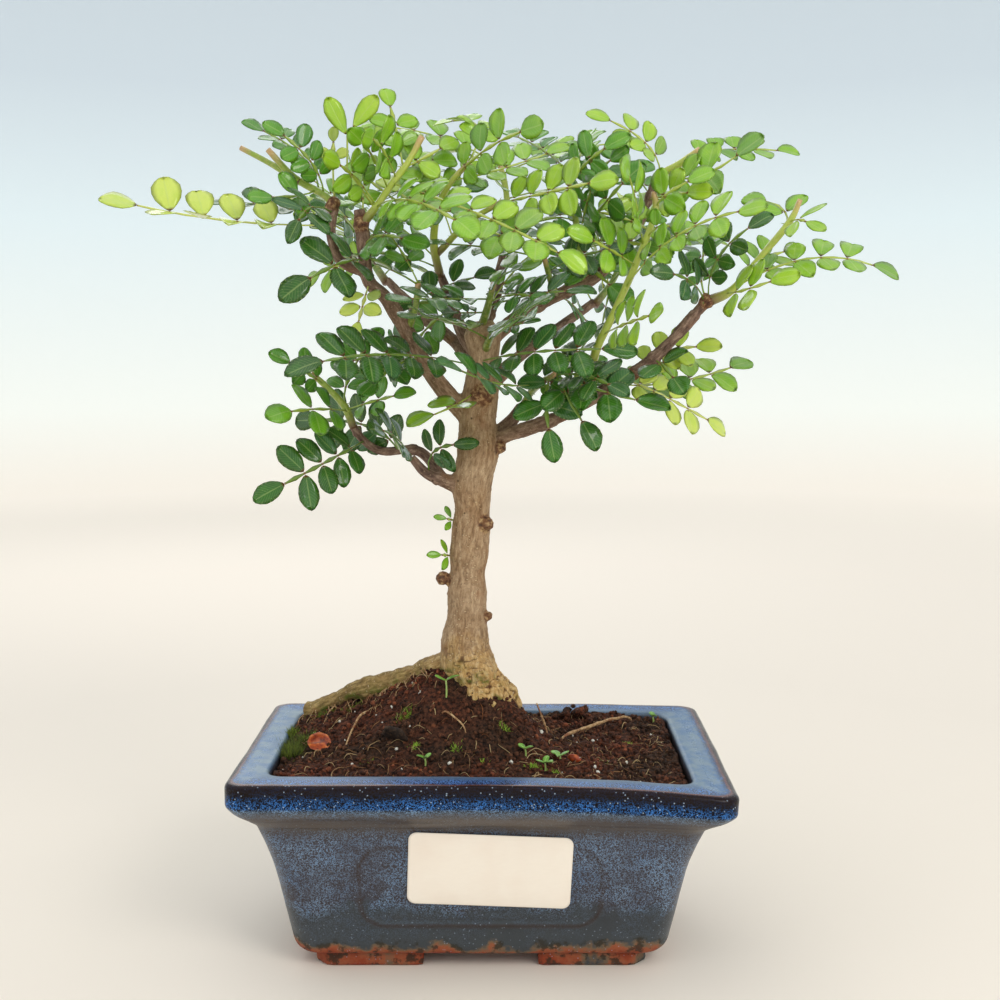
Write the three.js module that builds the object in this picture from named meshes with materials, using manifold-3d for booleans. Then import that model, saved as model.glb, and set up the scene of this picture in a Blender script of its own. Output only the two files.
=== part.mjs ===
import * as THREE from 'three';
import { mergeVertices } from 'three/addons/utils/BufferGeometryUtils.js';
import Module from 'manifold-3d';

// A Japanese pepper bonsai in its glazed pot: millimetres, +Z up, the front towards -Y. It is built
// round the middle of the pot on the ground, and moved at the end to stand under its whole middle.

const wasm = await Module();
wasm.setup();

// Driving dimensions of the pot.
const RIM_LENGTH = 152;
const RIM_WIDTH = 95;
const RIM_TOP = 64;
const LIP = 10.6;
const WALL = 6;
const BASE_LENGTH = 117;
const BASE_WIDTH = 63;
const FOOT_HEIGHT = 4.6;
const FLOOR_TOP = 12;
const DRAIN_RADIUS = 7;
const DRAIN_SPACING = 56;
// The kiln let the front right corner of the rim sink, and the back right corner a little.
const SINK_FRONT = 4.2;
const SINK_BACK = 1;
// The end that sank has also spread.
const SPREAD = 1.5;

const LABEL_LENGTH = 50;
const LABEL_HEIGHT = 24;
const LABEL_THICK = 0.4;
const LABEL_TURN = 2.3;
const LABEL_CENTRE = [2.9, 34.1];

// Clearance between pieces that touch.
const GAP = 0.3;

// Driving dimensions of the leaves: the winged rib, the blades on it, and the shape of a leaflet as
// shares of its length and width.
const RIB_HALF_WIDTH = 0.55;
const RIB_HALF_HEIGHT = 0.5;
const BLADE_THICK = 1.1;
const LEAFLET_LEAN = 70;
const LEAN_OF_THREE = 60;
const LEAFLET_WIDTH = 0.64;
const LEAFLET_FOOT = 1.0;
// Pairs stand this share of a leaflet's length apart. A leaflet is at most this share of the rib,
// and this share of it in a leaf with a single pair.
const PAIR_SPACING = 0.72;
const LARGEST_SHARE = 0.55;
const LARGEST_SHARE_OF_THREE = 0.82;
const SHOULDER = [0.3, 0.5];
const CORNER = [0.9, 0.34];

// Places in the crown are given as a viewer in front of the tree sees them: across and up on the
// upright plane through the trunk, and how far ahead of that plane (behind it where less than 0).
const EYE = new THREE.Vector3(6, -415, 188);

function at(across, up, ahead = 0) {
  const share = 1 + ahead / EYE.y;
  return new THREE.Vector3(EYE.x + (across - EYE.x) * share, -ahead, EYE.z + (up - EYE.z) * share);
}

const radians = THREE.MathUtils.degToRad;

// Seeded draws from 0 to 1, the same on every run.
function drawsFrom(seed) {
  let state = seed;
  return () => {
    state = (state * 16807) % 2147483647;
    return state / 2147483647;
  };
}

// Closed mesh of points and triangles as a solid.
function solidFrom(points, triangles) {
  const vertProperties = new Float32Array(points.flatMap((p) => [p.x, p.y, p.z]));
  const triVerts = new Uint32Array(triangles.flat());
  return new wasm.Manifold(new wasm.Mesh({ numProp: 3, vertProperties, triVerts }));
}

function solidOfGeometry(geometry) {
  geometry.deleteAttribute('normal');
  geometry.deleteAttribute('uv');
  const merged = mergeVertices(geometry, 1e-4);
  const vertProperties = merged.attributes.position.array;
  const triVerts = merged.index.array;
  return new wasm.Manifold(new wasm.Mesh({ numProp: 3, vertProperties, triVerts }));
}

const joined = (solids) => solids.reduce((sum, solid) => sum.add(solid));

// The largest piece of a solid, without the loose scraps that a cut leaves.
function largestOf(solid) {
  const pieces = solid.decompose();
  return pieces.reduce((best, piece) => (piece.volume() > best.volume() ? piece : best));
}

const group = new THREE.Group();

function place(name, solid, colour, roughness) {
  const { vertProperties, triVerts, numProp } = solid.getMesh();
  const geometry = new THREE.BufferGeometry();
  const positions = new Float32Array((vertProperties.length / numProp) * 3);
  for (let i = 0; i < positions.length / 3; i += 1) {
    positions.set(vertProperties.subarray(i * numProp, i * numProp + 3), i * 3);
  }
  geometry.setAttribute('position', new THREE.BufferAttribute(positions, 3));
  geometry.setIndex(new THREE.BufferAttribute(new Uint32Array(triVerts), 1));
  geometry.computeVertexNormals();
  const material = new THREE.MeshStandardMaterial({ color: colour, roughness, metalness: 0 });
  const mesh = new THREE.Mesh(geometry, material);
  mesh.name = name;
  group.add(mesh);
}

// Rings of points, each with the same count, skinned into a closed solid with a fan at each end.
function loft(rings) {
  const points = rings.flat();
  const count = rings[0].length;
  const triangles = [];
  for (let ring = 0; ring + 1 < rings.length; ring += 1) {
    for (let i = 0; i < count; i += 1) {
      const a = ring * count + i;
      const b = ring * count + ((i + 1) % count);
      triangles.push([a, b, b + count], [a, b + count, a + count]);
    }
  }
  for (const end of [0, rings.length - 1]) {
    const centre = new THREE.Vector3();
    rings[end].forEach((p) => centre.addScaledVector(p, 1 / count));
    points.push(centre);
    for (let i = 0; i < count; i += 1) {
      const a = end * count + i;
      const b = end * count + ((i + 1) % count);
      triangles.push(end === 0 ? [points.length - 1, b, a] : [points.length - 1, a, b]);
    }
  }
  return solidFrom(points, triangles);
}

// Pot

// How far the fired pot has sunk at a point: nothing at the left and at the foot, most at the
// right end of the rim.
function sunk(x, y, z) {
  const right = Math.max(0, x / (RIM_LENGTH / 2)) ** 2;
  const front = THREE.MathUtils.clamp(0.5 - y / RIM_WIDTH, 0, 1);
  const high = ((z - FOOT_HEIGHT) / (RIM_TOP - FOOT_HEIGHT)) ** 2;
  return right * high * THREE.MathUtils.lerp(SINK_BACK, SINK_FRONT, front);
}

// How far the right end has spread there: most at the rim's corner, and next to nothing further in.
function spreadAt(x, z) {
  const high = Math.min(1, (z - FOOT_HEIGHT) / (RIM_TOP - FOOT_HEIGHT)) ** 2;
  return SPREAD * high * Math.max(0, x / (RIM_LENGTH / 2)) ** 10;
}

// Rounded rectangle at a height: corners as arcs, and points between them where the rim can sink.
function potRing(halfLength, halfWidth, corner, z) {
  const ring = [];
  const steps = 3;
  for (let quarter = 0; quarter < 4; quarter += 1) {
    const sideX = quarter === 0 || quarter === 3 ? 1 : -1;
    const sideY = quarter < 2 ? 1 : -1;
    for (let i = 0; i <= steps; i += 1) {
      const angle = (quarter + i / steps) * (Math.PI / 2);
      const x = sideX * (halfLength - corner) + corner * Math.cos(angle);
      const y = sideY * (halfWidth - corner) + corner * Math.sin(angle);
      ring.push([x, y]);
    }
    const along = halfLength - corner;
    if (quarter === 0) ring.push([along / 3, halfWidth], [-along / 3, halfWidth]);
    if (quarter === 2) ring.push([-along / 3, -halfWidth], [along / 3, -halfWidth]);
    if (quarter === 1) ring.push([-halfLength, 0]);
    if (quarter === 3) ring.push([halfLength, 0]);
  }
  return ring.map(([x, y]) => new THREE.Vector3(x + spreadAt(x, z), y, z - sunk(x, y, z)));
}

// Outside of the pot from the foot to the rim: height, half length, half width, corner radius.
// The wall leans out, opens into a flare under the rim, and ends in an upright band.
const rimHalfLength = RIM_LENGTH / 2;
const rimHalfWidth = RIM_WIDTH / 2;
const baseHalfLength = BASE_LENGTH / 2;
const baseHalfWidth = BASE_WIDTH / 2;
const WALL_TOP = 47.4;
const wallLeanX = 0.195;
const wallLeanY = 0.1475;
const wallHalfLength = (z) => baseHalfLength + 0.6 + wallLeanX * (z - FOOT_HEIGHT - 2);
const wallHalfWidth = (z) => baseHalfWidth + 0.5 + wallLeanY * (z - FOOT_HEIGHT - 2);

const outside = [
  [FOOT_HEIGHT, baseHalfLength - 1, baseHalfWidth - 1, 9],
  [FOOT_HEIGHT + 2, wallHalfLength(FOOT_HEIGHT + 2), wallHalfWidth(FOOT_HEIGHT + 2), 10],
  [34, wallHalfLength(34), wallHalfWidth(34), 9],
  [41, wallHalfLength(41) + 1.1, wallHalfWidth(41), 9],
  [WALL_TOP, wallHalfLength(WALL_TOP) + 2.3, wallHalfWidth(WALL_TOP), 8.5],
  [50.4, rimHalfLength - 4.4, rimHalfWidth - 6.1, 7.5],
  [53.3, rimHalfLength - 1.9, rimHalfWidth - 2.5, 6.5],
  [55.8, rimHalfLength - 0.4, rimHalfWidth - 0.5, 6],
  [57, rimHalfLength, rimHalfWidth, 5.5],
  [RIM_TOP - 1, rimHalfLength, rimHalfWidth, 5.5],
  [RIM_TOP, rimHalfLength - 0.9, rimHalfWidth - 0.9, 5],
];
const openingHalfLength = rimHalfLength - LIP;
const openingHalfWidth = rimHalfWidth - LIP;
const inside = [
  [RIM_TOP - 0.2, openingHalfLength, openingHalfWidth, 6],
  [RIM_TOP - 1.2, openingHalfLength - 0.8, openingHalfWidth - 0.8, 6],
  [57, openingHalfLength - 1, openingHalfWidth - 1, 6],
  [WALL_TOP, wallHalfLength(WALL_TOP) - WALL, wallHalfWidth(WALL_TOP) - WALL, 6],
  [FLOOR_TOP, wallHalfLength(FLOOR_TOP) - WALL, wallHalfWidth(FLOOR_TOP) - WALL, 6],
];

// One of the four corner feet: an angle piece under the wall, seen from above.
function foot(sideX, sideY) {
  const outerX = baseHalfLength - 6.5;
  const outerY = baseHalfWidth - 2.5;
  const plan = [
    [18, outerY], [outerX - 4, outerY], [outerX, outerY - 4], [outerX, 12],
    [outerX - 9, 12], [outerX - 9, outerY - 9], [18, outerY - 9],
  ];
  const corners = plan.map(([x, y]) => new THREE.Vector2(sideX * x, sideY * y));
  const shape = new THREE.Shape(sideX * sideY > 0 ? corners : corners.reverse());
  const geometry = new THREE.ExtrudeGeometry(shape, { depth: FOOT_HEIGHT + 1, bevelEnabled: false });
  return solidOfGeometry(geometry);
}

function drainHole(x) {
  const geometry = new THREE.CylinderGeometry(DRAIN_RADIUS, DRAIN_RADIUS, FLOOR_TOP + 4, 12);
  geometry.rotateX(Math.PI / 2);
  geometry.translate(x, 0, FLOOR_TOP / 2);
  return solidOfGeometry(geometry);
}

function makePot() {
  const profile = [...outside, ...inside];
  const rings = profile.map(([z, length, width, corner]) => potRing(length, width, corner, z));
  const feet = [[1, 1], [-1, 1], [1, -1], [-1, -1]].map(([x, y]) => foot(x, y));
  const fired = joined([loft(rings), ...feet]);
  const drains = [-DRAIN_SPACING / 2, DRAIN_SPACING / 2].map(drainHole);
  return fired.subtract(joined(drains));
}

// Squares of plastic mesh over the drain holes, under the soil.
const MESH_SIDE = 22;
const MESH_THICK = 0.8;

function drainMesh(x, grow = 0) {
  const side = MESH_SIDE + 2 * grow;
  const geometry = new THREE.BoxGeometry(side, side, MESH_THICK + 2 * grow);
  geometry.translate(x, 0, FLOOR_TOP + GAP + MESH_THICK / 2);
  return solidOfGeometry(geometry);
}

// Blank label on the front wall, lying on the lean of the wall and turned a little clockwise.
function makeLabel() {
  const corner = 2.5;
  const shape = new THREE.Shape();
  const x = LABEL_LENGTH / 2 - corner;
  const y = LABEL_HEIGHT / 2 - corner;
  shape.absarc(x, y, corner, 0, Math.PI / 2);
  shape.absarc(-x, y, corner, Math.PI / 2, Math.PI);
  shape.absarc(-x, -y, corner, Math.PI, 1.5 * Math.PI);
  shape.absarc(x, -y, corner, 1.5 * Math.PI, 2 * Math.PI);
  const geometry = new THREE.ExtrudeGeometry(shape, {
    depth: LABEL_THICK,
    bevelEnabled: false,
    curveSegments: 2,
  });
  geometry.rotateZ(radians(-LABEL_TURN));
  geometry.rotateX(Math.PI / 2 + Math.atan(wallLeanY));
  const [centreX, centreZ] = LABEL_CENTRE;
  geometry.translate(centreX, -wallHalfWidth(centreZ) - GAP - 0.05, centreZ);
  return solidOfGeometry(geometry);
}

// Wood

// Limb through points that each carry a radius: [across, up, ahead, radius].
const limbPlaces = (stations) => stations.map(([across, up, ahead]) => at(across, up, ahead));

function limbCurve(places) {
  return new THREE.CatmullRomCurve3(places, false, 'catmullrom', 0.5);
}

function limbRings(places, radii, sides, steps, grow, upright) {
  const curve = limbCurve(places);
  const spans = places.length - 1;
  const rings = [];
  for (let i = 0; i <= spans * steps; i += 1) {
    const t = i / (spans * steps);
    const span = Math.min(Math.floor(i / steps), spans - 1);
    const share = i / steps - span;
    const radius = THREE.MathUtils.lerp(radii[span], radii[span + 1], share) + grow;
    const centre = curve.getPoint(t);
    const forward = curve.getTangent(t);
    if (grow > 0 && i === 0) centre.addScaledVector(forward, -grow);
    if (grow > 0 && i === spans * steps) centre.addScaledVector(forward, grow);
    const side = new THREE.Vector3().crossVectors(forward, upright).normalize();
    const back = new THREE.Vector3().crossVectors(forward, side);
    const ring = [];
    for (let k = 0; k < sides; k += 1) {
      const angle = (2 * Math.PI * k) / sides;
      const point = centre.clone().addScaledVector(side, radius * Math.cos(angle));
      ring.push(point.addScaledVector(back, radius * Math.sin(angle)));
    }
    rings.push(ring);
  }
  return rings;
}

const AWAY = new THREE.Vector3(0, 1, 0);
const ACROSS = new THREE.Vector3(1, 0, 0);
const UPRIGHT = new THREE.Vector3(0, 0, 1);

function limb(stations, { sides = 6, steps = 1, grow = 0, upright = AWAY } = {}) {
  const radii = stations.map((station) => station[3]);
  return loft(limbRings(limbPlaces(stations), radii, sides, steps, grow, upright));
}

// The trunk, its surface root and its branches: across, up, ahead, radius.
const TRUNK = [
  [-1, 52, -7, 9], [-1, 62, -7, 12], [-1, 74, -6, 13.2], [-2.4, 82, -5, 11.4], [-4.5, 89, -5, 8.7],
  [-5.4, 96, -5, 7.3], [-4.9, 104, -5, 6.6], [-4.7, 113, -5, 6.3], [-4.4, 122, -5, 6.1],
  [-3.6, 131, -5, 5.9], [-3, 141, -5, 5.9], [-2.9, 150, -5, 6.2], [-1, 160, -5, 6.3],
  [-1.2, 171, -5, 5.8], [0.4, 182, -5, 5.2], [1, 190, -5, 4.9], [0.4, 197, -5, 6.2], [0, 201, -5, 4],
];
const BRANCHES = {
  surfaceRoot: [
    [-5, 92, -6, 5], [-13, 89, -8, 5.2], [-21, 85.6, -11, 4.2], [-29, 83.6, -14, 3.7],
    [-37, 81.6, -17, 3.5], [-44, 79.6, -20, 3.3], [-51, 76, -22, 3.1], [-57.5, 73.6, -24, 3.2],
  ],
  frontRoot: [[3, 82, -4, 6], [5, 76, 0, 5.5], [6, 69, 1, 4.5], [6, 60, 1, 3]],
  rightRoot: [[3, 84, -6, 5], [8, 77.5, -7, 4.5], [11, 71, -7, 3.5], [12, 63, -7, 2.6]],
  left: [
    [-4, 170, -5, 3.4], [-9, 175.5, -4, 3.1], [-16, 184.5, -1, 2.6], [-23.5, 197.5, 2, 2.4],
    [-30, 208, 4, 2.2], [-35.6, 213.4, 5, 2.1], [-37, 222, 6, 2], [-37.5, 229, 6, 2.2], [-38.5, 236, 6, 2],
  ],
  leftTwig: [
    [-37.5, 216.5, 5, 1.6], [-42.5, 218.5, 6, 1.7], [-46, 222, 8, 1.6], [-47.6, 230, 9, 1.6],
    [-46.8, 238, 9, 1.9],
  ],
  centre: [[-1, 190, -7, 2.6], [-6, 197.5, -12, 2.1], [-9.5, 207, -17, 1.8], [-13.5, 217, -20, 1.5]],
  right: [
    [1, 193, -7, 3], [7, 198.5, -9, 2.6], [13, 203, -11, 2.4], [24, 209, -13, 2.3], [33, 213, -14, 2.1],
    [40.5, 218.7, -14, 2], [46.5, 227, -13, 1.8], [51.5, 235, -12, 1.7], [54.6, 244.5, -11, 1.2],
  ],
  rightLower: [
    [1, 161, -5, 3], [8, 164.5, -4, 2.6], [14, 166.5, -2, 2.4], [24, 170, 1, 2.2], [33, 175, 4, 2.1],
    [42, 180.5, 7, 2], [53, 187.5, 11, 1.9], [61, 195, 14, 1.8], [68.5, 203.5, 16, 1.7], [72, 207.5, 17, 2],
  ],
  rightStub: [[2, 163, -7, 2.6], [9, 168.5, -9, 2.3], [13, 174, -11, 2]],
  leftLower: [[-6, 148, -5, 3], [-12, 150, -3, 2.3], [-18, 152.5, -1, 1.8], [-22.5, 157.5, 0, 1.4]],
  leftLowerBack: [
    [-13, 151, -3, 1.9], [-17, 157, -7, 1.7], [-22, 160, -8, 1.6], [-32, 159.5, -6, 1.5],
    [-38, 163, -4, 1.4], [-42, 168.5, -3, 1.2],
  ],
  // Branches behind the crown, which fill its back half.
  backLeft: [[0, 184, -7, 2.8], [-8, 194, -22, 2.3], [-19, 203, -36, 2], [-30, 214, -50, 1.7]],
  backRight: [[1, 178, -7, 2.8], [10, 188, -24, 2.3], [22, 197, -40, 2], [36, 207, -54, 1.7]],
  backTop: [[0, 196, -7, 2.6], [4, 208, -20, 2], [7, 221, -34, 1.7], [8, 233, -44, 1.5]],
};
const FEW_SIDES = 5;

// Knots and pruning scars: across, up, ahead, radius.
const KNOTS = [
  [1.6, 136, -1, 2.9], [-12.6, 118, -4, 2.8], [2, 105.5, -4, 2.2], [0.4, 177.5, 0, 3.4],
  [5.6, 160.5, -3, 2.6], [31.6, 216, -13, 2.3], [-37.6, 231.5, 6, 3], [-46.6, 238, 9, 2.6],
  [48, 184, 9, 2.4], [72, 207.5, 17, 2.6], [4.4, 80, 0, 6.4], [0, 87, 1, 5.4], [6.8, 80.5, -4, 4.6],
];

function knot([across, up, ahead, radius], grow) {
  const geometry = new THREE.IcosahedronGeometry(radius + grow, 0);
  const centre = at(across, up, ahead);
  geometry.translate(centre.x, centre.y, centre.z);
  return solidOfGeometry(geometry);
}

function makeWood(grow = 0) {
  const trunk = limb(TRUNK, { sides: 9, grow });
  const branches = Object.entries(BRANCHES).map(([name, stations]) => {
    const upright = name.startsWith('back') ? ACROSS : AWAY;
    return limb(stations, { sides: FEW_SIDES, grow, upright });
  });
  return joined([trunk, ...branches, ...KNOTS.map((place) => knot(place, grow))]);
}

// Soil

// The soil is banked up round the trunk and under the surface root, and lies just under the rim
// elsewhere: [x, y, height, spread].
const BANKS = [
  [-8, 4, 20, 14], [-22, 9, 8.6, 14], [-40, 16, 6.8, 13], [-55, 21, 3, 9], [8, -1, 7.5, 8],
  [28, 34, 1.6, 12], [52, 34, 1.6, 12],
];
const SOIL_LEVEL = RIM_TOP - 2.6;
const SOIL_CELL = 9.5;
const SOIL_LUMPS = 1.1;

function soilHeight(x, y) {
  return BANKS.reduce(
    (sum, [bankX, bankY, height, spread]) => {
      const away = (x - bankX) ** 2 + (y - bankY) ** 2;
      return sum + height * Math.exp(-away / (2 * spread ** 2));
    },
    SOIL_LEVEL - sunk(x, y, RIM_TOP),
  );
}

// A block whose top is the soil's surface, on a grid of lumps.
function soilUnderSurface() {
  const columns = 14;
  const rows = 8;
  const draw = drawsFrom(11);
  const top = [];
  for (let row = 0; row <= rows; row += 1) {
    for (let column = 0; column <= columns; column += 1) {
      const x = (column - columns / 2) * SOIL_CELL;
      const y = (row - rows / 2) * SOIL_CELL;
      top.push(new THREE.Vector3(x, y, soilHeight(x, y) + SOIL_LUMPS * (2 * draw() - 1)));
    }
  }
  const bottom = top.map((p) => new THREE.Vector3(p.x, p.y, 0));
  const points = [...top, ...bottom];
  const low = top.length;
  const triangles = [];
  const index = (column, row) => row * (columns + 1) + column;
  for (let row = 0; row < rows; row += 1) {
    for (let column = 0; column < columns; column += 1) {
      const [a, b] = [index(column, row), index(column + 1, row)];
      const [c, d] = [index(column + 1, row + 1), index(column, row + 1)];
      triangles.push([a, b, c], [a, c, d], [low + a, low + c, low + b], [low + a, low + d, low + c]);
    }
  }
  const edge = [];
  for (let column = 0; column < columns; column += 1) edge.push(index(column, 0));
  for (let row = 0; row < rows; row += 1) edge.push(index(columns, row));
  for (let column = columns; column > 0; column -= 1) edge.push(index(column, rows));
  for (let row = rows; row > 0; row -= 1) edge.push(index(0, row));
  edge.forEach((a, i) => {
    const b = edge[(i + 1) % edge.length];
    triangles.push([a, low + a, low + b], [a, low + b, b]);
  });
  return solidFrom(points, triangles);
}

// The room inside the pot, less the gap, going straight up past the rim.
function potRoom() {
  const levels = [...inside].reverse();
  const rings = levels.map(([z, length, width, corner], i) => {
    const height = i === 0 ? z + GAP : z;
    return potRing(length - GAP - 0.1, width - GAP - 0.1, corner, height);
  });
  const [, topLength, topWidth, topCorner] = inside[1];
  rings.pop();
  rings.push(potRing(topLength - GAP - 0.1, topWidth - GAP - 0.1, topCorner, RIM_TOP + 40));
  return loft(rings);
}

function makeSoil(holes) {
  const heaped = potRoom().intersect(soilUnderSurface());
  return largestOf(heaped.subtract(joined(holes)));
}

// Litter

// Seedlings in the soil: place, height of the leaves over the soil, their number, size and turn.
const SEEDLINGS = {
  seedling_by_trunk: { x: -11.5, y: -6, height: 4, leaves: 2, size: 4.4, turn: 8 },
  seedling_front_left: { x: -17.3, y: -25.3, height: 1, leaves: 3, size: 2.8, turn: 50 },
  seedling_middle: { x: 14, y: -17, height: 1, leaves: 3, size: 3, turn: 20 },
  seedling_front_middle: { x: 20, y: -23.9, height: 1.2, leaves: 3, size: 3.4, turn: 75 },
  seedling_front_right: { x: 25, y: -17.6, height: 1.4, leaves: 3, size: 3.6, turn: 15 },
  seedling_back_right: { x: 60, y: 30, height: 0.8, leaves: 2, size: 2.8, turn: 100 },
};
const SEEDLING_ROOT = 3;
const SEEDLING_RADIUS = 0.5;
const SEEDLING_RISE = 25;

// Flat pieces that lean in the soil with their faces to the front: place, length, width, corners,
// lean, turn and colour.
const FLAT_PIECES = {
  fallen_leaf_left: [-53, -5.6, 8, 6.4, 8, 62, 20, 0xb8451c],
  fallen_leaf_right: [29.5, -16, 5, 3.8, 6, 55, 150, 0xc0701e],
  bark_chip: [-27.6, -13.2, 10, 7, 5, 58, 145, 0x2a1c16],
};

// Twigs and rootlets that lie on the soil: x, y, height over the soil, radius.
const FALLEN_TWIGS = {
  twig_on_soil: [
    [25.5, 4, -1.6, 0.8], [28.5, 8, 1.4, 0.9], [37, 18, 1.8, 0.9], [50, 28, 1.6, 0.7], [53, 30, -1.2, 0.6],
  ],
  twig_by_trunk: [[22, 1, -1.5, 0.6], [21, 1.6, 2, 0.6], [18.3, 2.6, 8, 0.5]],
  rootlet_left: [
    [-44, -11, -1.2, 0.5], [-43.4, -8.6, 1.3, 0.5], [-42.4, -3, 1.5, 0.55], [-40, 3, 1.2, 0.55],
    [-36.5, 6.5, -1.5, 0.5],
  ],
  rootlet_by_trunk: [
    [-13.2, -9.5, -1.4, 0.5], [-11.2, -11, 1.4, 0.5], [-6.5, -13.5, 1.3, 0.5], [-4, -16, -1.3, 0.4],
  ],
};

// Oval blade from its foot along an axis, flat underneath, with a crown in its middle.
function ovalBlade(foot, axis, across, up, length, width) {
  const corners = 6;
  const points = Array.from({ length: corners }, (_, i) => {
    const angle = (2 * Math.PI * i) / corners;
    const along = (length / 2) * (1 - Math.cos(angle));
    const sideways = (-width / 2) * Math.sin(angle);
    return foot.clone().addScaledVector(axis, along).addScaledVector(across, sideways);
  });
  points.push(foot.clone().addScaledVector(axis, length / 2).addScaledVector(up, BLADE_THICK));
  const triangles = points.slice(0, corners).map((_, i) => [corners, i, (i + 1) % corners]);
  for (let i = 1; i + 1 < corners; i += 1) triangles.push([0, i + 1, i]);
  return solidFrom(points, triangles);
}

function seedlingStem({ x, y, height }, grow = 0) {
  const ground = soilHeight(x, y);
  const foot = new THREE.Vector3(x, y, ground - SEEDLING_ROOT);
  const top = new THREE.Vector3(x, y, ground + SOIL_LUMPS + height);
  return loft(limbRings([foot, top], [SEEDLING_RADIUS, SEEDLING_RADIUS], 4, 1, grow, AWAY));
}

function seedling(place) {
  const { x, y, height, leaves, size, turn } = place;
  const top = new THREE.Vector3(x, y, soilHeight(x, y) + SOIL_LUMPS + height - 0.2);
  const rise = radians(SEEDLING_RISE);
  const blades = Array.from({ length: leaves }, (_, i) => {
    const angle = radians(turn) + (2 * Math.PI * i) / leaves;
    const out = new THREE.Vector3(Math.cos(angle), Math.sin(angle), 0);
    const across = new THREE.Vector3(-Math.sin(angle), Math.cos(angle), 0);
    const axis = out.clone().multiplyScalar(Math.cos(rise)).setZ(Math.sin(rise));
    const up = new THREE.Vector3().crossVectors(axis, across);
    return ovalBlade(top, axis, across, up, size, 0.7 * size);
  });
  return joined([seedlingStem(place), ...blades]);
}

function flatPiece([x, y, length, width, corners, lean, turn], grow = 0) {
  const outline = Array.from({ length: corners }, (_, i) => {
    const angle = (2 * Math.PI * i) / corners;
    const corner = new THREE.Vector2(Math.cos(angle), Math.sin(angle));
    return corner.multiply(new THREE.Vector2(length / 2 + grow, width / 2 + grow));
  });
  const thick = BLADE_THICK + 2 * grow;
  const shape = new THREE.Shape(outline);
  const geometry = new THREE.ExtrudeGeometry(shape, { depth: thick, bevelEnabled: false });
  geometry.translate(0, 0, -thick / 2);
  geometry.rotateZ(radians(turn));
  geometry.rotateX(radians(lean));
  geometry.translate(x, y, soilHeight(x, y) + 0.3 * width);
  return solidOfGeometry(geometry);
}

function fallenTwig(stations, grow = 0) {
  const places = stations.map(([x, y, rise]) => new THREE.Vector3(x, y, soilHeight(x, y) + rise));
  const radii = stations.map((station) => station[3]);
  return loft(limbRings(places, radii, 4, 1, grow, UPRIGHT));
}

// Leaves

// A leaf's rib is the parabola through its base, middle and tip. Leaflets stand on it in opposite
// pairs from the end of the stalk on, with one more at the end.
function ribPoint({ base, middle, tip }, t) {
  return base.clone().multiplyScalar((1 - t) * (1 - 2 * t))
    .addScaledVector(middle, 4 * t * (1 - t))
    .addScaledVector(tip, t * (2 * t - 1));
}

function ribForward({ base, middle, tip }, t) {
  return base.clone().multiplyScalar(4 * t - 3)
    .addScaledVector(middle, 4 - 8 * t)
    .addScaledVector(tip, 4 * t - 1)
    .normalize();
}

// Axes at a share of the rib: forward along it, left across it, and up out of the blade.
function ribAxes(leaf, t) {
  const forward = ribForward(leaf, t);
  const left = new THREE.Vector3().crossVectors(leaf.normal, forward).normalize();
  const up = new THREE.Vector3().crossVectors(forward, left);
  return { origin: ribPoint(leaf, t), forward, left, up };
}

// Where each leaflet stands: its foot, the way it points, the way across it, and its size. A pair is
// lifted out of the leaf's plane by a turn about the rib.
function leafletsOf(leaf) {
  const { stalk, seed } = leaf;
  const draw = drawsFrom(seed);
  const length = leaf.base.distanceTo(leaf.middle) + leaf.middle.distanceTo(leaf.tip);
  const winged = (1 - stalk) * length;
  const largest = leaf.pairs > 1 ? LARGEST_SHARE : LARGEST_SHARE_OF_THREE;
  const size = Math.min(leaf.size, largest * winged);
  const roomForPairs = Math.round((winged / size - 1) / PAIR_SPACING);
  const pairs = THREE.MathUtils.clamp(roomForPairs, 1, leaf.pairs);
  const ribEnd = 1 - (0.96 * size) / length;
  const spacing = (ribEnd - stalk) / pairs;
  const fitting = (pairs > 1 ? 0.9 : 2) * spacing * length;
  const width = Math.min(LEAFLET_WIDTH * size, fitting);
  const leaflets = [];
  for (let pair = 0; pair < pairs; pair += 1) {
    const t = stalk + pair * spacing;
    const { origin, forward, left, up } = ribAxes(leaf, t);
    const grown = 0.78 + (0.22 * (pair + 1)) / pairs;
    for (const side of [1, -1]) {
      const lean = radians((leaf.pairs > 1 ? LEAFLET_LEAN : LEAN_OF_THREE) + 10 * (draw() - 0.5));
      const lift = radians(leaf.lift + 16 * (draw() - 0.5));
      const scale = grown * (0.94 + 0.12 * draw());
      const out = left.clone().multiplyScalar(side * Math.cos(lift)).addScaledVector(up, Math.sin(lift));
      const face = up.clone().multiplyScalar(Math.cos(lift)).addScaledVector(left, -side * Math.sin(lift));
      const axis = out.clone().multiplyScalar(Math.sin(lean)).addScaledVector(forward, Math.cos(lean));
      const across = forward.clone().multiplyScalar(Math.sin(lean)).addScaledVector(out, -Math.cos(lean));
      const foot = origin.clone().addScaledVector(left, side * RIB_HALF_WIDTH);
      const grownLength = size * scale;
      leaflets.push({ t, side, foot, axis, across, up: face, length: grownLength, width: width * grown });
    }
  }
  const { origin, forward, left, up } = ribAxes(leaf, ribEnd);
  const end = { t: ribEnd, side: 0, foot: origin, axis: forward, across: left, up, length: size, width };
  leaflets.push(end);
  return { leaflets, ribEnd, length };
}

function onLeaflet({ foot, axis, across, length, width }, along, sideways) {
  return foot.clone().addScaledVector(axis, along * length).addScaledVector(across, sideways * width);
}

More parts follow.
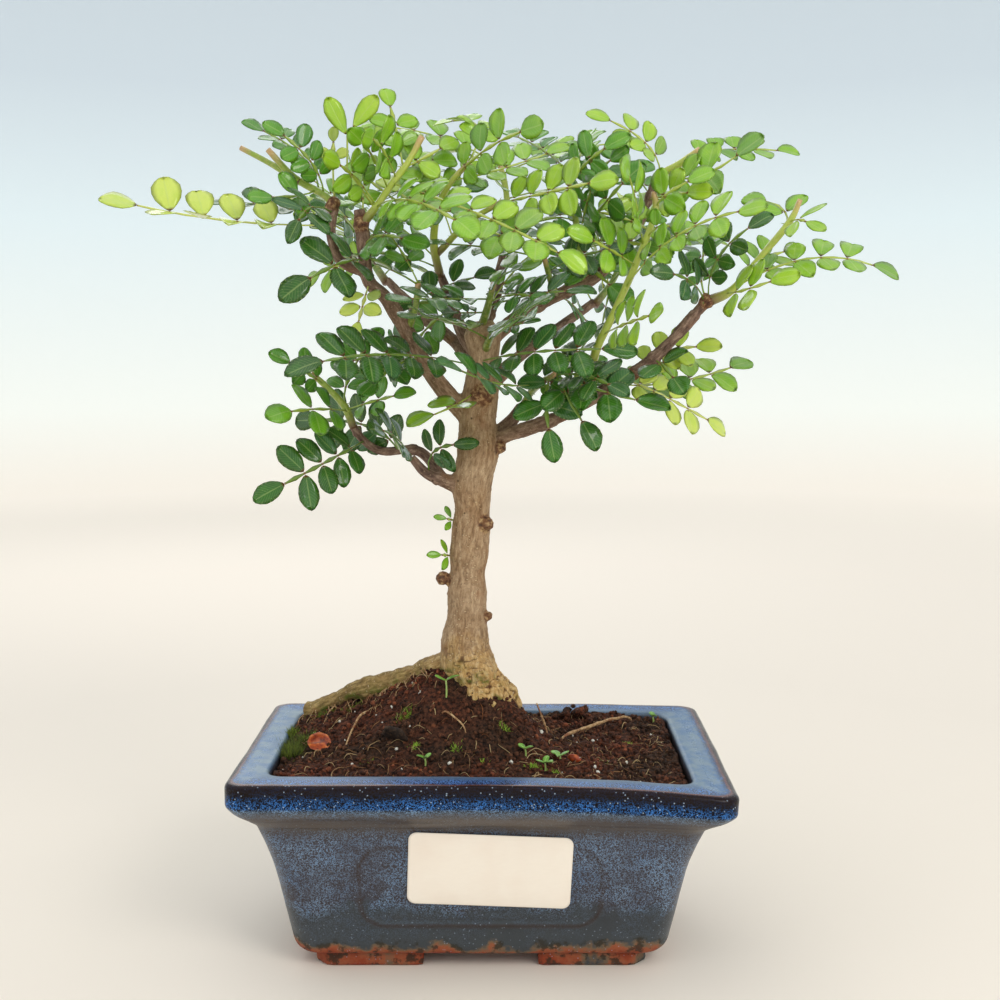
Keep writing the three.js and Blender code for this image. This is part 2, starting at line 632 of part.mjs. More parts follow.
// One thin closed blade whose outline is cut to the rib between the leaflets: sharp at its edge,
// flat underneath, with a ridge along the rib and a crown in the middle of each leaflet.
function compoundLeaf(leaf) {
  const { leaflets, ribEnd, length } = leafletsOf(leaf);
  const points = [];
  const triangles = [];
  const add = (point) => points.push(point) - 1;
  const pairStations = leaflets.filter(({ side }) => side === 1).flatMap(({ t }) => {
    const half = LEAFLET_FOOT / length;
    return [t - half, t + half];
  });
  const stations = [0, ...pairStations, ribEnd].map((t) => {
    const { origin, left, up } = ribAxes(leaf, t);
    return {
      left: add(origin.clone().addScaledVector(left, RIB_HALF_WIDTH)),
      right: add(origin.clone().addScaledVector(left, -RIB_HALF_WIDTH)),
      top: add(origin.clone().addScaledVector(up, RIB_HALF_HEIGHT)),
      under: add(origin.clone().addScaledVector(up, -RIB_HALF_HEIGHT)),
    };
  });
  const edge = (leaflet, sign) => {
    return [SHOULDER, CORNER].map(([along, out]) => add(onLeaflet(leaflet, along, sign * out)));
  };
  // The upper face is a fan round the crown, and the under face a fan from one corner.
  const blade = (leaflet, outline, ridge) => {
    const crown = add(onLeaflet(leaflet, 0.5, 0).addScaledVector(leaflet.up, BLADE_THICK));
    const upper = [...outline, ...ridge];
    upper.forEach((a, i) => triangles.push([crown, a, upper[(i + 1) % upper.length]]));
  };
  const underFace = (outline) => {
    const [corner, ...others] = outline;
    for (let i = 0; i + 1 < others.length; i += 1) triangles.push([corner, others[i + 1], others[i]]);
  };
  for (let i = 0; i + 1 < stations.length; i += 1) {
    const near = stations[i];
    const far = stations[i + 1];
    if (i % 2 === 1) {
      const [onLeft, onRight] = leaflets.slice(i - 1, i + 1);
      const left = [far.left, ...edge(onLeft, 1), ...edge(onLeft, -1).reverse(), near.left];
      const right = [near.right, ...edge(onRight, -1), ...edge(onRight, 1).reverse(), far.right];
      blade(onLeft, left, [near.top, far.top]);
      blade(onRight, right, [far.top, near.top]);
      underFace(left);
      underFace(right);
    } else {
      triangles.push([near.top, far.top, far.left], [near.top, far.left, near.left]);
      triangles.push([near.top, near.right, far.right], [near.top, far.right, far.top]);
    }
    triangles.push([near.under, far.left, far.under], [near.under, near.left, far.left]);
    triangles.push([near.under, far.right, near.right], [near.under, far.under, far.right]);
  }
  const first = stations[0];
  triangles.push([first.top, first.left, first.under], [first.top, first.under, first.right]);
  const last = stations[stations.length - 1];
  const end = leaflets[leaflets.length - 1];
  const outline = [last.right, ...edge(end, -1), ...edge(end, 1).reverse(), last.left];
  blade(end, outline, [last.top]);
  underFace([last.under, ...outline]);
  return solidFrom(points, triangles);
}

// Points over a leaf, close enough together to tell how near another leaf comes.
function feelersOf(leaf) {
  const { leaflets, ribEnd } = leafletsOf(leaf);
  const feelers = [];
  for (const leaflet of leaflets) {
    for (const along of [0.12, 0.4, 0.68, 0.95]) {
      for (const sideways of [-0.34, 0, 0.34]) feelers.push(onLeaflet(leaflet, along, sideways));
    }
  }
  const steps = 12;
  for (let i = 0; i <= steps; i += 1) feelers.push(ribPoint(leaf, (ribEnd * i) / steps));
  return feelers;
}

// What already stands in the crown: points with the room that each needs round it.
const standing = [];

function addStanding(node, points, room) {
  const box = new THREE.Box3().setFromPoints(points);
  standing.push({ node, points, room, box });
}

// The least room between a leaf and what stands near it, less the room that is needed there.
// Near its own base a leaf may touch the wood and the stem that it grows from.
const ROOM_FOR_LEAF = 2.3;
const ROOM_FOR_OWN = 1.5;
const BASE_REACH = 7;

function roomLeft(leaf, node) {
  const feelers = feelersOf(leaf);
  const box = new THREE.Box3().setFromPoints(feelers).expandByScalar(8);
  let least = Infinity;
  for (const other of standing) {
    if (!box.intersectsBox(other.box)) continue;
    const own = other.node === node;
    const needed = own && other.room === ROOM_FOR_LEAF ? ROOM_FOR_OWN : other.room;
    const grownFrom = own || other.node === 'wood';
    for (const feeler of feelers) {
      if (grownFrom && feeler.distanceTo(leaf.base) < BASE_REACH) continue;
      for (const point of other.points) least = Math.min(least, feeler.distanceTo(point) - needed);
    }
  }
  return least;
}

// A leaf is bent clear: its tip and middle move ahead or back, and its blade turns, by the first
// step of this rule that leaves room, or by the one that leaves most.
const TIP_STEPS = [0, 6, -6, 12, -12, 18, -18, 24, -24, 30, -30];
const TURN_STEPS = [0, 25, -25];
const MIDDLE_SHARE = 0.45;

function bentClear(leafAt, node) {
  let best = null;
  for (const turn of TURN_STEPS) {
    for (const step of TIP_STEPS) {
      const leaf = leafAt(step, turn);
      const room = roomLeft(leaf, node);
      if (!best || room > best.room) best = { leaf, room };
      if (room >= 0) return leaf;
    }
  }
  return best.leaf;
}

// The way a blade faces: towards the viewer at a tilt of 0, and upwards at 90.
function facing(base, tip, tilt) {
  const forward = tip.clone().sub(base).normalize();
  const sight = base.clone().sub(EYE).normalize();
  const upwards = new THREE.Vector3().crossVectors(forward, sight).normalize();
  if (upwards.z < 0) upwards.negate();
  const ahead = new THREE.Vector3().crossVectors(forward, upwards).normalize();
  if (ahead.dot(sight) > 0) ahead.negate();
  return ahead.multiplyScalar(Math.cos(radians(tilt))).addScaledVector(upwards, Math.sin(radians(tilt)));
}

// Leaf through three places, each [across, up, ahead].
function leaf(base, middle, tip, { tilt = 30, pairs = 4, size = 11, stalk = 0.26, lift = 8 } = {}) {
  return { base, middle, tip, tilt, pairs, size, stalk, lift };
}

function standLeaf({ base, middle, tip, tilt, ...rest }, node, seed) {
  const leafAt = (step, turn) => {
    const start = at(...base);
    const end = at(tip[0], tip[1], tip[2] + step);
    const bend = at(middle[0], middle[1], middle[2] + MIDDLE_SHARE * step);
    return { ...rest, seed, base: start, middle: bend, tip: end, normal: facing(start, end, tilt + turn) };
  };
  const settled = bentClear(leafAt, node);
  addStanding(node, feelersOf(settled), ROOM_FOR_LEAF);
  return settled;
}

// Green shoots: [across, up, ahead, radius]. Leaves: base, middle and tip, and how they lie.
const SPRAYS = {
  spray_left_twig: {
    colour: 0x3c7034,
    stems: [
      [[-46.8, 236, 9, 1.8], [-49, 240, 9, 1.3], [-59, 246, 11, 1.1], [-67, 254.5, 12, 0.9]],
      [[-57, 244.5, 11, 1], [-66, 250, 8, 0.9], [-75.5, 255, 6, 0.8]],
    ],
    leaves: [
      leaf([-51, 241.3, 9.2], [-58, 254, 2], [-77, 263.5, -4], { tilt: 55, pairs: 4, size: 9 }),
      leaf([-49.5, 240.4, 9.2], [-55, 252.5, 14], [-70, 264, 18], { tilt: 30, pairs: 4, size: 8 }),
      leaf([-52, 242, 9.5], [-60, 240, 18], [-76, 240, 24], { tilt: 40, pairs: 2, size: 10, stalk: 0.4 }),
    ],
  },
  leaf_far_left: {
    colour: 0x9dbf5a,
    leaves: [
      leaf([-46.5, 231, 9], [-84, 233, 20], [-119.5, 240, 26], { tilt: 62, pairs: 4, size: 12, lift: 42 }),
    ],
  },
  leaf_left_twig: {
    colour: 0x2f6130,
    leaves: [
      leaf([-46, 234.5, 9], [-55, 236, 20], [-60, 224, 28], { tilt: 20, pairs: 2, size: 12, stalk: 0.4 }),
    ],
  },
  sprout_left_twig: {
    colour: 0xc9d45a,
    leaves: [
      leaf([-46.2, 238, 7], [-46.6, 250, 5], [-46, 261, 4], { tilt: 10, pairs: 2, size: 6, stalk: 0.6 }),
    ],
  },
  spray_left_top: {
    colour: 0x5f9e34,
    stems: [
      [
        [-38, 231, 6, 1.6], [-33, 237, 7, 1.2], [-28, 244, 7, 1.1], [-23, 250.5, 6, 1],
        [-18.5, 258.5, 5, 1.1],
      ],
    ],
    leaves: [
      leaf([-33.5, 236.4, 7], [-43, 255, 8], [-29, 269, 8], { tilt: 5, pairs: 1, size: 15, stalk: 0.5 }),
      leaf([-24.5, 249, 6], [-27, 262, 1], [-30, 273, -3], { tilt: 20, pairs: 3, size: 8 }),
      leaf([-24.5, 248.5, 6], [-16, 253, 2], [-7, 258, -2], { tilt: 30, pairs: 2, size: 9 }),
      leaf([-28, 244, 7], [3, 233, 28], [32, 218, 34], { tilt: 48, pairs: 5, size: 11, stalk: 0.16 }),
      leaf([-33, 237, 7], [-20, 238.3, 20], [-1, 227.5, 26], { tilt: 42, pairs: 4, size: 11 }),
      leaf([-30, 241.3, 7], [-22, 250, -3], [-6, 250, -12], { tilt: 40, pairs: 3, size: 10 }),
    ],
  },
  leaf_left_hanging: {
    colour: 0x2f6130,
    leaves: [
      leaf([-37, 220, 6], [-48, 218, 18], [-65, 207, 24], { tilt: 25, pairs: 3, size: 12.5, stalk: 0.2 }),
    ],
  },
  leaf_left_pale: {
    colour: 0x9dbf5a,
    leaves: [leaf([-35.5, 213, 5], [-38, 205, 12], [-41, 193, 14], { tilt: 30, pairs: 3, size: 8 })],
  },
  leaf_left_inner: {
    colour: 0x3c7034,
    leaves: [leaf([-37, 224, 6], [-30, 228, 16], [-14, 222, 22], { tilt: 35, pairs: 3, size: 11 })],
  },
  trunk_leaf_low: {
    colour: 0x5a9138,
    leaves: [
      leaf([-9.5, 125.3, -5], [-13, 125.7, -2], [-18.5, 125.3, 0], { tilt: 20, pairs: 1, size: 5.5 }),
    ],
  },
  trunk_leaf_high: {
    colour: 0x5a9138,
    leaves: [
      leaf([-8.4, 137, -5], [-11.5, 137.6, -3], [-15.6, 138.6, -2], { tilt: 20, pairs: 1, size: 4.6 }),
    ],
  },
  leaf_front_left: {
    colour: 0x2c5c2e,
    leaves: [
      leaf([-3, 187, -3], [-32, 190.5, 16], [-60, 185.5, 20], { tilt: 48, pairs: 4, size: 13, stalk: 0.22 }),
    ],
  },
  leaf_front_right: {
    colour: 0x2c5c2e,
    leaves: [
      leaf([-1, 188, -3], [20, 191.5, 16], [51, 192, 20], { tilt: 45, pairs: 4, size: 12, stalk: 0.2 }),
    ],
  },
  leaf_bright_low: {
    colour: 0x5f9e34,
    leaves: [
      leaf([-2, 178.5, -2], [-11, 173, 9], [-24, 168.5, 12], { tilt: 62, pairs: 2, size: 11, stalk: 0.34 }),
    ],
  },
  spray_low_left: {
    colour: 0x4c8436,
    stems: [[[-41, 167, -3, 1.3], [-44, 174, -2, 1.1], [-50, 180.5, 0, 1], [-54.5, 184.5, 1, 0.9]]],
    leaves: [
      leaf([-50, 180.5, 0], [-58, 186, 6], [-68, 191, 8], { tilt: 30, pairs: 3, size: 8, stalk: 0.2 }),
      leaf([-44, 174.2, -2], [-41, 186, -10], [-30, 200, -16], { tilt: 20, pairs: 3, size: 9 }),
      leaf([-43, 172.4, -2], [-54, 173, 8], [-68, 171, 12], { tilt: 35, pairs: 3, size: 10 }),
      leaf([-43.3, 172.8, -2], [-33, 176, 6], [-22, 178.5, 10], { tilt: 40, pairs: 2, size: 8 }),
    ],
  },
  leaf_low_left_round: {
    colour: 0x2f6130,
    leaves: [
      leaf([-27, 160, -6], [-40, 168.5, 3], [-63, 168.5, 6], { tilt: 18, pairs: 3, size: 11, stalk: 0.14 }),
    ],
  },
  leaf_low_left: {
    colour: 0x33682f,
    leaves: [
      leaf([-37.5, 163, -4], [-52, 155, 10], [-76, 142.5, 14], { tilt: 12, pairs: 3, size: 12, stalk: 0.2 }),
    ],
  },
  leaf_across_trunk: {
    colour: 0x264f28,
    leaves: [
      leaf([-17, 152, -1], [-13.5, 160.5, 4], [2, 160.5, 6], { tilt: 15, pairs: 2, size: 9.5, stalk: 0.36 }),
    ],
  },
  spray_front: {
    colour: 0x2f6431,
    stems: [[[12, 172, -10, 1.5], [16, 178.5, -3, 1.2], [20, 182, 6, 1.1], [24, 184.5, 12, 1]]],
    leaves: [
      leaf([22, 183.3, 9], [21, 171, 15], [25, 155, 17], { tilt: 0, pairs: 2, size: 11.5, stalk: 0.08 }),
      leaf([24, 184.3, 11.8], [30, 173, 18], [38.5, 160, 20], { tilt: 30, pairs: 2, size: 11 }),
      leaf([19, 181.2, 5], [4, 181.5, 14], [-13, 189, 14], { tilt: 40, pairs: 3, size: 11, stalk: 0.26 }),
      leaf([23, 184, 11], [40, 178.5, 19], [62, 173, 22], { tilt: 42, pairs: 3, size: 12, stalk: 0.3 }),
      leaf([22, 183.4, 9], [31, 191, 20], [38, 203, 26], { tilt: 45, pairs: 3, size: 10 }),
    ],
  },
  spray_centre: {
    colour: 0x5d9436,
    stems: [
      [
        [-13, 215, -19, 1.5], [-15, 226, -15, 1.2], [-13, 238, -9, 1.1], [-9, 245, -5, 1],
        [-3.5, 250.5, -3, 0.9],
      ],
      [[-14, 222, -17, 1.1], [-4, 232, -8, 1], [6, 238, -2, 0.9]],
    ],
    leaves: [
      leaf([-8, 246, -4.8], [4, 256, 0], [20, 262, 4], { tilt: 30, pairs: 3, size: 10, stalk: 0.14 }),
      leaf([-4, 250, -3], [-2, 262.5, -12], [-17, 261, -20], { tilt: 62, pairs: 3, size: 8 }),
      leaf([-9, 245, -5], [8, 249, 8], [30, 256.5, 14], { tilt: 58, pairs: 4, size: 10, stalk: 0.2 }),
      leaf([5.5, 237.8, -2.2], [22, 241.5, 4], [43, 246, 6], { tilt: 35, pairs: 4, size: 10, stalk: 0.16 }),
      leaf([-14.6, 230, -13], [-26, 238, -22], [-44, 252, -30], { tilt: 40, pairs: 3, size: 10 }),
      leaf([-12, 240, -8], [-14, 247, 4], [-22, 256, 12], { tilt: 20, pairs: 2, size: 9, stalk: 0.3 }),
      leaf([-3, 232.8, -7.4], [6, 228, 6], [22, 222, 12], { tilt: 40, pairs: 3, size: 10 }),
    ],
  },
  leaf_inner_left: {
    colour: 0x264f28,
    leaves: [leaf([-10, 208, -17], [-18, 207, -2], [-31, 206, 6], { tilt: 35, pairs: 3, size: 10 })],
  },
  leaf_inner_top: {
    colour: 0x264f28,
    leaves: [leaf([-11.5, 212, -18.5], [-5, 214, -8], [7, 217, -3], { tilt: 35, pairs: 3, size: 10 })],
  },
  spray_right_mid: {
    colour: 0x4c8436,
    stems: [[[31.6, 216, -13, 1.6], [31, 226, -10, 1.2], [29, 238, -7, 1.1], [28, 247, -5, 0.9]]],
    leaves: [
      leaf([28.5, 243, -5.8], [35, 252, 2], [48, 259, 4], { tilt: 25, pairs: 3, size: 10 }),
      leaf([31, 227, -9.8], [40, 239, 4], [50, 249, 8], { tilt: 30, pairs: 3, size: 10 }),
      leaf([28.2, 246, -5.2], [20, 254, -10], [7, 260, -14], { tilt: 40, pairs: 3, size: 9 }),
      leaf([30, 232, -8.4], [20, 233, 4], [6, 226, 10], { tilt: 38, pairs: 3, size: 11 }),
      leaf([31.2, 221, -11.6], [38, 215, 2], [48, 206, 10], { tilt: 20, pairs: 3, size: 11 }),
    ],
  },
  spray_right_top: {
    colour: 0x5a9138,
    stems: [[[54.4, 243, -11, 1.3], [57, 247, -10, 1.2], [62.5, 250, -9, 1.1], [69, 254.5, -8, 1]]],
    leaves: [
      leaf([56.5, 246.4, -10.2], [50, 258, -2], [30, 267, 4], { tilt: 55, pairs: 4, size: 9 }),
      leaf([58, 247.8, -9.8], [71, 247, 2], [91, 261.5, 8], { tilt: 48, pairs: 4, size: 11 }),
      leaf([62, 249.8, -9.1], [78, 254.5, -18], [102, 253, -24], { tilt: 60, pairs: 4, size: 9 }),
    ],
  },
  leaf_right_joint: {
    colour: 0x5a9138,
    leaves: [leaf([53, 239, -11.5], [60, 240.5, 0], [73, 242, 4], { tilt: 30, pairs: 2, size: 9 })],
  },
  leaf_right_behind: {
    colour: 0x3c7034,
    leaves: [leaf([53.5, 240, -12], [48, 247, -24], [38, 256, -34], { tilt: 45, pairs: 4, size: 10 })],
  },
  shoot_right: {
    colour: 0x86b23c,
    stems: [
      [
        [34, 176, 5, 1.7], [36.5, 191, 9, 1.4], [42, 203, 10, 1.3], [49.8, 220.5, 9, 1.2], [55, 235, 7, 1.1],
        [54.5, 241.5, 7, 0.8],
      ],
    ],
    leaves: [
      leaf([45.5, 211, 9.8], [64, 229, 17], [91, 236.5, 22], { tilt: 55, pairs: 5, size: 10, stalk: 0.2 }),
      leaf([39.2, 197, 9.6], [47, 200.5, 17], [58, 204, 20], { tilt: 35, pairs: 2, size: 9, stalk: 0.3 }),
      leaf([52.3, 227, 8.2], [58, 231, 20], [64, 227, 28], { tilt: 10, pairs: 2, size: 10, stalk: 0.3 }),
      leaf([49, 218.5, 9.1], [40, 224, 20], [28, 230, 26], { tilt: 40, pairs: 3, size: 10 }),
      leaf([55, 236.4, 7], [62, 243, 14], [76, 248, 18], { tilt: 40, pairs: 3, size: 10 }),
    ],
  },
  leaf_right_low_front: {
    colour: 0x9dbf5a,
    leaves: [
      leaf([46, 182.5, 9], [61, 176, 20], [82, 164, 24], { tilt: 20, pairs: 4, size: 10, stalk: 0.18 }),
    ],
  },
  leaf_right_low_flat: {
    colour: 0x86b23c,
    leaves: [leaf([43, 181, 7], [64, 182, 4], [87, 189, 2], { tilt: 70, pairs: 4, size: 10, stalk: 0.16 })],
  },
  leaf_right_low_back: {
    colour: 0x9dbf5a,
    leaves: [
      leaf([49, 185, 9], [62, 192, -4], [77, 192, -12], { tilt: 35, pairs: 3, size: 9, stalk: 0.16 }),
    ],
  },
  spray_far_right: {
    colour: 0x5a9138,
    stems: [
      [
        [73, 207.5, 17, 1.6], [80, 211, 18, 1.3], [88.5, 221, 18, 1.1], [97.5, 232, 17, 1],
        [100.8, 239, 17, 0.8],
      ],
    ],
    leaves: [
      leaf([80, 211, 18], [107, 221, 26], [133, 214.5, 32], { tilt: 58, pairs: 5, size: 10, stalk: 0.2 }),
      leaf([97, 231.4, 17], [93, 237.5, 10], [80, 239, 4], { tilt: 48, pairs: 2, size: 9 }),
      leaf([78, 209.8, 17.8], [86, 211.5, 30], [103, 217.5, 38], { tilt: 45, pairs: 3, size: 10 }),
      leaf([84, 215.5, 18], [90, 221, 8], [104, 224, 0], { tilt: 35, pairs: 3, size: 9, stalk: 0.2 }),
      leaf([97.5, 232.2, 17], [103, 232, 24], [108, 226, 28], { tilt: 30, pairs: 1, size: 9 }),
    ],
  },
  leaf_knob_up: {
    colour: 0x33682f,
    leaves: [
      leaf([72.3, 208.5, 17.5], [77, 223.5, 24], [94, 235, 28], { tilt: 42, pairs: 4, size: 9, stalk: 0.2 }),
    ],
  },
  leaf_knob_left: {
    colour: 0x33682f,
    leaves: [leaf([71, 207.5, 17.5], [65, 214.5, 24], [54, 216, 28], { tilt: 40, pairs: 3, size: 9 })],
  },
  leaf_knob_behind: {
    colour: 0x3c7034,
    leaves: [leaf([71.5, 208, 15.5], [70, 219, 4], [74, 232, -6], { tilt: 30, pairs: 3, size: 9 })],
  },
};

// Sprays inside the crown and behind it. Leaves stand round the shoot by a turn of the leaf spiral
// each, reach out across and back, and hold their upper faces to the light.
const SPIRAL = 137.5;
const DEPTH_SHARE = 0.8;

function placeOnShoot(stations, share) {
  const span = Math.min(Math.floor(share * (stations.length - 1)), stations.length - 2);
  const part = share * (stations.length - 1) - span;
  const [near, far] = [stations[span], stations[span + 1]];
  return [0, 1, 2].map((axis) => THREE.MathUtils.lerp(near[axis], far[axis], part));
}

function spiralSpray(colour, stations, { count, turn, reach, rise, size = 10, pairs = 3, from = 0.4 }) {
  const draw = drawsFrom(turn + 7);
  const leaves = Array.from({ length: count }, (_, i) => {
    const share = from + ((0.97 - from) * i) / Math.max(1, count - 1);
    const base = placeOnShoot(stations, share);
    const angle = radians(turn + SPIRAL * i);
    const out = reach * (0.85 + 0.3 * draw());
    const up = rise + 12 * (draw() - 0.5);
    const across = Math.cos(angle) * out;
    const ahead = Math.sin(angle) * out * DEPTH_SHARE;
    const middle = [base[0] + across * 0.48, base[1] + up * 0.8, base[2] + ahead * 0.48];
    const tip = [base[0] + across, base[1] + up, base[2] + ahead];
    return leaf(base, middle, tip, { tilt: 66, pairs, size });
  });
  return { colour, stems: [stations], leaves };
}

Object.assign(SPRAYS, {
  spray_trunk_top: spiralSpray(
    0x2f6130,
    [[0, 199, -3, 1.5], [2, 205, 3, 1.2], [4, 213, 7, 1]],
    { count: 5, turn: 245, reach: 38, rise: 4, size: 11, pairs: 2 },
  ),
  spray_trunk_front: spiralSpray(
    0x264f28,
    [[1, 191, -3, 1.5], [3, 196, 5, 1.2], [6, 200, 12, 1]],
    { count: 3, turn: 160, reach: 36, rise: 2, size: 11, pairs: 2 },
  ),
  spray_left_fork: spiralSpray(
    0x33682f,
    [[-23.5, 197.5, 1, 1.5], [-21, 205, 7, 1.1], [-20, 213, 10, 0.9]],
    { count: 3, turn: 275, reach: 36, rise: 6, size: 11, pairs: 2 },
  ),
  spray_right_fork: spiralSpray(
    0x33682f,
    [[24, 209, -13, 1.5], [22, 214, -4, 1.1], [20, 221, 2, 0.9]],
    { count: 3, turn: 265, reach: 36, rise: 4, size: 11, pairs: 2 },
  ),
  spray_back_left: spiralSpray(
    0x33682f,
    [[-30, 213, -49, 1.6], [-35, 221, -54, 1.2], [-38, 231, -57, 1]],
    { count: 5, turn: 120, reach: 44, rise: 14, size: 11 },
  ),
  spray_back_right: spiralSpray(
    0x33682f,
    [[36, 206, -53, 1.6], [42, 214, -58, 1.2], [46, 224, -61, 1]],
    { count: 5, turn: 30, reach: 44, rise: 12, size: 11 },
  ),
  spray_back_top: spiralSpray(
    0x5a9138,
    [[8, 232, -43, 1.5], [8, 241, -48, 1.1], [6, 250, -51, 0.9]],
    { count: 5, turn: 330, reach: 42, rise: 6, size: 11 },
  ),
});

place('pot', makePot(), 0x2b4a78, 0.25);
const drains = [-DRAIN_SPACING / 2, DRAIN_SPACING / 2];
drains.forEach((x) => place(x < 0 ? 'drain_mesh_left' : 'drain_mesh_right', drainMesh(x), 0x2a2a2a, 0.7));
place('label', makeLabel(), 0xf4f4f2, 0.5);
place('tree_wood', makeWood(), 0xa08a70, 0.85);
const roundWood = makeWood(GAP);
const inSoil = [
  roundWood,
  ...drains.map((x) => drainMesh(x, GAP)),
  ...Object.values(SEEDLINGS).map((each) => seedlingStem(each, GAP)),
  ...Object.values(FLAT_PIECES).map((each) => flatPiece(each, GAP)),
  ...Object.values(FALLEN_TWIGS).map((stations) => fallenTwig(stations, GAP)),
];
place('soil', makeSoil(inSoil), 0x3a2418, 0.95);
Object.entries(SEEDLINGS).forEach(([name, each]) => place(name, seedling(each), 0x7cc243, 0.5));
Object.entries(FLAT_PIECES).forEach(([name, each]) => place(name, flatPiece(each), each.at(-1), 0.7));
Object.entries(FALLEN_TWIGS).forEach(([name, stations]) => place(name, fallenTwig(stations), 0xb08a62, 0.8));

// Points along a limb or a shoot, with the room that its thickness needs.
function addLimb(node, stations) {
  const places = limbPlaces(stations);
  const curve = limbCurve(places);
  const spans = 4 * (places.length - 1);
  for (let i = 0; i <= spans; i += 1) {
    const t = i / spans;
    const span = Math.min(Math.floor(i / 4), places.length - 2);
    const radius = THREE.MathUtils.lerp(stations[span][3], stations[span + 1][3], i / 4 - span);
    addStanding(node, [curve.getPoint(t)], radius + 1.2);
  }
}

[TRUNK, ...Object.values(BRANCHES)].forEach((stations) => addLimb('wood', stations));
for (const [name, { stems = [] }] of Object.entries(SPRAYS)) {
  stems.forEach((stations) => addLimb(name, stations));
}

Object.entries(SPRAYS).forEach(([name, { colour, stems = [], leaves }], order) => {
  const shoots = stems.map((stations) => limb(stations, { sides: 4 }));
  const blades = leaves.map((each, i) => compoundLeaf(standLeaf(each, name, 101 * (order + 1) + i)));
  const grown = joined([...shoots, ...blades]).subtract(roundWood);
  place(name, largestOf(grown), colour, 0.45);
});

// The origin is on the ground, under the middle of the whole plant.
const middle = new THREE.Box3().setFromObject(group).getCenter(new THREE.Vector3());
group.position.set(-middle.x, -middle.y, 0);

export default group;
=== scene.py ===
# %% [markdown]
# # A Japanese pepper bonsai in its blue-glazed pot
# The lesson dresses a finished CAD model: the same tree, pot and leaves, at the same places, with the
# fine surfaces and finishes that the solids leave out. Nearly every surface here is a formula on a
# grid, worked out with numpy, and every finish is a node material. The frame comes first: it brings
# in the CAD nodes, and tells where each of them is.

# %% The frame
import functools
import itertools
import math

import bpy
import numpy as np
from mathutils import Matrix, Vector


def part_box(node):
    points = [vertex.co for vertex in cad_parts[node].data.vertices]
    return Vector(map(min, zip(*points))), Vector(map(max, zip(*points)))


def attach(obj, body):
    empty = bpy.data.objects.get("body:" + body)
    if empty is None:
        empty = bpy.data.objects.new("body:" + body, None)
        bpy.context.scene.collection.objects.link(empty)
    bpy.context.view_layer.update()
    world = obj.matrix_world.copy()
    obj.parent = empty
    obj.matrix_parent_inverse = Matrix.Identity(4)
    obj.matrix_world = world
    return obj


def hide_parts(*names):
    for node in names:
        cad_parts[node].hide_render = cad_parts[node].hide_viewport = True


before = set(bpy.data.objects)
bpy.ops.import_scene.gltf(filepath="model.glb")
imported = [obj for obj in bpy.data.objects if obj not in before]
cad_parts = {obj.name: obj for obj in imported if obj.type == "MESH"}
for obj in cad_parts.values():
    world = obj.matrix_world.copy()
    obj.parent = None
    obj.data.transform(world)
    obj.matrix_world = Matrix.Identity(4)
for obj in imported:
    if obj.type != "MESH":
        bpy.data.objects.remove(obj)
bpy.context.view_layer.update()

# %% [markdown]
# ## Working units
# The tree is described in millimetres round the middle of the pot on the ground, with the front
# towards -Y. The pot is the same on both sides of its middle, so the middle of its box says where
# that point is in the frame, and a single function takes every point there, in metres.

# %% Millimetres round the pot's middle
POT_LOW, POT_HIGH = (np.array(corner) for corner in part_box("pot"))
POT_MIDDLE = (POT_LOW + POT_HIGH) / 2 * [1, 1, 0]
MILLIMETRE = 0.001


def in_frame(points):
    """Point in the frame = middle of the pot + point in millimetres / 1000."""
    return POT_MIDDLE + MILLIMETRE * np.asarray(points, float)


def add_piece(name, points, faces, slot, replaces=(), smooth=True, **attributes):
    """A mesh in its place, riding on the root body, with a value at every point for each attribute."""
    mesh = bpy.data.meshes.new(name)
    mesh.from_pydata(in_frame(points), [], [face for block in faces for face in np.asarray(block).tolist()])
    mesh.polygons.foreach_set("use_smooth", np.full(len(mesh.polygons), smooth))
    for title, values in attributes.items():
        values = np.asarray(values, np.float32)
        kind = {1: "FLOAT", 3: "FLOAT_VECTOR"}[1 if values.ndim == 1 else 3]
        layer = mesh.attributes.new(title, kind, "POINT")
        layer.data.foreach_set("value" if values.ndim == 1 else "vector", values.ravel())
    piece = bpy.data.objects.new(name, mesh)
    bpy.context.collection.objects.link(piece)
    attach(piece, "root")
    if replaces:
        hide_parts(*replaces)
    return piece


print("middle of the pot:", POT_MIDDLE.round(5))

# %% [markdown]
# ## Shared surface tools
# Most pieces are grids of points bent into shape: a pot is a profile carried round an outline, and a
# branch is a circle carried along a curve. These helpers give the faces of such grids, the curve
# through hand-read places, a tube along it, and smooth noise for all that grew or was fired unevenly.

# %% Grids and tubes


def grid_faces(rows, columns, closed=False, start=0):
    """Quads between neighbouring rows and columns of a grid, whose points run along the rows."""
    row, column = np.mgrid[0:rows - 1, 0:columns if closed else columns - 1].reshape(2, -1)
    beside = (column + 1) % columns
    low, high = start + row * columns, start + (row + 1) * columns
    return np.stack([low + column, low + beside, high + beside, high + column], 1)


def fan_faces(ring, hub, flip=False):
    """Triangles from each side of a closed ring to one point."""
    ring = np.asarray(ring)
    beside = np.roll(ring, 1 if flip else -1)
    return np.stack([ring, beside, np.full(len(ring), hub)], 1)


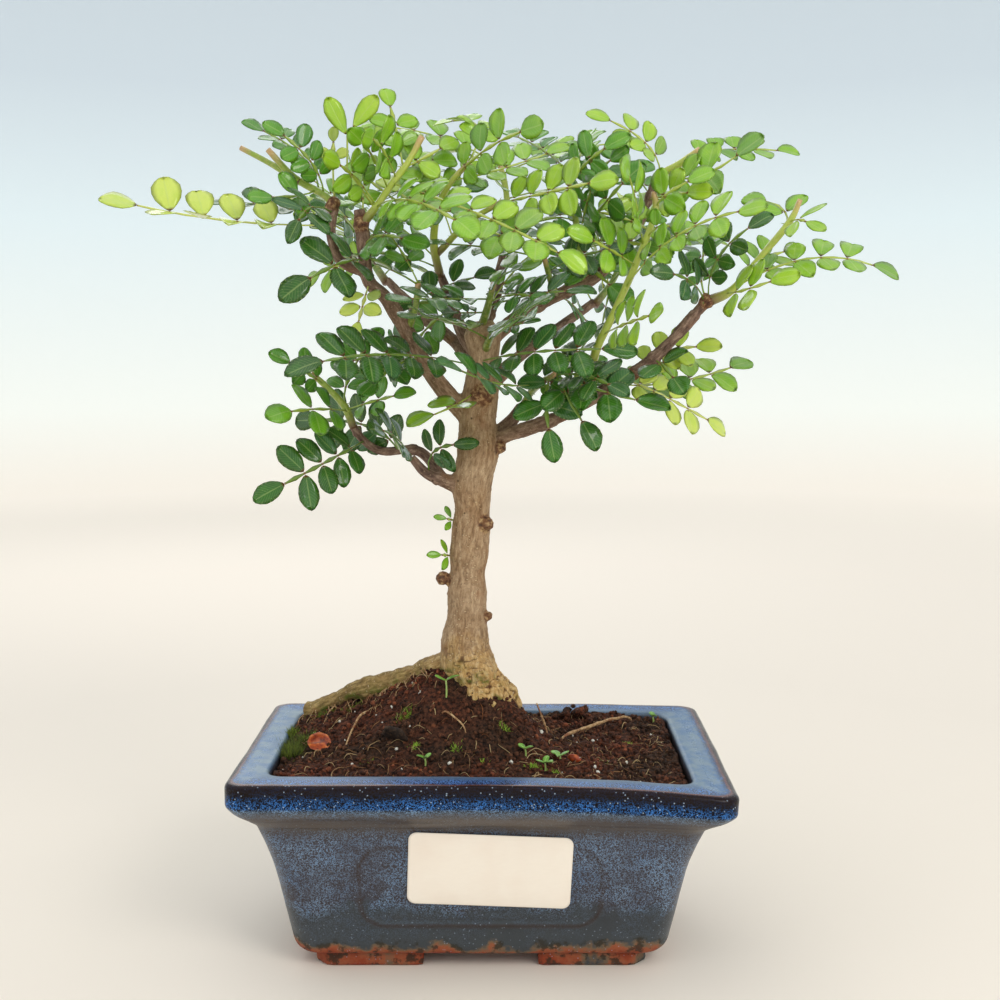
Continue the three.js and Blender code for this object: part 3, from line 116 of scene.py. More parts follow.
def curve_through(places, steps):
    """Catmull-Rom curve: a cubic over each span whose slope at a place is half the step between its
    neighbours. Each row may carry more than a place, such as a radius, and that is blended evenly."""
    places = np.asarray(places, float)
    ends = np.vstack([2 * places[0] - places[1], places, 2 * places[-1] - places[-2]])
    share = np.arange(steps)[:, None] / steps
    a, b, c, d = (ends[i:len(ends) - 3 + i, None] for i in range(4))
    bend = a - 2.5 * b + 2 * c - d / 2
    cubic = b + share * ((c - a) / 2 + share * (bend + share * (1.5 * (b - c) + (d - a) / 2)))
    cubic[..., 3:] = (b + share * (c - b))[..., 3:]
    return np.vstack([cubic.reshape(-1, places.shape[1]), places[-1:]])


def unit(vectors):
    """Each vector divided by its length."""
    return vectors / np.maximum(np.linalg.norm(vectors, axis=-1, keepdims=True), 1e-12)


def frames_along(line):
    """Forward, side and back at every point of a line: forward is the step between its neighbours, and
    side is square to it and to the axis that the whole line follows least."""
    forward = unit(np.gradient(line, axis=0))
    spare = np.eye(3)[np.abs(forward).sum(0).argmin()]
    side = unit(np.cross(forward, spare))
    return forward, side, np.cross(forward, side)


def tube(stations, sides=8, steps=3, start=0):
    """Circle carried along the curve through stations of place and radius, with a point at each end:
    centre + radius (side cos a + back sin a). Gives points, quads, triangles and the share along."""
    line = curve_through(stations, steps)
    centre, radius = line[:, :3], line[:, 3]
    _, side, back = frames_along(centre)
    angle = 2 * np.pi * np.arange(sides) / sides
    around = side[:, None] * np.cos(angle)[:, None] + back[:, None] * np.sin(angle)[:, None]
    rings = (centre[:, None] + radius[:, None, None] * around).reshape(-1, 3)
    points = np.vstack([rings, centre[:1], centre[-1:]])
    first, last = np.arange(sides) + start, np.arange(sides) + start + len(rings) - sides
    tips = [fan_faces(first, start + len(rings), flip=True), fan_faces(last, start + len(rings) + 1)]
    share = np.append(np.repeat(np.linspace(0, 1, len(line)), sides), [0, 1])
    return points, grid_faces(len(line), sides, closed=True, start=start), np.vstack(tips), share


# %% Noise


def noise(points, size, seed=0):
    """Value noise from -1 to 1: a lattice of cells of that size with a scrambled number at each corner,
    blended across each cell by 3t^2 - 2t^3."""
    scaled = np.asarray(points, float) / size
    cell = np.floor(scaled).astype(np.int64)
    blend = scaled - cell
    blend = blend * blend * (3 - 2 * blend)
    total = np.zeros(len(scaled))
    for corner in itertools.product((0, 1), repeat=3):
        mixed = ((cell + corner) * [73856093, 19349663, 83492791]).sum(1) + seed * 2654435761
        mixed = ((mixed ^ (mixed >> 15)) * 2246822519) & 0xFFFFFFFF
        mixed = ((mixed ^ (mixed >> 13)) * 3266489917) & 0xFFFFFFFF
        weight = np.where(corner, blend, 1 - blend).prod(1)
        total += weight * ((mixed >> 8) / 0x7FFFFF - 1)
    return total


def rough(points, size, octaves=3, seed=0):
    """Sum of noises, each half as large and half as strong as the last."""
    layers = [noise(points, size / 2**i, seed + i) / 2**i for i in range(octaves)]
    return np.sum(layers, axis=0)


def smoothstep(low, high, value):
    """0 below low, 1 above high, and 3t^2 - 2t^3 between."""
    share = np.clip((value - low) / (high - low), 0, 1)
    return share * share * (3 - 2 * share)


print("noise spreads over", noise(np.random.default_rng(1).random((9, 3)) * 50, 4).round(2))

# %% [markdown]
# ## Materials as short recipes
# Every finish is a Principled shader fed by a few nodes. A small class keeps each recipe readable: it
# adds a node, sets its sockets by name, and links whatever is handed to it. Patterns read Object
# coordinates in metres, so a size given in millimetres is turned into a texture scale once.

# %% The recipe class


class Recipe:
    """One material: its nodes are added by method calls, and the finished sockets go to the shader."""

    def __init__(self, name, **fixed):
        self.material = bpy.data.materials.new(name)
        self.material.use_nodes = True
        self.tree = self.material.node_tree
        self.shader = self.tree.nodes["Principled BSDF"]
        self.place = self.node("ShaderNodeTexCoord").outputs["Object"]
        for socket, value in fixed.items():
            self.shader.inputs[socket.replace("_", " ")].default_value = value

    def node(self, kind, inputs=(), **settings):
        made = self.tree.nodes.new(kind)
        for title, value in settings.items():
            setattr(made, title, value)
        for socket, value in dict(inputs).items():
            self.give(made.inputs[socket], value)
        return made

    def give(self, socket, value):
        if isinstance(value, bpy.types.NodeSocket):
            self.tree.links.new(value, socket)
        else:
            socket.default_value = value

    def value(self, name):
        return self.node("ShaderNodeAttribute", attribute_name=name).outputs["Fac"]

    def vector(self, name):
        return self.node("ShaderNodeAttribute", attribute_name=name).outputs["Vector"]

    def noise(self, size, detail=2.0, roughness=0.5, place=None, offset=(0, 0, 0), stretch=(1, 1, 1)):
        """Noise from 0 to 1 with patches of that size in millimetres, stretched by shares on each axis."""
        scale = [1 / (size * MILLIMETRE * share) for share in stretch]
        mapping = {"Vector": place or self.place, "Location": offset, "Scale": scale}
        mapped = self.node("ShaderNodeMapping", mapping).outputs["Vector"]
        sockets = {"Vector": mapped, "Scale": 1.0, "Detail": detail, "Roughness": roughness}
        return self.node("ShaderNodeTexNoise", sockets).outputs["Fac"]

    def cells(self, size, place=None):
        """Distance to the nearest of scattered points that lie about that size in millimetres apart."""
        sockets = {"Vector": place or self.place, "Scale": 1 / (size * MILLIMETRE)}
        return self.node("ShaderNodeTexVoronoi", sockets).outputs["Distance"]

    def ramp(self, value, stops):
        """Colour or number by steps: stops are (position, value), read between evenly."""
        made = self.node("ShaderNodeValToRGB", {"Fac": value})
        elements = made.color_ramp.elements
        while len(elements) < len(stops):
            elements.new(0.5)
        for element, (position, colour) in zip(elements, sorted(stops, key=lambda stop: stop[0])):
            element.position = position
            element.color = (*shade(colour), 1)
        return made.outputs["Color"]

    def math(self, operation, *values):
        made = self.node("ShaderNodeMath", operation=operation)
        for socket, value in zip(made.inputs, values):
            self.give(socket, value)
        return made.outputs[0]

    def product(self, *factors):
        return functools.reduce(lambda done, factor: self.math("MULTIPLY", done, factor), factors)

    def total(self, *terms):
        return functools.reduce(lambda done, term: self.math("ADD", done, term), terms)

    def from_half(self, value):
        """How far a value lies from 0.5, either way."""
        return self.math("ABSOLUTE", self.math("SUBTRACT", value, 0.5))

    def parts(self, vector):
        """The three numbers of a vector."""
        made = self.node("ShaderNodeSeparateXYZ", {"Vector": vector})
        return [made.outputs[axis] for axis in "XYZ"]

    def between(self, value, low, high, first=0.0, last=1.0):
        sockets = {"Value": value, "From Min": low, "From Max": high, "To Min": first, "To Max": last}
        return self.node("ShaderNodeMapRange", sockets, clamp=True).outputs["Result"]

    def mix(self, share, first, second, blend="MIX"):
        made = self.node("ShaderNodeMix", data_type="RGBA", blend_type=blend)
        self.give(made.inputs["Factor"], share)
        for socket, value in (("A", first), ("B", second)):
            colour = value if isinstance(value, bpy.types.NodeSocket) else (*shade(value), 1)
            self.give([s for s in made.inputs if s.name == socket and s.type == "RGBA"][0], colour)
        return [s for s in made.outputs if s.type == "RGBA"][0]

    def bump(self, height, strength, distance):
        """Shading relief of that depth in millimetres."""
        sockets = {"Height": height, "Strength": strength, "Distance": distance * MILLIMETRE}
        self.give(self.shader.inputs["Normal"], self.node("ShaderNodeBump", sockets).outputs["Normal"])

    def finish(self, colour=None, roughness=None):
        if colour is not None:
            self.give(self.shader.inputs["Base Color"], colour)
        if roughness is not None:
            self.give(self.shader.inputs["Roughness"], roughness)
        return self.material


def shade(colour):
    """Linear red, green and blue of a screen colour written as 0xRRGGBB; a number gives that grey."""
    if isinstance(colour, float):
        return (colour,) * 3
    channels = np.array([(colour >> shift) & 255 for shift in (16, 8, 0)]) / 255
    return tuple(np.where(channels <= 0.04045, channels / 12.92, ((channels + 0.055) / 1.055) ** 2.4))


print("mid grey is linear", round(shade(0x808080)[0], 3))

# %% [markdown]
# ## Camera, floor and light
# The photograph looks from a little above the rim, from 415 mm in front of the pot, with a lens that
# is neither wide nor long. A pale bowl of floor that turns up far from the tree, beyond every camera,
# leaves no horizon. Four large soft lights stand for a bright cloudy sky.

# %% Camera
EYE = np.array([6.0, -415.0, 188.0])
LENS = 46.44
PITCH = 6.1

camera = bpy.data.objects.new("camera", bpy.data.cameras.new("camera"))
bpy.context.collection.objects.link(camera)
camera.data.lens = LENS
camera.data.sensor_width = 36
camera.data.clip_start = 0.01
camera.location = in_frame(EYE)
camera.rotation_euler = (math.radians(90 - PITCH), 0, 0)
bpy.context.scene.camera = camera
print("camera at", [round(x, 4) for x in camera.location])

# %% Floor
FLOOR_RADIUS = 1500
BOWL_RADIUS = 700
BOWL_HEIGHT = 1150
FLOOR_RINGS, BOWL_RINGS = 12, 24
FLOOR_SIDES = 96
# How bright the cloth of the bowl glows, far from the tree.
GLOW = 0.3


def floor_bowl():
    """Flat disc, then a quarter circle, then an upright wall, turned round the middle."""
    turn = np.linspace(0, np.pi / 2, BOWL_RINGS)[1:]
    disc = np.linspace(0, FLOOR_RADIUS, FLOOR_RINGS)
    out = np.concatenate([disc, FLOOR_RADIUS + BOWL_RADIUS * np.sin(turn)])
    up = np.concatenate([0 * disc, BOWL_RADIUS * (1 - np.cos(turn))])
    out, up = np.append(out, out[-1]), np.append(up, BOWL_HEIGHT)
    angle = np.linspace(0, 2 * np.pi, FLOOR_SIDES, endpoint=False)
    x, y = out[:, None] * np.cos(angle), out[:, None] * np.sin(angle)
    points = np.stack([x, y, np.broadcast_to(up[:, None], x.shape)], -1).reshape(-1, 3)
    return points, grid_faces(len(out), FLOOR_SIDES, closed=True)


def floor_paint():
    paint = Recipe("floor_paint", Roughness=0.9, Specular_IOR_Level=0.2)
    _, _, height = paint.parts(paint.place)
    away = paint.node("ShaderNodeVectorMath", {0: paint.place}, operation="LENGTH").outputs["Value"]
    risen = paint.between(height, 0.0, 0.9)
    colour = paint.ramp(risen, [(0.0, 0xF3E9DC), (0.12, 0xF4F4EC), (0.5, 0xE4EFF2), (0.8, 0xD4DEE6)])
    # Painted light: the bowl glows by its own emission, none within 0.35 m of the tree and up to GLOW far
    # off, dimmer up the wall, though it is no lamp.
    paint.shader.inputs["Emission Strength"].default_value = 1.0
    fading = paint.between(risen, 0.0, 1.0, GLOW, 0.4 * GLOW)
    lit = paint.product(paint.between(away, 0.35, 1.5), fading)
    glow = paint.mix(lit, 0x000000, colour)
    paint.give(paint.shader.inputs["Emission Color"], glow)
    return paint.finish(colour)


floor_points, floor_faces = floor_bowl()
floor_mesh = bpy.data.meshes.new("floor")
floor_mesh.from_pydata(in_frame(floor_points), [], floor_faces.tolist())
floor_mesh.polygons.foreach_set("use_smooth", np.full(len(floor_mesh.polygons), True))
floor = bpy.data.objects.new("floor", floor_mesh)
bpy.context.collection.objects.link(floor)
floor.data.materials.append(floor_paint())
print("floor faces:", len(floor_mesh.polygons))

# %% Lights


def soft_light(name, place, target, size, power, colour=(1, 1, 1)):
    """Square light of that size in millimetres, facing its target."""
    lamp = bpy.data.objects.new(name, bpy.data.lights.new(name, "AREA"))
    lamp.data.size = size * MILLIMETRE
    lamp.data.energy = power
    lamp.data.color = colour
    bpy.context.collection.objects.link(lamp)
    lamp.location = in_frame(place)
    aim = in_frame(target) - in_frame(place)
    lamp.rotation_euler = Vector(aim).to_track_quat("-Z", "Y").to_euler()


TREE_MIDDLE = (0, 0, 150)
soft_light("sky_light", (-150, -100, 950), TREE_MIDDLE, 800, 0.9)
soft_light("key_light", (520, -620, 620), TREE_MIDDLE, 420, 3.0, (1.0, 0.97, 0.92))
soft_light("left_light", (-750, -350, 380), TREE_MIDDLE, 600, 0.5)
soft_light("back_light", (-200, 800, 650), TREE_MIDDLE, 600, 1.4)

world = bpy.context.scene.world or bpy.data.worlds.new("world")
bpy.context.scene.world = world
world.use_nodes = True
world.node_tree.nodes["Background"].inputs["Color"].default_value = (*shade(0xF3F6F8), 1)
world.node_tree.nodes["Background"].inputs["Strength"].default_value = 0.8
bpy.context.scene.view_settings.view_transform = "Standard"

# %% [markdown]
# ## The pot's form
# The pot was cast as a rounded rectangle whose wall leans out, flares under the rim and ends in an
# upright band. A profile carried round that outline gives it in one sheet. Cast clay has no sharp
# corner, so each corner of the profile is rounded; the kiln let the right end of the rim sink, and
# the same formula as in the CAD model lowers it.

# %% Pot sizes
RIM_LENGTH = 152
RIM_WIDTH = 95
RIM_TOP = 64
LIP = 10.6
WALL = 6
FOOT_HEIGHT = 4.6
FLOOR_TOP = 12
WALL_TOP = 47.4
SINK_FRONT = 4.2
SINK_BACK = 1
SPREAD = 1.5
BASE_HALF_LENGTH = 58.5
BASE_HALF_WIDTH = 31.5
WALL_LEAN_X = 0.195
WALL_LEAN_Y = 0.1475


def wall_half_length(z):
    return BASE_HALF_LENGTH + 0.6 + WALL_LEAN_X * (z - FOOT_HEIGHT - 2)


def wall_half_width(z):
    return BASE_HALF_WIDTH + 0.5 + WALL_LEAN_Y * (z - FOOT_HEIGHT - 2)


def sunk(x, y, z):
    """Sink = (share to the right)^2 (share of the height)^2, times 1 mm at the back to 4.2 in front."""
    right = np.maximum(0, np.asarray(x) / (RIM_LENGTH / 2)) ** 2
    front = np.clip(0.5 - np.asarray(y) / RIM_WIDTH, 0, 1)
    high = ((np.asarray(z) - FOOT_HEIGHT) / (RIM_TOP - FOOT_HEIGHT)) ** 2
    return right * high * (SINK_BACK + (SINK_FRONT - SINK_BACK) * front)


def spread_at(x, z):
    """The end that sank has spread: 1.5 mm (share of the height)^2 (share to the right)^10."""
    high = np.minimum(1, (z - FOOT_HEIGHT) / (RIM_TOP - FOOT_HEIGHT)) ** 2
    return SPREAD * high * np.maximum(0, x / (RIM_LENGTH / 2)) ** 10


# Rows of height, half length, half width, corner radius and the reach of the rounding there.
half_length, half_width = RIM_LENGTH / 2, RIM_WIDTH / 2
PROFILE = [
    (FOOT_HEIGHT, 20, 10, 6, 0),
    (FOOT_HEIGHT, BASE_HALF_LENGTH - 1, BASE_HALF_WIDTH - 1, 9, 1.2),
    (FOOT_HEIGHT + 2, wall_half_length(FOOT_HEIGHT + 2), wall_half_width(FOOT_HEIGHT + 2), 10, 2.4),
    (34, wall_half_length(34), wall_half_width(34), 9, 3),
    (41, wall_half_length(41) + 1.1, wall_half_width(41), 9, 3),
    (WALL_TOP, wall_half_length(WALL_TOP) + 2.3, wall_half_width(WALL_TOP), 8.5, 1.5),
    (50.4, half_length - 4.4, half_width - 6.1, 7.5, 1.5),
    (53.3, half_length - 1.9, half_width - 2.5, 6.5, 1.4),
    (55.8, half_length - 0.4, half_width - 0.5, 6, 0.9),
    (57, half_length, half_width, 5.5, 0.6),
    (RIM_TOP - 1, half_length, half_width, 5.5, 0.8),
    (RIM_TOP, half_length - 0.9, half_width - 0.9, 5, 0.9),
    (RIM_TOP - 0.2, half_length - LIP, half_width - LIP, 6, 0.9),
    (RIM_TOP - 1.2, half_length - LIP - 0.8, half_width - LIP - 0.8, 6, 0.8),
    (57, half_length - LIP - 1, half_width - LIP - 1, 6, 2),
    (WALL_TOP, wall_half_length(WALL_TOP) - WALL, wall_half_width(WALL_TOP) - WALL, 6, 3),
    (FLOOR_TOP, wall_half_length(FLOOR_TOP) - WALL, wall_half_width(FLOOR_TOP) - WALL, 6, 1.5),
    (FLOOR_TOP, 16, 8, 6, 0),
]


COARSE_RINGS = 48
FINE_STRETCH = (38, 119)
FINE_STEP = 0.72


def rounded_profile(rows):
    """Each corner becomes the curve (1-t)^2 a + 2t(1-t) corner + t^2 b, where a and b lie the corner's
    reach before and after it. Points are then spread along it, closest on the outside and the lip."""
    rows = np.array(rows, float)
    places, reach = rows[:, :4], rows[:, 4]
    step = np.diff(places, axis=0)
    length = np.linalg.norm(step[:, :2], axis=1)
    toward = step / length[:, None]
    t = np.linspace(0, 1, 7)[:, None]
    path = [places[:1]]
    for i in range(1, len(places) - 1):
        near = places[i] - toward[i - 1] * min(reach[i], 0.45 * length[i - 1])
        far = places[i] + toward[i] * min(reach[i], 0.45 * length[i])
        path.append((1 - t) ** 2 * near + 2 * t * (1 - t) * places[i] + t**2 * far)
    path = np.vstack([*path, places[-1:]])
    run = np.append(0, np.cumsum(np.linalg.norm(np.diff(path[:, :2], axis=0), axis=1)))
    even = np.unique(np.append(np.linspace(0, run[-1], COARSE_RINGS), np.arange(*FINE_STRETCH, FINE_STEP)))
    return np.stack([np.interp(even, run, column) for column in path.T], 1), even


def ring_plan(along_length=116, along_width=70, arc=11):
    """Rounded rectangle as corner centre + corner (cos a, sin a). Gives the share of the half length
    and half width at which the centre stands, and the angle, all the way round."""
    sides = []
    for quarter in range(4):
        sign_x, sign_y = [(1, 1), (-1, 1), (-1, -1), (1, -1)][quarter]
        angle = (quarter + np.linspace(0, 1, arc)) * np.pi / 2
        sides.append(np.stack([np.full(arc, sign_x), np.full(arc, sign_y), angle], 1))
        count = along_length if quarter % 2 == 0 else along_width
        slide = np.linspace(1, -1, count + 2)[1:-1]
        moving = sign_x * slide if quarter % 2 == 0 else np.full(count, sign_x)
        level = np.full(count, sign_y) if quarter % 2 == 0 else sign_y * slide
        sides.append(np.stack([moving, level, np.full(count, (quarter + 1) * np.pi / 2)], 1))
    return np.vstack(sides).T


print("wall half length at its top:", round(wall_half_length(WALL_TOP), 2))

# %% [markdown]
# ## The pot's surface
# Relief goes in as a push along the outline's own outward direction: a moulded frame on the long
# sides, drawn by its distance to a rounded rectangle; a chip in the rim's band; and the slow waves
# and fine unevenness of a hand-finished casting.

# %% Pot relief
FRAME_HALF_LENGTH = 37
FRAME_LOW, FRAME_HIGH = 15.2, 41.5
FRAME_CORNER = 8
FRAME_RISE = 0.55
CHIP = (4.6, 58.2)
LABEL_LENGTH, LABEL_HEIGHT = 50, 24
LABEL_TURN = 2.3
LABEL_CENTRE = (2.9, 34.1)


def frame_relief(x, z):
    """Ridge along a rounded rectangle with a groove inside it: rise e^-(d/0.8)^2 less half of that
    1.5 mm further in, where d is the distance to the outline, negative inside."""
    beyond_x = np.abs(x) - (FRAME_HALF_LENGTH - FRAME_CORNER)
    beyond_z = np.abs(z - (FRAME_LOW + FRAME_HIGH) / 2) - ((FRAME_HIGH - FRAME_LOW) / 2 - FRAME_CORNER)
    outside_corner = np.hypot(np.maximum(beyond_x, 0), np.maximum(beyond_z, 0))
    d = outside_corner + np.minimum(np.maximum(beyond_x, beyond_z), 0) - FRAME_CORNER
    return FRAME_RISE * (np.exp(-((d / 0.8) ** 2)) - 0.5 * np.exp(-(((d + 1.5) / 1.0) ** 2)))


def pot_surface():
    """Profile carried round the rounded rectangle, pushed out by the relief and let down by the sink."""
    rows, run = rounded_profile(PROFILE)
    share_x, share_y, angle = ring_plan()
    z, a, b, r = (column[:, None] for column in rows.T)
    out_x, out_y = np.cos(angle), np.sin(angle)
    x, y = share_x * (a - r) + r * out_x, share_y * (b - r) + r * out_y
    z = np.broadcast_to(z, x.shape)
    grid = np.stack([x, y, z], -1).reshape(-1, 3)
    push = 0.28 * rough(grid, 26, 2, 5) + 0.05 * rough(grid, 3.2, 2, 9)
    outer = (run < run[rows[:, 0].argmax()])[:, None]
    on_wall = outer & (z > FOOT_HEIGHT + 1) & (z < WALL_TOP)
    flat = smoothstep(0.9, 0.99, np.abs(out_y))
    past_x = np.maximum(np.abs(x - LABEL_CENTRE[0]) - LABEL_LENGTH / 2, 0)
    past_z = np.maximum(np.abs(z - LABEL_CENTRE[1]) - LABEL_HEIGHT / 2, 0)
    label_room = smoothstep(1, 4, np.hypot(past_x, past_z))
    behind_label = np.where(y < 0, 0.25 + 0.75 * label_room, 1)
    relief = np.where(on_wall, flat * behind_label * frame_relief(x, z), 0)
    chip = np.exp(-(((x - CHIP[0]) / 1.5) ** 2) - ((z - CHIP[1]) / 2.6) ** 2) * (y < -40) * outer
    push = push.reshape(x.shape) * np.where(z > FOOT_HEIGHT + 0.5, 1, 0.2) + relief - 0.8 * chip
    push = np.where(z > FLOOR_TOP + 0.5, push, np.minimum(push, 0.1)) * np.where(outer, 1, -0.4)
    x, y = x + spread_at(x, z) + push * out_x, y + push * out_y
    points = np.stack([x, y, z - sunk(x, y, z) + 0.12 * noise(grid, 9, 3).reshape(x.shape) * (z > 60)], -1)
    return points, run, rows, np.clip(relief / FRAME_RISE, 0, 1)


pot_grid, pot_run, pot_rows, pot_ridge = pot_surface()
LIP_RUN = pot_run[pot_rows[:, 0].argmax()]
print("pot rings:", pot_grid.shape[:2], "run along the profile to the lip:", LIP_RUN.round(1))

# %% [markdown]
# ## Closing the pot
# The underside and the inside floor close at one point each. The drain holes are cut by a Boolean
# that is applied at once, and four angle feet stand under the corners. They are an outline carried
# up a short profile whose foot is a little smaller, as a hand-trimmed foot is.

# %% Pot piece
DRAIN_RADIUS = 7
DRAIN_SPACING = 56
DRAIN_SIDES = 48
# An angle foot: its inset from the base's edge, where its two arms end, their breadth and its cut corner.
FOOT_INSET_X, FOOT_INSET_Y = 6.5, 2.5
FOOT_END_X, FOOT_END_Y = 18, 12
FOOT_BREADTH = 9
FOOT_CUT = 4
# The finish reads the run along the profile in tenths of a metre; the feet lie at one run of it.
RUN_UNIT = 100
FEET_RUN = 0.39


def without(piece, cutter):
    """The piece's mesh with the cutter's taken out of it, as a finished mesh."""
    cut = piece.modifiers.new("drains", "BOOLEAN")
    cut.operation, cut.solver, cut.object = "DIFFERENCE", "EXACT", cutter
    whole = piece.evaluated_get(bpy.context.evaluated_depsgraph_get())
    mesh = bpy.data.meshes.new_from_object(whole)
    piece.modifiers.clear()
    piece.data = mesh
    bpy.data.objects.remove(cutter)


def foot_outline(sign_x, sign_y):
    """Corners of an angle foot seen from above, the way round that keeps its faces outwards."""
    far_x, far_y = BASE_HALF_LENGTH - FOOT_INSET_X, BASE_HALF_WIDTH - FOOT_INSET_Y
    near_x, near_y = far_x - FOOT_BREADTH, far_y - FOOT_BREADTH
    plan = np.array([
        (FOOT_END_X, far_y), (far_x - FOOT_CUT, far_y), (far_x, far_y - FOOT_CUT), (far_x, FOOT_END_Y),
        (near_x, FOOT_END_Y), (near_x, near_y), (FOOT_END_X, near_y),
    ])[::-1]
    plan = plan * [sign_x, sign_y]
    hub = np.array([far_x - FOOT_BREADTH / 2, far_y - FOOT_BREADTH / 2]) * [sign_x, sign_y]
    return (plan, hub) if sign_x * sign_y > 0 else (plan[::-1], hub)


def foot(sign_x, sign_y, start):
    """Outline with cut corners, carried through rows of height and inset."""
    plan, hub = foot_outline(sign_x, sign_y)
    ahead = np.roll(plan, -1, axis=0)
    share = np.linspace(0.06, 0.94, 14)[None, :, None]
    outline = (plan[:, None] * (1 - share) + ahead[:, None] * share).reshape(-1, 2)
    along = np.roll(outline, -1, axis=0) - np.roll(outline, 1, axis=0)
    inward = unit(np.stack([-along[:, 1], along[:, 0]], 1))
    rows = [(0, 0.9), (0.35, 0.3), (1.1, 0), (3, 0.1), (FOOT_HEIGHT + 1, -0.2)]
    rings = [np.column_stack([outline + inset * inward, np.full(len(outline), z)]) for z, inset in rows]
    points = np.vstack(rings)
    points[:, :2] += 0.15 * noise(points, 3, 4)[:, None]
    count, size = len(points), len(outline)
    points = np.vstack([points, [*hub, 0], [*hub, FOOT_HEIGHT + 1]])
    ring = np.arange(size) + start
    caps = [fan_faces(ring, start + count, flip=True), fan_faces(ring + count - size, start + count + 1)]
    return points, grid_faces(len(rows), size, closed=True, start=start), np.vstack(caps)


def make_pot():
    rings, around = pot_grid.shape[:2]
    points = pot_grid.reshape(-1, 3)
    count = len(points)
    closed = np.vstack([points, [0, 0, FOOT_HEIGHT], [0, 0, FLOOR_TOP]])
    ring = np.arange(around)
    caps = [fan_faces(ring, count, flip=True), fan_faces(ring + count - around, count + 1)]
    faces = [grid_faces(rings, around, closed=True), *caps]
    run = np.append(np.repeat(pot_run, around), [0, pot_run[-1]])
    to_corner = (np.abs(points[:, 0]) - RIM_LENGTH / 2) - (np.abs(points[:, 1]) - RIM_WIDTH / 2)
    ends = np.append(smoothstep(-3, 3, to_corner), [0, 0])
    ridge = np.append(pot_ridge.ravel(), [0, 0])
    marks = {"run": run / RUN_UNIT, "ends": ends, "ridge": ridge}
    body = add_piece("pot", closed, faces, "pot_glaze", ["pot"], **marks)
    radius = DRAIN_RADIUS * MILLIMETRE
    bpy.ops.mesh.primitive_cylinder_add(vertices=DRAIN_SIDES, radius=radius, depth=20 * MILLIMETRE)
    first = bpy.context.object
    for side in (-1, 1):
        cutter = bpy.data.objects.new("cutter", first.data.copy())
        bpy.context.collection.objects.link(cutter)
        cutter.location = in_frame((side * DRAIN_SPACING / 2, 0, FLOOR_TOP / 2))
        without(body, cutter)
    bpy.data.objects.remove(first)
    return body


def make_feet():
    blocks, quads, tris, start = [], [], [], 0
    for sign_x, sign_y in itertools.product((1, -1), repeat=2):
        points, sides, caps = foot(sign_x, sign_y, start)
        start += len(points)
        blocks.append(points)
        quads.append(sides)
        tris.append(caps)
    run = np.full(start, FEET_RUN)
    return add_piece("pot_feet", np.vstack(blocks), [*quads, *tris], "pot_glaze", run=run)


pot = make_pot()
pot_feet = make_feet()
print("pot faces:", len(pot.data.polygons), "feet faces:", len(pot_feet.data.polygons))

# %% [markdown]
# ## The glaze
# The colour follows the profile: bare terracotta at the foot, a slate body that the blue has crept
# over in fine worms and flecks, a dry grey cove, a near-black band, a rust line where the glaze
# thinned over the sharp crest, and a lip that is pale and satin. The run along the profile is kept on
# the mesh, so a colour ramp can lay the zones with crisp edges; worms are the places where a noise
# passes its middle value.

# %% Glaze
RAMP_SPAN = 1.25


def run_at(height):
    """Run, in the ramp's units, at which the outside of the pot passes that height."""
    outer = pot_run < LIP_RUN
    return np.interp(height, pot_rows[outer, 0], pot_run[outer]) / RUN_UNIT / RAMP_SPAN


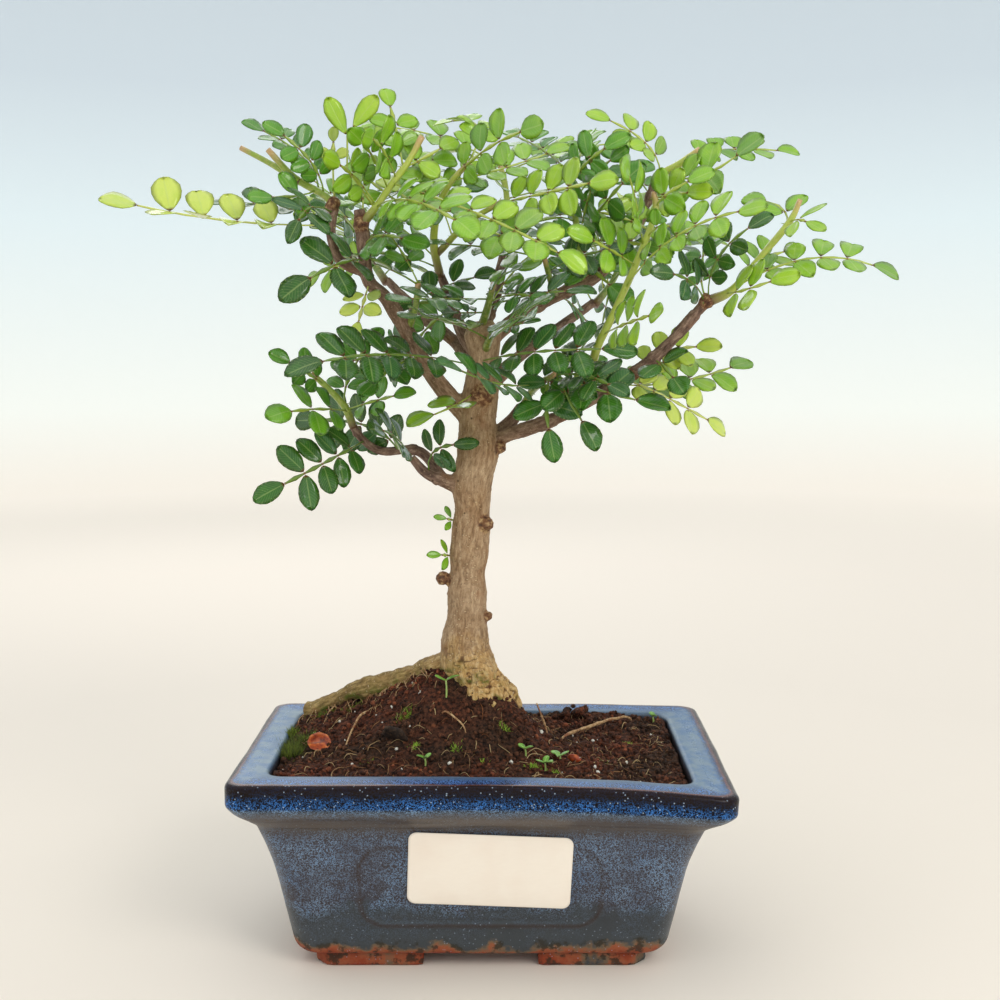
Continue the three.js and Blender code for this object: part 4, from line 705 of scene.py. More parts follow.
def pot_glaze():
    glaze = Recipe("pot_glaze", Coat_Weight=0.12, Coat_Roughness=0.1)
    run = glaze.math("DIVIDE", glaze.value("run"), RAMP_SPAN)
    lip = LIP_RUN / RUN_UNIT / RAMP_SPAN
    ends = glaze.product(glaze.value("ends"), glaze.between(run, lip + 0.002, lip + 0.016))
    loose = glaze.ramp(run, [(run_at(27), 1.0), (run_at(34), 0.25), (run_at(49), 0.25), (run_at(54), 0.06)])
    waver = glaze.between(glaze.noise(12, 4, 0.6), 0.3, 0.7, -0.034, 0.034)
    run = glaze.total(run, glaze.product(waver, loose))
    ground = glaze.ramp(run, [
        (0.0, 0x6E2A16), (run_at(5.0), 0x8A3C22), (run_at(6.0), 0x965234), (run_at(7.4), 0x6E5A44),
        (run_at(8.6), 0x3B4044), (run_at(20), 0x33363A), (run_at(23), 0x352F34), (run_at(44), 0x3A343A),
        (run_at(47.2), 0x4A413D), (run_at(49.5), 0x5E544B), (run_at(53), 0x574D46), (run_at(55.2), 0x484648),
        (run_at(56.5), 0x2E3540), (run_at(57.1), 0x0E1422), (run_at(59), 0x0A0B12), (run_at(61), 0x120A08),
        (run_at(63), 0x1C0F0B), (lip - 0.005, 0x24130E), (lip - 0.001, 0x7A3E2A), (lip + 0.004, 0x101728),
        (lip + 0.022, 0x182B50), (lip + 0.045, 0x2E4C70), (lip + 0.066, 0x566A7C), (lip + 0.08, 0x33333A),
        (lip + 0.1, 0x241B17),
    ])
    cloud = glaze.between(glaze.noise(5, 4, 0.6, offset=(2, 7, 3)), 0.4, 0.6)
    flank = glaze.mix(cloud, 0x7C909C, 0x4A6E96)
    in_lip = glaze.ramp(run, [(lip, 0.0), (lip + 0.01, 0.9), (lip + 0.066, 0.9), (lip + 0.082, 0.0)])
    ground = glaze.mix(glaze.product(ends, in_lip), ground, flank)
    ground = glaze.mix(glaze.between(glaze.value("ridge"), 0.1, 0.8, 0.0, 0.7), ground, 0x33241E)
    brushed = glaze.between(glaze.noise(0.7, 2, stretch=(50, 50, 1)), 0.5, 0.66)
    in_cove = glaze.ramp(run, [(run_at(46), 0.0), (run_at(48.5), 0.6), (run_at(53), 0.6), (run_at(55), 0.0)])
    ground = glaze.mix(glaze.product(brushed, in_cove), ground, 0x362C27)

    worm = glaze.from_half(glaze.noise(0.72, 2))
    worms = glaze.between(worm, 0.014, 0.05, 1.0, 0.0)
    patchy = glaze.between(glaze.noise(1.7, 2), 0.42, 0.52)
    dot = glaze.product(glaze.between(glaze.cells(0.62), 0.42, 0.28), patchy)
    spread = glaze.between(glaze.noise(11, 4, 0.6, offset=(3, 1, 7)), 0.34, 0.6, 0.45, 1)
    crept = glaze.product(glaze.math("MAXIMUM", worms, dot), spread)
    density = glaze.ramp(run, [
        (run_at(9), 0.0), (run_at(12), 0.1), (run_at(19), 0.16), (run_at(22), 0.72), (run_at(43), 0.74),
        (run_at(46.5), 0.4), (run_at(49), 0.14), (run_at(52.5), 0.16), (run_at(54.4), 0.6),
        (run_at(56.4), 0.95), (run_at(58), 0.9), (run_at(59.6), 0.6), (run_at(60.8), 0.12),
        (run_at(62.5), 0.04), (lip, 0.05), (lip + 0.006, 0.95), (lip + 0.03, 1.0), (lip + 0.05, 0.5),
        (lip + 0.07, 0.3), (lip + 0.085, 0.1),
    ])
    by_height = glaze.ramp(run, [(run_at(20), 0.8), (run_at(30), 0.6), (run_at(38), 0.15), (run_at(46), 0.0)])
    open_patch = glaze.between(glaze.noise(15, 4, 0.6, offset=(2, 6, 4)), 0.5, 0.58)
    bare = glaze.product(open_patch, by_height)
    kept = glaze.product(glaze.math("SUBTRACT", 1.0, bare), glaze.between(ends, 0, 1, 1.0, 0.3))
    kept = glaze.product(kept, glaze.between(glaze.value("ridge"), 0.1, 0.7, 1.0, 0.45))
    amount = glaze.product(crept, density, kept)
    pale = glaze.mix(glaze.noise(9, 2, offset=(9, 9, 2)), 0x5E86B2, 0x93B0CC)
    vivid = glaze.ramp(run, [(run_at(56.4), 0.0), (run_at(57.2), 1.0), (lip + 0.03, 1.0), (lip + 0.055, 0.4)])
    colour = glaze.mix(amount, ground, glaze.mix(vivid, pale, 0x4388DC))
    stars = glaze.product(glaze.between(glaze.cells(1.5), 0.17, 0.1), 0.75)
    in_band = glaze.ramp(run, [
        (run_at(56), 0.4), (run_at(57.5), 1.0), (run_at(62.5), 1.0), (lip, 0.3), (lip + 0.05, 0.2),
    ])
    colour = glaze.mix(glaze.product(stars, in_band), colour, 0xA9BCD0)
    # Partly dirt and partly painted shade: dark patches below 8.6 mm of height, on the feet and the clay band
    # at the base.
    low = glaze.ramp(run, [(run_at(8.6), 0.85), (run_at(10.5), 0.0)])
    dirt_and_shade = glaze.product(glaze.between(glaze.noise(3.2, 4, 0.6, offset=(8, 3, 3)), 0.52, 0.6), low)
    colour = glaze.mix(dirt_and_shade, colour, 0x2A2418)
    dry = glaze.ramp(run, [
        (run_at(5), 0.85), (run_at(9), 0.6), (run_at(11), 0.34), (run_at(44), 0.34), (run_at(47), 0.5),
        (run_at(53), 0.5), (run_at(56.2), 0.3), (run_at(57.4), 0.14), (lip, 0.16), (lip + 0.02, 0.24),
        (lip + 0.08, 0.35),
    ])
    mirror = glaze.ramp(run, [
        (run_at(9), 0.3), (run_at(44), 0.34), (run_at(50), 0.25), (run_at(56.5), 0.2), (run_at(57.4), 0.08),
        (lip - 0.006, 0.1), (lip, 0.4), (lip + 0.03, 0.4),
    ])
    glaze.give(glaze.shader.inputs["Specular IOR Level"], mirror)
    glaze.bump(glaze.total(crept, glaze.noise(2.6, 3)), 0.3, 0.1)
    return glaze.finish(colour, glaze.total(dry, glaze.between(amount, 0, 1, 0.0, 0.1)))


glaze_finish = pot_glaze()
pot.data.materials.clear()
pot.data.materials.append(glaze_finish)
pot_feet.data.materials.append(glaze_finish)
print("glaze nodes:", len(glaze_finish.node_tree.nodes))

# %% [markdown]
# ## The label and the drain meshes
# The label is a paper sheet with round corners, lying on the lean of the wall and turned a little. It
# carries nothing. Under the soil, a square of plastic mesh covers each drain hole: bars that cross,
# each a short strip with its four sides.

# %% Label
LABEL_CORNER = 2.5
GAP = 0.3


def make_label():
    """Rounded rectangle in rings that shrink to its middle, on both faces of the sheet."""
    share_x, share_y, angle = ring_plan(60, 30, 9)
    half_x, half_y = LABEL_LENGTH / 2 - LABEL_CORNER, LABEL_HEIGHT / 2 - LABEL_CORNER
    u = share_x * half_x + LABEL_CORNER * np.cos(angle)
    v = share_y * half_y + LABEL_CORNER * np.sin(angle)
    rows = [(0.02, 0), (0.5, 0), (0.97, 0), (1, 0.12), (1, 0.28), (0.97, 0.4), (0.5, 0.4), (0.02, 0.4)]
    turn = math.radians(-LABEL_TURN)
    flat = np.concatenate([np.stack([s * u, s * v, np.full_like(u, t)], 1) for s, t in rows])
    curl = 0.08 * noise(flat * [1, 1, 0], 14, 2) * smoothstep(10, 25, np.abs(flat[:, 0]))
    x = flat[:, 0] * math.cos(turn) - flat[:, 1] * math.sin(turn)
    y = flat[:, 0] * math.sin(turn) + flat[:, 1] * math.cos(turn)
    lean = math.atan(WALL_LEAN_Y)
    out = flat[:, 2] + np.abs(curl)
    points = np.stack([
        LABEL_CENTRE[0] + x,
        -wall_half_width(LABEL_CENTRE[1]) - GAP - 0.05 - math.sin(lean) * y - math.cos(lean) * out,
        LABEL_CENTRE[1] + math.cos(lean) * y - math.sin(lean) * out,
    ], 1)
    count = len(u)
    hubs = points[:count].mean(0), points[-count:].mean(0)
    last = len(points)
    ring = np.arange(count)
    caps = [fan_faces(ring, last, flip=True), fan_faces(ring + last - count, last + 1)]
    faces = [grid_faces(len(rows), count, closed=True), *caps]
    return add_piece("label", np.vstack([points, *hubs]), faces, "label_paper", ["label"])


def label_paper():
    paper = Recipe("label_paper", Roughness=0.42)
    fibre = paper.noise(0.8, 4, stretch=(3, 1, 1))
    tint = paper.mix(paper.between(paper.noise(14, 2), 0.4, 0.7), 0xFBF0E2, 0xF8EADB)
    paper.bump(fibre, 0.2, 0.03)
    return paper.finish(paper.mix(paper.between(fibre, 0.4, 0.7, 0, 0.07), tint, 0xE6D8C8))


label = make_label()
label.data.materials.append(label_paper())
print("label faces:", len(label.data.polygons))

# %% Drain meshes
MESH_SIDE = 22
MESH_THICK = 0.8
BAR = 0.9
BARS_EACH_WAY = 9


def bars(side):
    """Crossing bars over a hole: a box for each bar, from the corners of a unit cube."""
    cube = np.array(list(itertools.product((-0.5, 0.5), repeat=3)))
    faces = np.array([(0, 1, 3, 2), (4, 6, 7, 5), (0, 4, 5, 1), (2, 3, 7, 6), (0, 2, 6, 4), (1, 5, 7, 3)])
    middle = (side * DRAIN_SPACING / 2, 0, FLOOR_TOP + GAP + MESH_THICK / 2)
    slides = np.linspace(-0.5, 0.5, BARS_EACH_WAY) * (MESH_SIDE - BAR)
    one_way = [cube * (MESH_SIDE, BAR, MESH_THICK) + (0, slide, 0) for slide in slides]
    other_way = [cube * (BAR, MESH_SIDE, MESH_THICK * 0.8) + (slide, 0, 0) for slide in slides]
    points = np.concatenate(one_way + other_way) + middle
    return points, np.concatenate([faces + 8 * i for i in range(2 * BARS_EACH_WAY)])


plastic = Recipe("drain_mesh_plastic", Roughness=0.55)
plastic.bump(plastic.noise(0.6, 3), 0.3, 0.05)
plastic.finish(plastic.mix(plastic.noise(4, 3), 0x17181A, 0x2B2C2E))
for side, node in ((-1, "drain_mesh_left"), (1, "drain_mesh_right")):
    bar_points, bar_faces = bars(side)
    drain = add_piece(node, bar_points, [bar_faces], "drain_mesh_plastic", [node], smooth=False)
    drain.data.materials.append(plastic.material)
print("bars in each drain mesh:", 2 * BARS_EACH_WAY)

# %% [markdown]
# ## The soil
# A potting mix of peat and bark fines is heaped up to the trunk and along the surface root. Its large
# form is the CAD model's own formula, a level with a rounded bank at each of seven places; noise adds
# lumps, and the same sheet goes down the walls and over the floor so that the block is closed. Loose
# crumbs are small stones of twenty faces, each turned and stretched by its own draw, all in one array.

# %% Soil sheet
BANKS = [
    (-8, 4, 20, 14), (-22, 9, 8.6, 14), (-40, 16, 6.8, 13), (-55, 21, 3, 9), (8, -1, 7.5, 8),
    (28, 34, 1.6, 12), (52, 34, 1.6, 12),
]
SOIL_LEVEL = RIM_TOP - 2.6
SOIL_HALF_LENGTH = half_length - LIP - 1.2
SOIL_HALF_WIDTH = half_width - LIP - 1.2
SOIL_CORNER = 5.6
SOIL_GRID = (236, 132)
# How far the soil has shrunk from the lip at its edge, and over what distance.
EDGE_DROP, EDGE_REACH = 0.9, 2.5


def soil_height(x, y):
    """Level of the soil less the rim's sink, plus height e^(-distance^2 / 2 spread^2) for each bank."""
    heaped = sum(h * np.exp(-((x - a) ** 2 + (y - b) ** 2) / (2 * s**2)) for a, b, h, s in BANKS)
    return SOIL_LEVEL - sunk(x, y, RIM_TOP) + heaped


def soil_lumps(x, y):
    """Lumps of four sizes, from 9 mm clods to crumbs under 1 mm."""
    flat = np.stack([x, y, np.zeros_like(x)], -1).reshape(-1, 3)
    sizes = zip((9, 3.6, 1.7, 0.95), (0.7, 0.5, 0.45, 0.32))
    return sum(rise * noise(flat, size, 20 + i) for i, (size, rise) in enumerate(sizes)).reshape(x.shape)


def in_pot(u, v):
    """Square -1..1 laid on the rounded opening: past a corner's centre, the step out is shortened by
    its longer side over its length, so that the square's corner falls on the arc."""
    x, y = u * SOIL_HALF_LENGTH, v * SOIL_HALF_WIDTH
    past_x = np.maximum(np.abs(x) - (SOIL_HALF_LENGTH - SOIL_CORNER), 0)
    past_y = np.maximum(np.abs(y) - (SOIL_HALF_WIDTH - SOIL_CORNER), 0)
    shorter = np.maximum(past_x, past_y) / np.maximum(np.hypot(past_x, past_y), 1e-9)
    shorter = np.where(np.minimum(past_x, past_y) > 0, shorter, 1)
    return x - np.sign(x) * past_x * (1 - shorter), y - np.sign(y) * past_y * (1 - shorter)


def make_soil_sheet():
    columns, rows = SOIL_GRID
    v, u = np.meshgrid(np.linspace(-1, 1, rows), np.linspace(-1, 1, columns), indexing="ij")
    x, y = in_pot(u, v)
    from_edge = np.minimum(SOIL_HALF_LENGTH * (1 - np.abs(u)), SOIL_HALF_WIDTH * (1 - np.abs(v)))
    slow = noise(np.stack([x, y, 0 * x], -1).reshape(-1, 3), 12, 3).reshape(x.shape)
    drop = EDGE_DROP * (1 - smoothstep(0, EDGE_REACH, from_edge)) * (0.6 + 0.8 * slow)
    top = np.stack([x, y, soil_height(x, y) + soil_lumps(x, y) - drop], -1)
    index = np.arange(rows * columns).reshape(rows, columns)
    edge = np.concatenate([index[0], index[1:, -1], index[-1, -2::-1], index[-2:0:-1, 0]])
    rim = top.reshape(-1, 3)[edge]
    narrow_x = (wall_half_length(FLOOR_TOP) - WALL - GAP) / SOIL_HALF_LENGTH * 0.99
    narrow_y = (wall_half_width(FLOOR_TOP) - WALL - GAP) / SOIL_HALF_WIDTH * 0.99
    floor_level = FLOOR_TOP + 2 * GAP + MESH_THICK
    low = rim * [narrow_x, narrow_y, 0] + [0, 0, floor_level]
    points = np.vstack([top.reshape(-1, 3), low, [0, 0, floor_level]])
    start = rows * columns
    beside = np.roll(edge, -1)
    under = start + np.arange(len(edge))
    skirt = np.stack([under, np.roll(under, -1), beside, edge], 1)
    floor_fan = fan_faces(under, start + len(edge), flip=True)
    return points, [grid_faces(rows, columns), skirt, floor_fan]


soil_points, soil_faces = make_soil_sheet()
print("soil rises to", soil_points[:, 2].max().round(1), "mm")

# %% Crumbs


def icosahedron():
    """Twelve corners of three golden rectangles, and the twenty faces between them."""
    golden = (1 + 5**0.5) / 2
    corners = [(a, b * golden, 0) for a in (-1, 1) for b in (-1, 1)]
    corners = np.array([np.roll(c, turn) for turn in range(3) for c in corners]) / math.hypot(1, golden)
    reach = np.linalg.norm(corners[:, None] - corners, axis=-1)
    near = (reach > 0.1) & (reach < 1.2)
    faces = [t for t in itertools.combinations(range(12), 3) if near[np.ix_(t, t)].sum() == 6]
    a, b, c = corners[np.array(faces)].transpose(1, 0, 2)
    outward = (np.cross(b - a, c - a) * a).sum(1) > 0
    return corners, np.array([(i, j, k) if out else (i, k, j) for (i, j, k), out in zip(faces, outward)])


def turned(draws, count):
    """A random turn for each of many shapes, as three axes at right angles."""
    first = unit(draws.normal(size=(count, 3)))
    second = unit(np.cross(first, draws.normal(size=(count, 3))))
    return np.stack([first, second, np.cross(first, second)], 1)


def crumbs_at(places, radii, draws, start):
    """The same stone many times: corner = place + turn (radius x stretch x corner x jitter)."""
    corners, faces = icosahedron()
    stretch = draws.uniform(0.6, 1.35, (len(places), 1, 3)) * draws.uniform(0.82, 1.18, (len(places), 12, 1))
    local = corners * stretch * radii[:, None, None]
    points = places[:, None] + np.einsum("nij,njk->nik", local, turned(draws, len(places)))
    numbered = faces + start + 12 * np.arange(len(places))[:, None, None]
    return points.reshape(-1, 3), numbered.reshape(-1, 3)


CRUMBS = 5200
HEAP = (33, 30.5)
HEAP_CRUMBS = 46
FIBRES = 420


def soil_crumbs(start):
    draws = np.random.default_rng(5)
    u, v = draws.uniform(-0.985, 0.985, (2, CRUMBS))
    x, y = in_pot(u, v)
    radii = 0.26 * np.exp(draws.uniform(0, 1.4, CRUMBS))
    z = soil_height(x, y) + soil_lumps(x, y) + 0.25 * radii
    heap = draws.normal(0, 1, (HEAP_CRUMBS, 2)) * (3.2, 1.6) + HEAP
    high = 4.2 * np.exp(-((heap[:, 0] - HEAP[0]) ** 2) / 18) * draws.uniform(0.1, 1, HEAP_CRUMBS)
    heap_z = soil_height(*heap.T) + high
    places = np.vstack([np.stack([x, y, z], 1), np.column_stack([heap, heap_z])])
    radii = np.append(radii, draws.uniform(0.9, 1.7, HEAP_CRUMBS))
    points, faces = crumbs_at(places, radii, draws, start)
    tone = draws.uniform(0, 1, len(places))
    pale = (draws.uniform(0, 1, len(places)) < 0.018) * (radii < 0.75)
    return points, faces, np.repeat(tone, 12), np.repeat(pale * 1.0, 12)


def soil_fibres(start):
    """Peat fibres and straws: thin three-sided tubes that bow over the crumbs."""
    draws = np.random.default_rng(6)
    points, quads, tris, tone, pale = [], [], [], [], []
    for _ in range(FIBRES):
        x, y = in_pot(*draws.uniform(-0.93, 0.93, 2))
        way, length = draws.uniform(0, np.pi), 1.6 * math.exp(draws.uniform(0, 1.7))
        share = np.linspace(-0.5, 0.5, 5)
        bow = draws.uniform(-0.2, 0.2) * (1 - 4 * share**2)
        line_x = x + length * (share * math.cos(way) - bow * math.sin(way))
        line_y = y + length * (share * math.sin(way) + bow * math.cos(way))
        inside = (np.abs(line_x) < SOIL_HALF_LENGTH - 1) & (np.abs(line_y) < SOIL_HALF_WIDTH - 1)
        if not inside.all():
            continue
        rise = draws.uniform(0.3, 1.3) * (1 - 3 * share**2) + soil_lumps(line_x, line_y)
        thick = draws.uniform(0.07, 0.16)
        radii = [thick * 0.6, thick, thick, thick, thick * 0.5]
        stations = np.column_stack([line_x, line_y, soil_height(line_x, line_y) + rise, radii])
        made, sides, tips, _ = tube(stations, sides=3, steps=2, start=start)
        start += len(made)
        points.append(made)
        quads.append(sides)
        tris.append(tips)
        tone.append(np.full(len(made), draws.uniform(0, 1)))
        pale.append(np.full(len(made), draws.uniform(0.25, 0.75)))
    return np.vstack(points), np.vstack(quads), np.vstack(tris), np.concatenate(tone), np.concatenate(pale)


def make_soil():
    crumbs, crumb_faces, tone, pale = soil_crumbs(len(soil_points))
    fibres, sides, tips, fibre_tone, fibre_pale = soil_fibres(len(soil_points) + len(crumbs))
    points = np.vstack([soil_points, crumbs, fibres])
    tones = np.concatenate([np.full(len(soil_points), 0.4), tone, fibre_tone])
    pales = np.concatenate([np.zeros(len(soil_points)), pale, fibre_pale])
    faces = [*soil_faces, crumb_faces, sides, tips]
    return add_piece("soil", points, faces, "soil", ["soil"], tone=tones, pale=pales)


soil = make_soil()
print("soil faces:", len(soil.data.polygons))

# %% [markdown]
# ## What the soil looks like
# Damp peat is a very dark red brown, with drier crumbs that catch the light, a few white specks and
# straw-coloured fibres. A number kept on every crumb and fibre shifts its tone, and a second number
# turns it pale; noise breaks up the sheet between them.

# %% Soil finish


def soil_finish():
    earth = Recipe("soil", Specular_IOR_Level=0.25)
    patch = earth.between(earth.noise(22, 2, offset=(1, 4, 2)), 0.35, 0.65)
    grain = earth.noise(1.1, 4, 0.65)
    dark = earth.mix(patch, 0x1C120C, 0x28160F)
    light = earth.mix(patch, 0x5A3B27, 0x7A4028)
    mixed = earth.mix(earth.between(grain, 0.38, 0.68), dark, light)
    tone = earth.ramp(earth.value("tone"), [(0.0, 0.45), (0.5, 0.85), (0.85, 1.35), (1.0, 2.1)])
    tinted = earth.mix(1.0, mixed, tone, "MULTIPLY")
    straw = earth.mix(earth.value("tone"), 0x7A4A2A, 0xC6AC7E)
    mid = earth.mix(earth.between(earth.value("pale"), 0.1, 0.45), tinted, straw)
    colour = earth.mix(earth.between(earth.value("pale"), 0.9, 0.99), mid, 0xD8D4C8)
    earth.bump(earth.noise(0.5, 4, 0.7), 0.5, 0.25)
    return earth.finish(colour, earth.between(grain, 0.3, 0.7, 0.98, 0.72))


soil.data.materials.append(soil_finish())
print("soil pieces carry", [layer.name for layer in soil.data.attributes if layer.name in ("tone", "pale")])

# %% [markdown]
# ## The wood
# Trunk, branches and roots are one piece of wood. Each limb is a circle carried along a curve through
# places read off the photograph: across and up as the camera sees them, how far ahead of the trunk,
# and the radius. Loose tubes would cut through each other at every fork, so they are melted into one
# skin by a voxel remesh, which is applied; the bark is then raised from that skin by noise.

# %% Limbs


def at(places):
    """Sight-line rule: share = 1 - ahead/415; x = eye + (across - eye) share, z = eye + (up - eye) share,
    y = -ahead. Any further column, such as a radius, is kept."""
    places = np.atleast_2d(np.asarray(places, float))
    share = 1 + places[:, 2] / EYE[1]
    x = EYE[0] + (places[:, 0] - EYE[0]) * share
    z = EYE[2] + (places[:, 1] - EYE[2]) * share
    return np.column_stack([x, -places[:, 2], z, places[:, 3:]])


TRUNK = [
    [-1, 52, -7, 9], [-1, 62, -7, 12], [-1, 74, -6, 13.2], [-2.4, 82, -5, 11.4], [-4.5, 89, -5, 8.7],
    [-5.4, 96, -5, 7.3], [-4.9, 104, -5, 6.6], [-4.7, 113, -5, 6.3], [-4.4, 122, -5, 6.1],
    [-3.6, 131, -5, 5.9], [-3, 141, -5, 5.9], [-2.9, 150, -5, 6.2], [-1, 160, -5, 6.3],
    [-1.2, 171, -5, 5.8], [0.4, 182, -5, 5.2], [1, 190, -5, 4.9], [0.4, 197, -5, 6.2], [0, 201, -5, 4],
]
BRANCHES = {
    "surfaceRoot": [
        [-5, 92, -6, 5], [-13, 89, -8, 5.2], [-21, 85.6, -11, 4.2], [-29, 83.6, -14, 3.7],
        [-37, 81.6, -17, 3.5], [-44, 79.6, -20, 3.3], [-51, 76, -22, 3.1], [-57.5, 73.6, -24, 3.2],
    ],
    "frontRoot": [[3, 82, -4, 6], [5, 76, 0, 5.5], [6, 69, 1, 4.5], [6, 60, 1, 3]],
    "rightRoot": [[3, 84, -6, 5], [8, 77.5, -7, 4.5], [11, 71, -7, 3.5], [12, 63, -7, 2.6]],
    "left": [
        [-4, 170, -5, 3.4], [-9, 175.5, -4, 3.1], [-16, 184.5, -1, 2.6], [-23.5, 197.5, 2, 2.4],
        [-30, 208, 4, 2.2], [-35.6, 213.4, 5, 2.1], [-37, 222, 6, 2], [-37.5, 229, 6, 2.2],
        [-38.5, 236, 6, 2],
    ],
    "leftTwig": [
        [-37.5, 216.5, 5, 1.6], [-42.5, 218.5, 6, 1.7], [-46, 222, 8, 1.6], [-47.6, 230, 9, 1.6],
        [-46.8, 238, 9, 1.9],
    ],
    "centre": [[-1, 190, -7, 2.6], [-6, 197.5, -12, 2.1], [-9.5, 207, -17, 1.8], [-13.5, 217, -20, 1.5]],
    "right": [
        [1, 193, -7, 3], [7, 198.5, -9, 2.6], [13, 203, -11, 2.4], [24, 209, -13, 2.3], [33, 213, -14, 2.1],
        [40.5, 218.7, -14, 2], [46.5, 227, -13, 1.8], [51.5, 235, -12, 1.7], [54.6, 244.5, -11, 1.2],
    ],
    "rightLower": [
        [1, 161, -5, 3], [8, 164.5, -4, 2.6], [14, 166.5, -2, 2.4], [24, 170, 1, 2.2], [33, 175, 4, 2.1],
        [42, 180.5, 7, 2], [53, 187.5, 11, 1.9], [61, 195, 14, 1.8], [68.5, 203.5, 16, 1.7],
        [72, 207.5, 17, 2],
    ],
    "rightStub": [[2, 163, -7, 2.6], [9, 168.5, -9, 2.3], [13, 174, -11, 2]],
    "leftLower": [[-6, 148, -5, 3], [-12, 150, -3, 2.3], [-18, 152.5, -1, 1.8], [-22.5, 157.5, 0, 1.4]],
    "leftLowerBack": [
        [-13, 151, -3, 1.9], [-17, 157, -7, 1.7], [-22, 160, -8, 1.6], [-32, 159.5, -6, 1.5],
        [-38, 163, -4, 1.4], [-42, 168.5, -3, 1.2],
    ],
    # Branches behind the crown, which fill its back half.
    "backLeft": [[0, 184, -7, 2.8], [-8, 194, -22, 2.3], [-19, 203, -36, 2], [-30, 214, -50, 1.7]],
    "backRight": [[1, 178, -7, 2.8], [10, 188, -24, 2.3], [22, 197, -40, 2], [36, 207, -54, 1.7]],
    "backTop": [[0, 196, -7, 2.6], [4, 208, -20, 2], [7, 221, -34, 1.7], [8, 233, -44, 1.5]],
}
KNOTS = [
    [1.6, 136, -1, 2.9], [-12.6, 118, -4, 2.8], [2, 105.5, -4, 2.2], [0.4, 177.5, 0, 3.4],
    [5.6, 160.5, -3, 2.6], [31.6, 216, -13, 2.3], [-37.6, 231.5, 6, 3], [-46.6, 238, 9, 2.6],
    [48, 184, 9, 2.4], [72, 207.5, 17, 2.6], [4.4, 80, 0, 6.4], [0, 87, 1, 5.4], [6.8, 80.5, -4, 4.6],
]
print("limbs:", 1 + len(BRANCHES), "knots:", len(KNOTS))

# %% Joining the wood
VOXEL = 0.52
WAIST = 0.16
KNOT_SHARE = 0.84
KNOT_RINGS, KNOT_SIDES = 7, 12
TRUNK_SIDES, LIMB_SIDES = 28, 14


def ball(centre, radius, start):
    """Sphere of rings: radius (cos a sin b, sin a sin b, cos b), with a point at each pole."""
    down = np.linspace(0, np.pi, KNOT_RINGS + 2)[1:-1]
    turn = np.linspace(0, 2 * np.pi, KNOT_SIDES, endpoint=False)
    b, a = np.meshgrid(down, turn, indexing="ij")
    rings = np.stack([np.cos(a) * np.sin(b), np.sin(a) * np.sin(b), -np.cos(b)], -1).reshape(-1, 3)
    points = centre + radius * np.vstack([rings, [0, 0, -1], [0, 0, 1]])
    bottom = np.arange(KNOT_SIDES) + start
    top = bottom + len(rings) - KNOT_SIDES
    tips = [fan_faces(bottom, start + len(rings), flip=True), fan_faces(top, start + len(rings) + 1)]
    return points, grid_faces(KNOT_RINGS, KNOT_SIDES, closed=True, start=start), np.vstack(tips)


def swollen(stations, seed):
    """Stations between the given ones, whose radius wavers by a share, as grown wood does."""
    line = curve_through(stations, 6)
    line[:, 3] *= 1 + WAIST * noise(line[:, :3] + 40 * seed, 7, seed)
    return line


def loose_wood():
    limbs = [TRUNK, *BRANCHES.values()]
    points, faces, start = [], [], 0
    for seed, stations in enumerate(limbs):
        sides = TRUNK_SIDES if seed == 0 else LIMB_SIDES
        made, quads, tips, _ = tube(swollen(at(stations), seed), sides=sides, steps=1, start=start)
        start += len(made)
        points.append(made)
        faces.extend([quads, tips])
    for across, up, ahead, radius in KNOTS:
        made, quads, tips = ball(at((across, up, ahead))[0], radius * KNOT_SHARE, start)
        start += len(made)
        points.append(made)
        faces.extend([quads, tips])
    return np.vstack(points), faces


def melted(name, points, faces, voxel):
    """One closed skin round overlapping shells, by a voxel remesh that is applied."""
    mesh = bpy.data.meshes.new(name)
    mesh.from_pydata(in_frame(points), [], [face for block in faces for face in block.tolist()])
    lump = bpy.data.objects.new(name, mesh)
    bpy.context.collection.objects.link(lump)
    remesh = lump.modifiers.new("melt", "REMESH")
    remesh.mode, remesh.voxel_size = "VOXEL", voxel * MILLIMETRE
    smooth = lump.modifiers.new("smooth", "SMOOTH")
    smooth.factor, smooth.iterations = 0.5, 6
    skin = bpy.data.meshes.new_from_object(lump.evaluated_get(bpy.context.evaluated_depsgraph_get()))
    bpy.data.objects.remove(lump)
    return skin


def skin_arrays(skin):
    """Places in millimetres, outward directions and faces of a mesh in the frame."""
    count = len(skin.vertices)
    places, normals = np.empty(3 * count), np.empty(3 * count)
    skin.vertices.foreach_get("co", places)
    skin.vertex_normals.foreach_get("vector", normals)
    corners = np.empty(len(skin.loops), np.int64)
    skin.loops.foreach_get("vertex_index", corners)
    places = (places.reshape(-1, 3) - POT_MIDDLE) / MILLIMETRE
    return places, normals.reshape(-1, 3), corners.reshape(-1, 4)


wood_points, wood_normals, wood_quads = skin_arrays(melted("wood", *loose_wood(), VOXEL))
print("wood skin:", len(wood_points), "points,", len(wood_quads), "quads")

# %% [markdown]
# ## Bark
# Bark runs with the limb it grew on, so each point of the skin is given coordinates of its nearest
# limb: two across it and one along it, and the last is squeezed so that noise draws out into streaks.
# The same coordinates go with the mesh, so that the finish can follow every branch too.

# %% Bark relief
STREAK = 3.2
# The first ten knots are scars of cut twigs, and the rest make the burl.
SMALL_KNOTS = 10


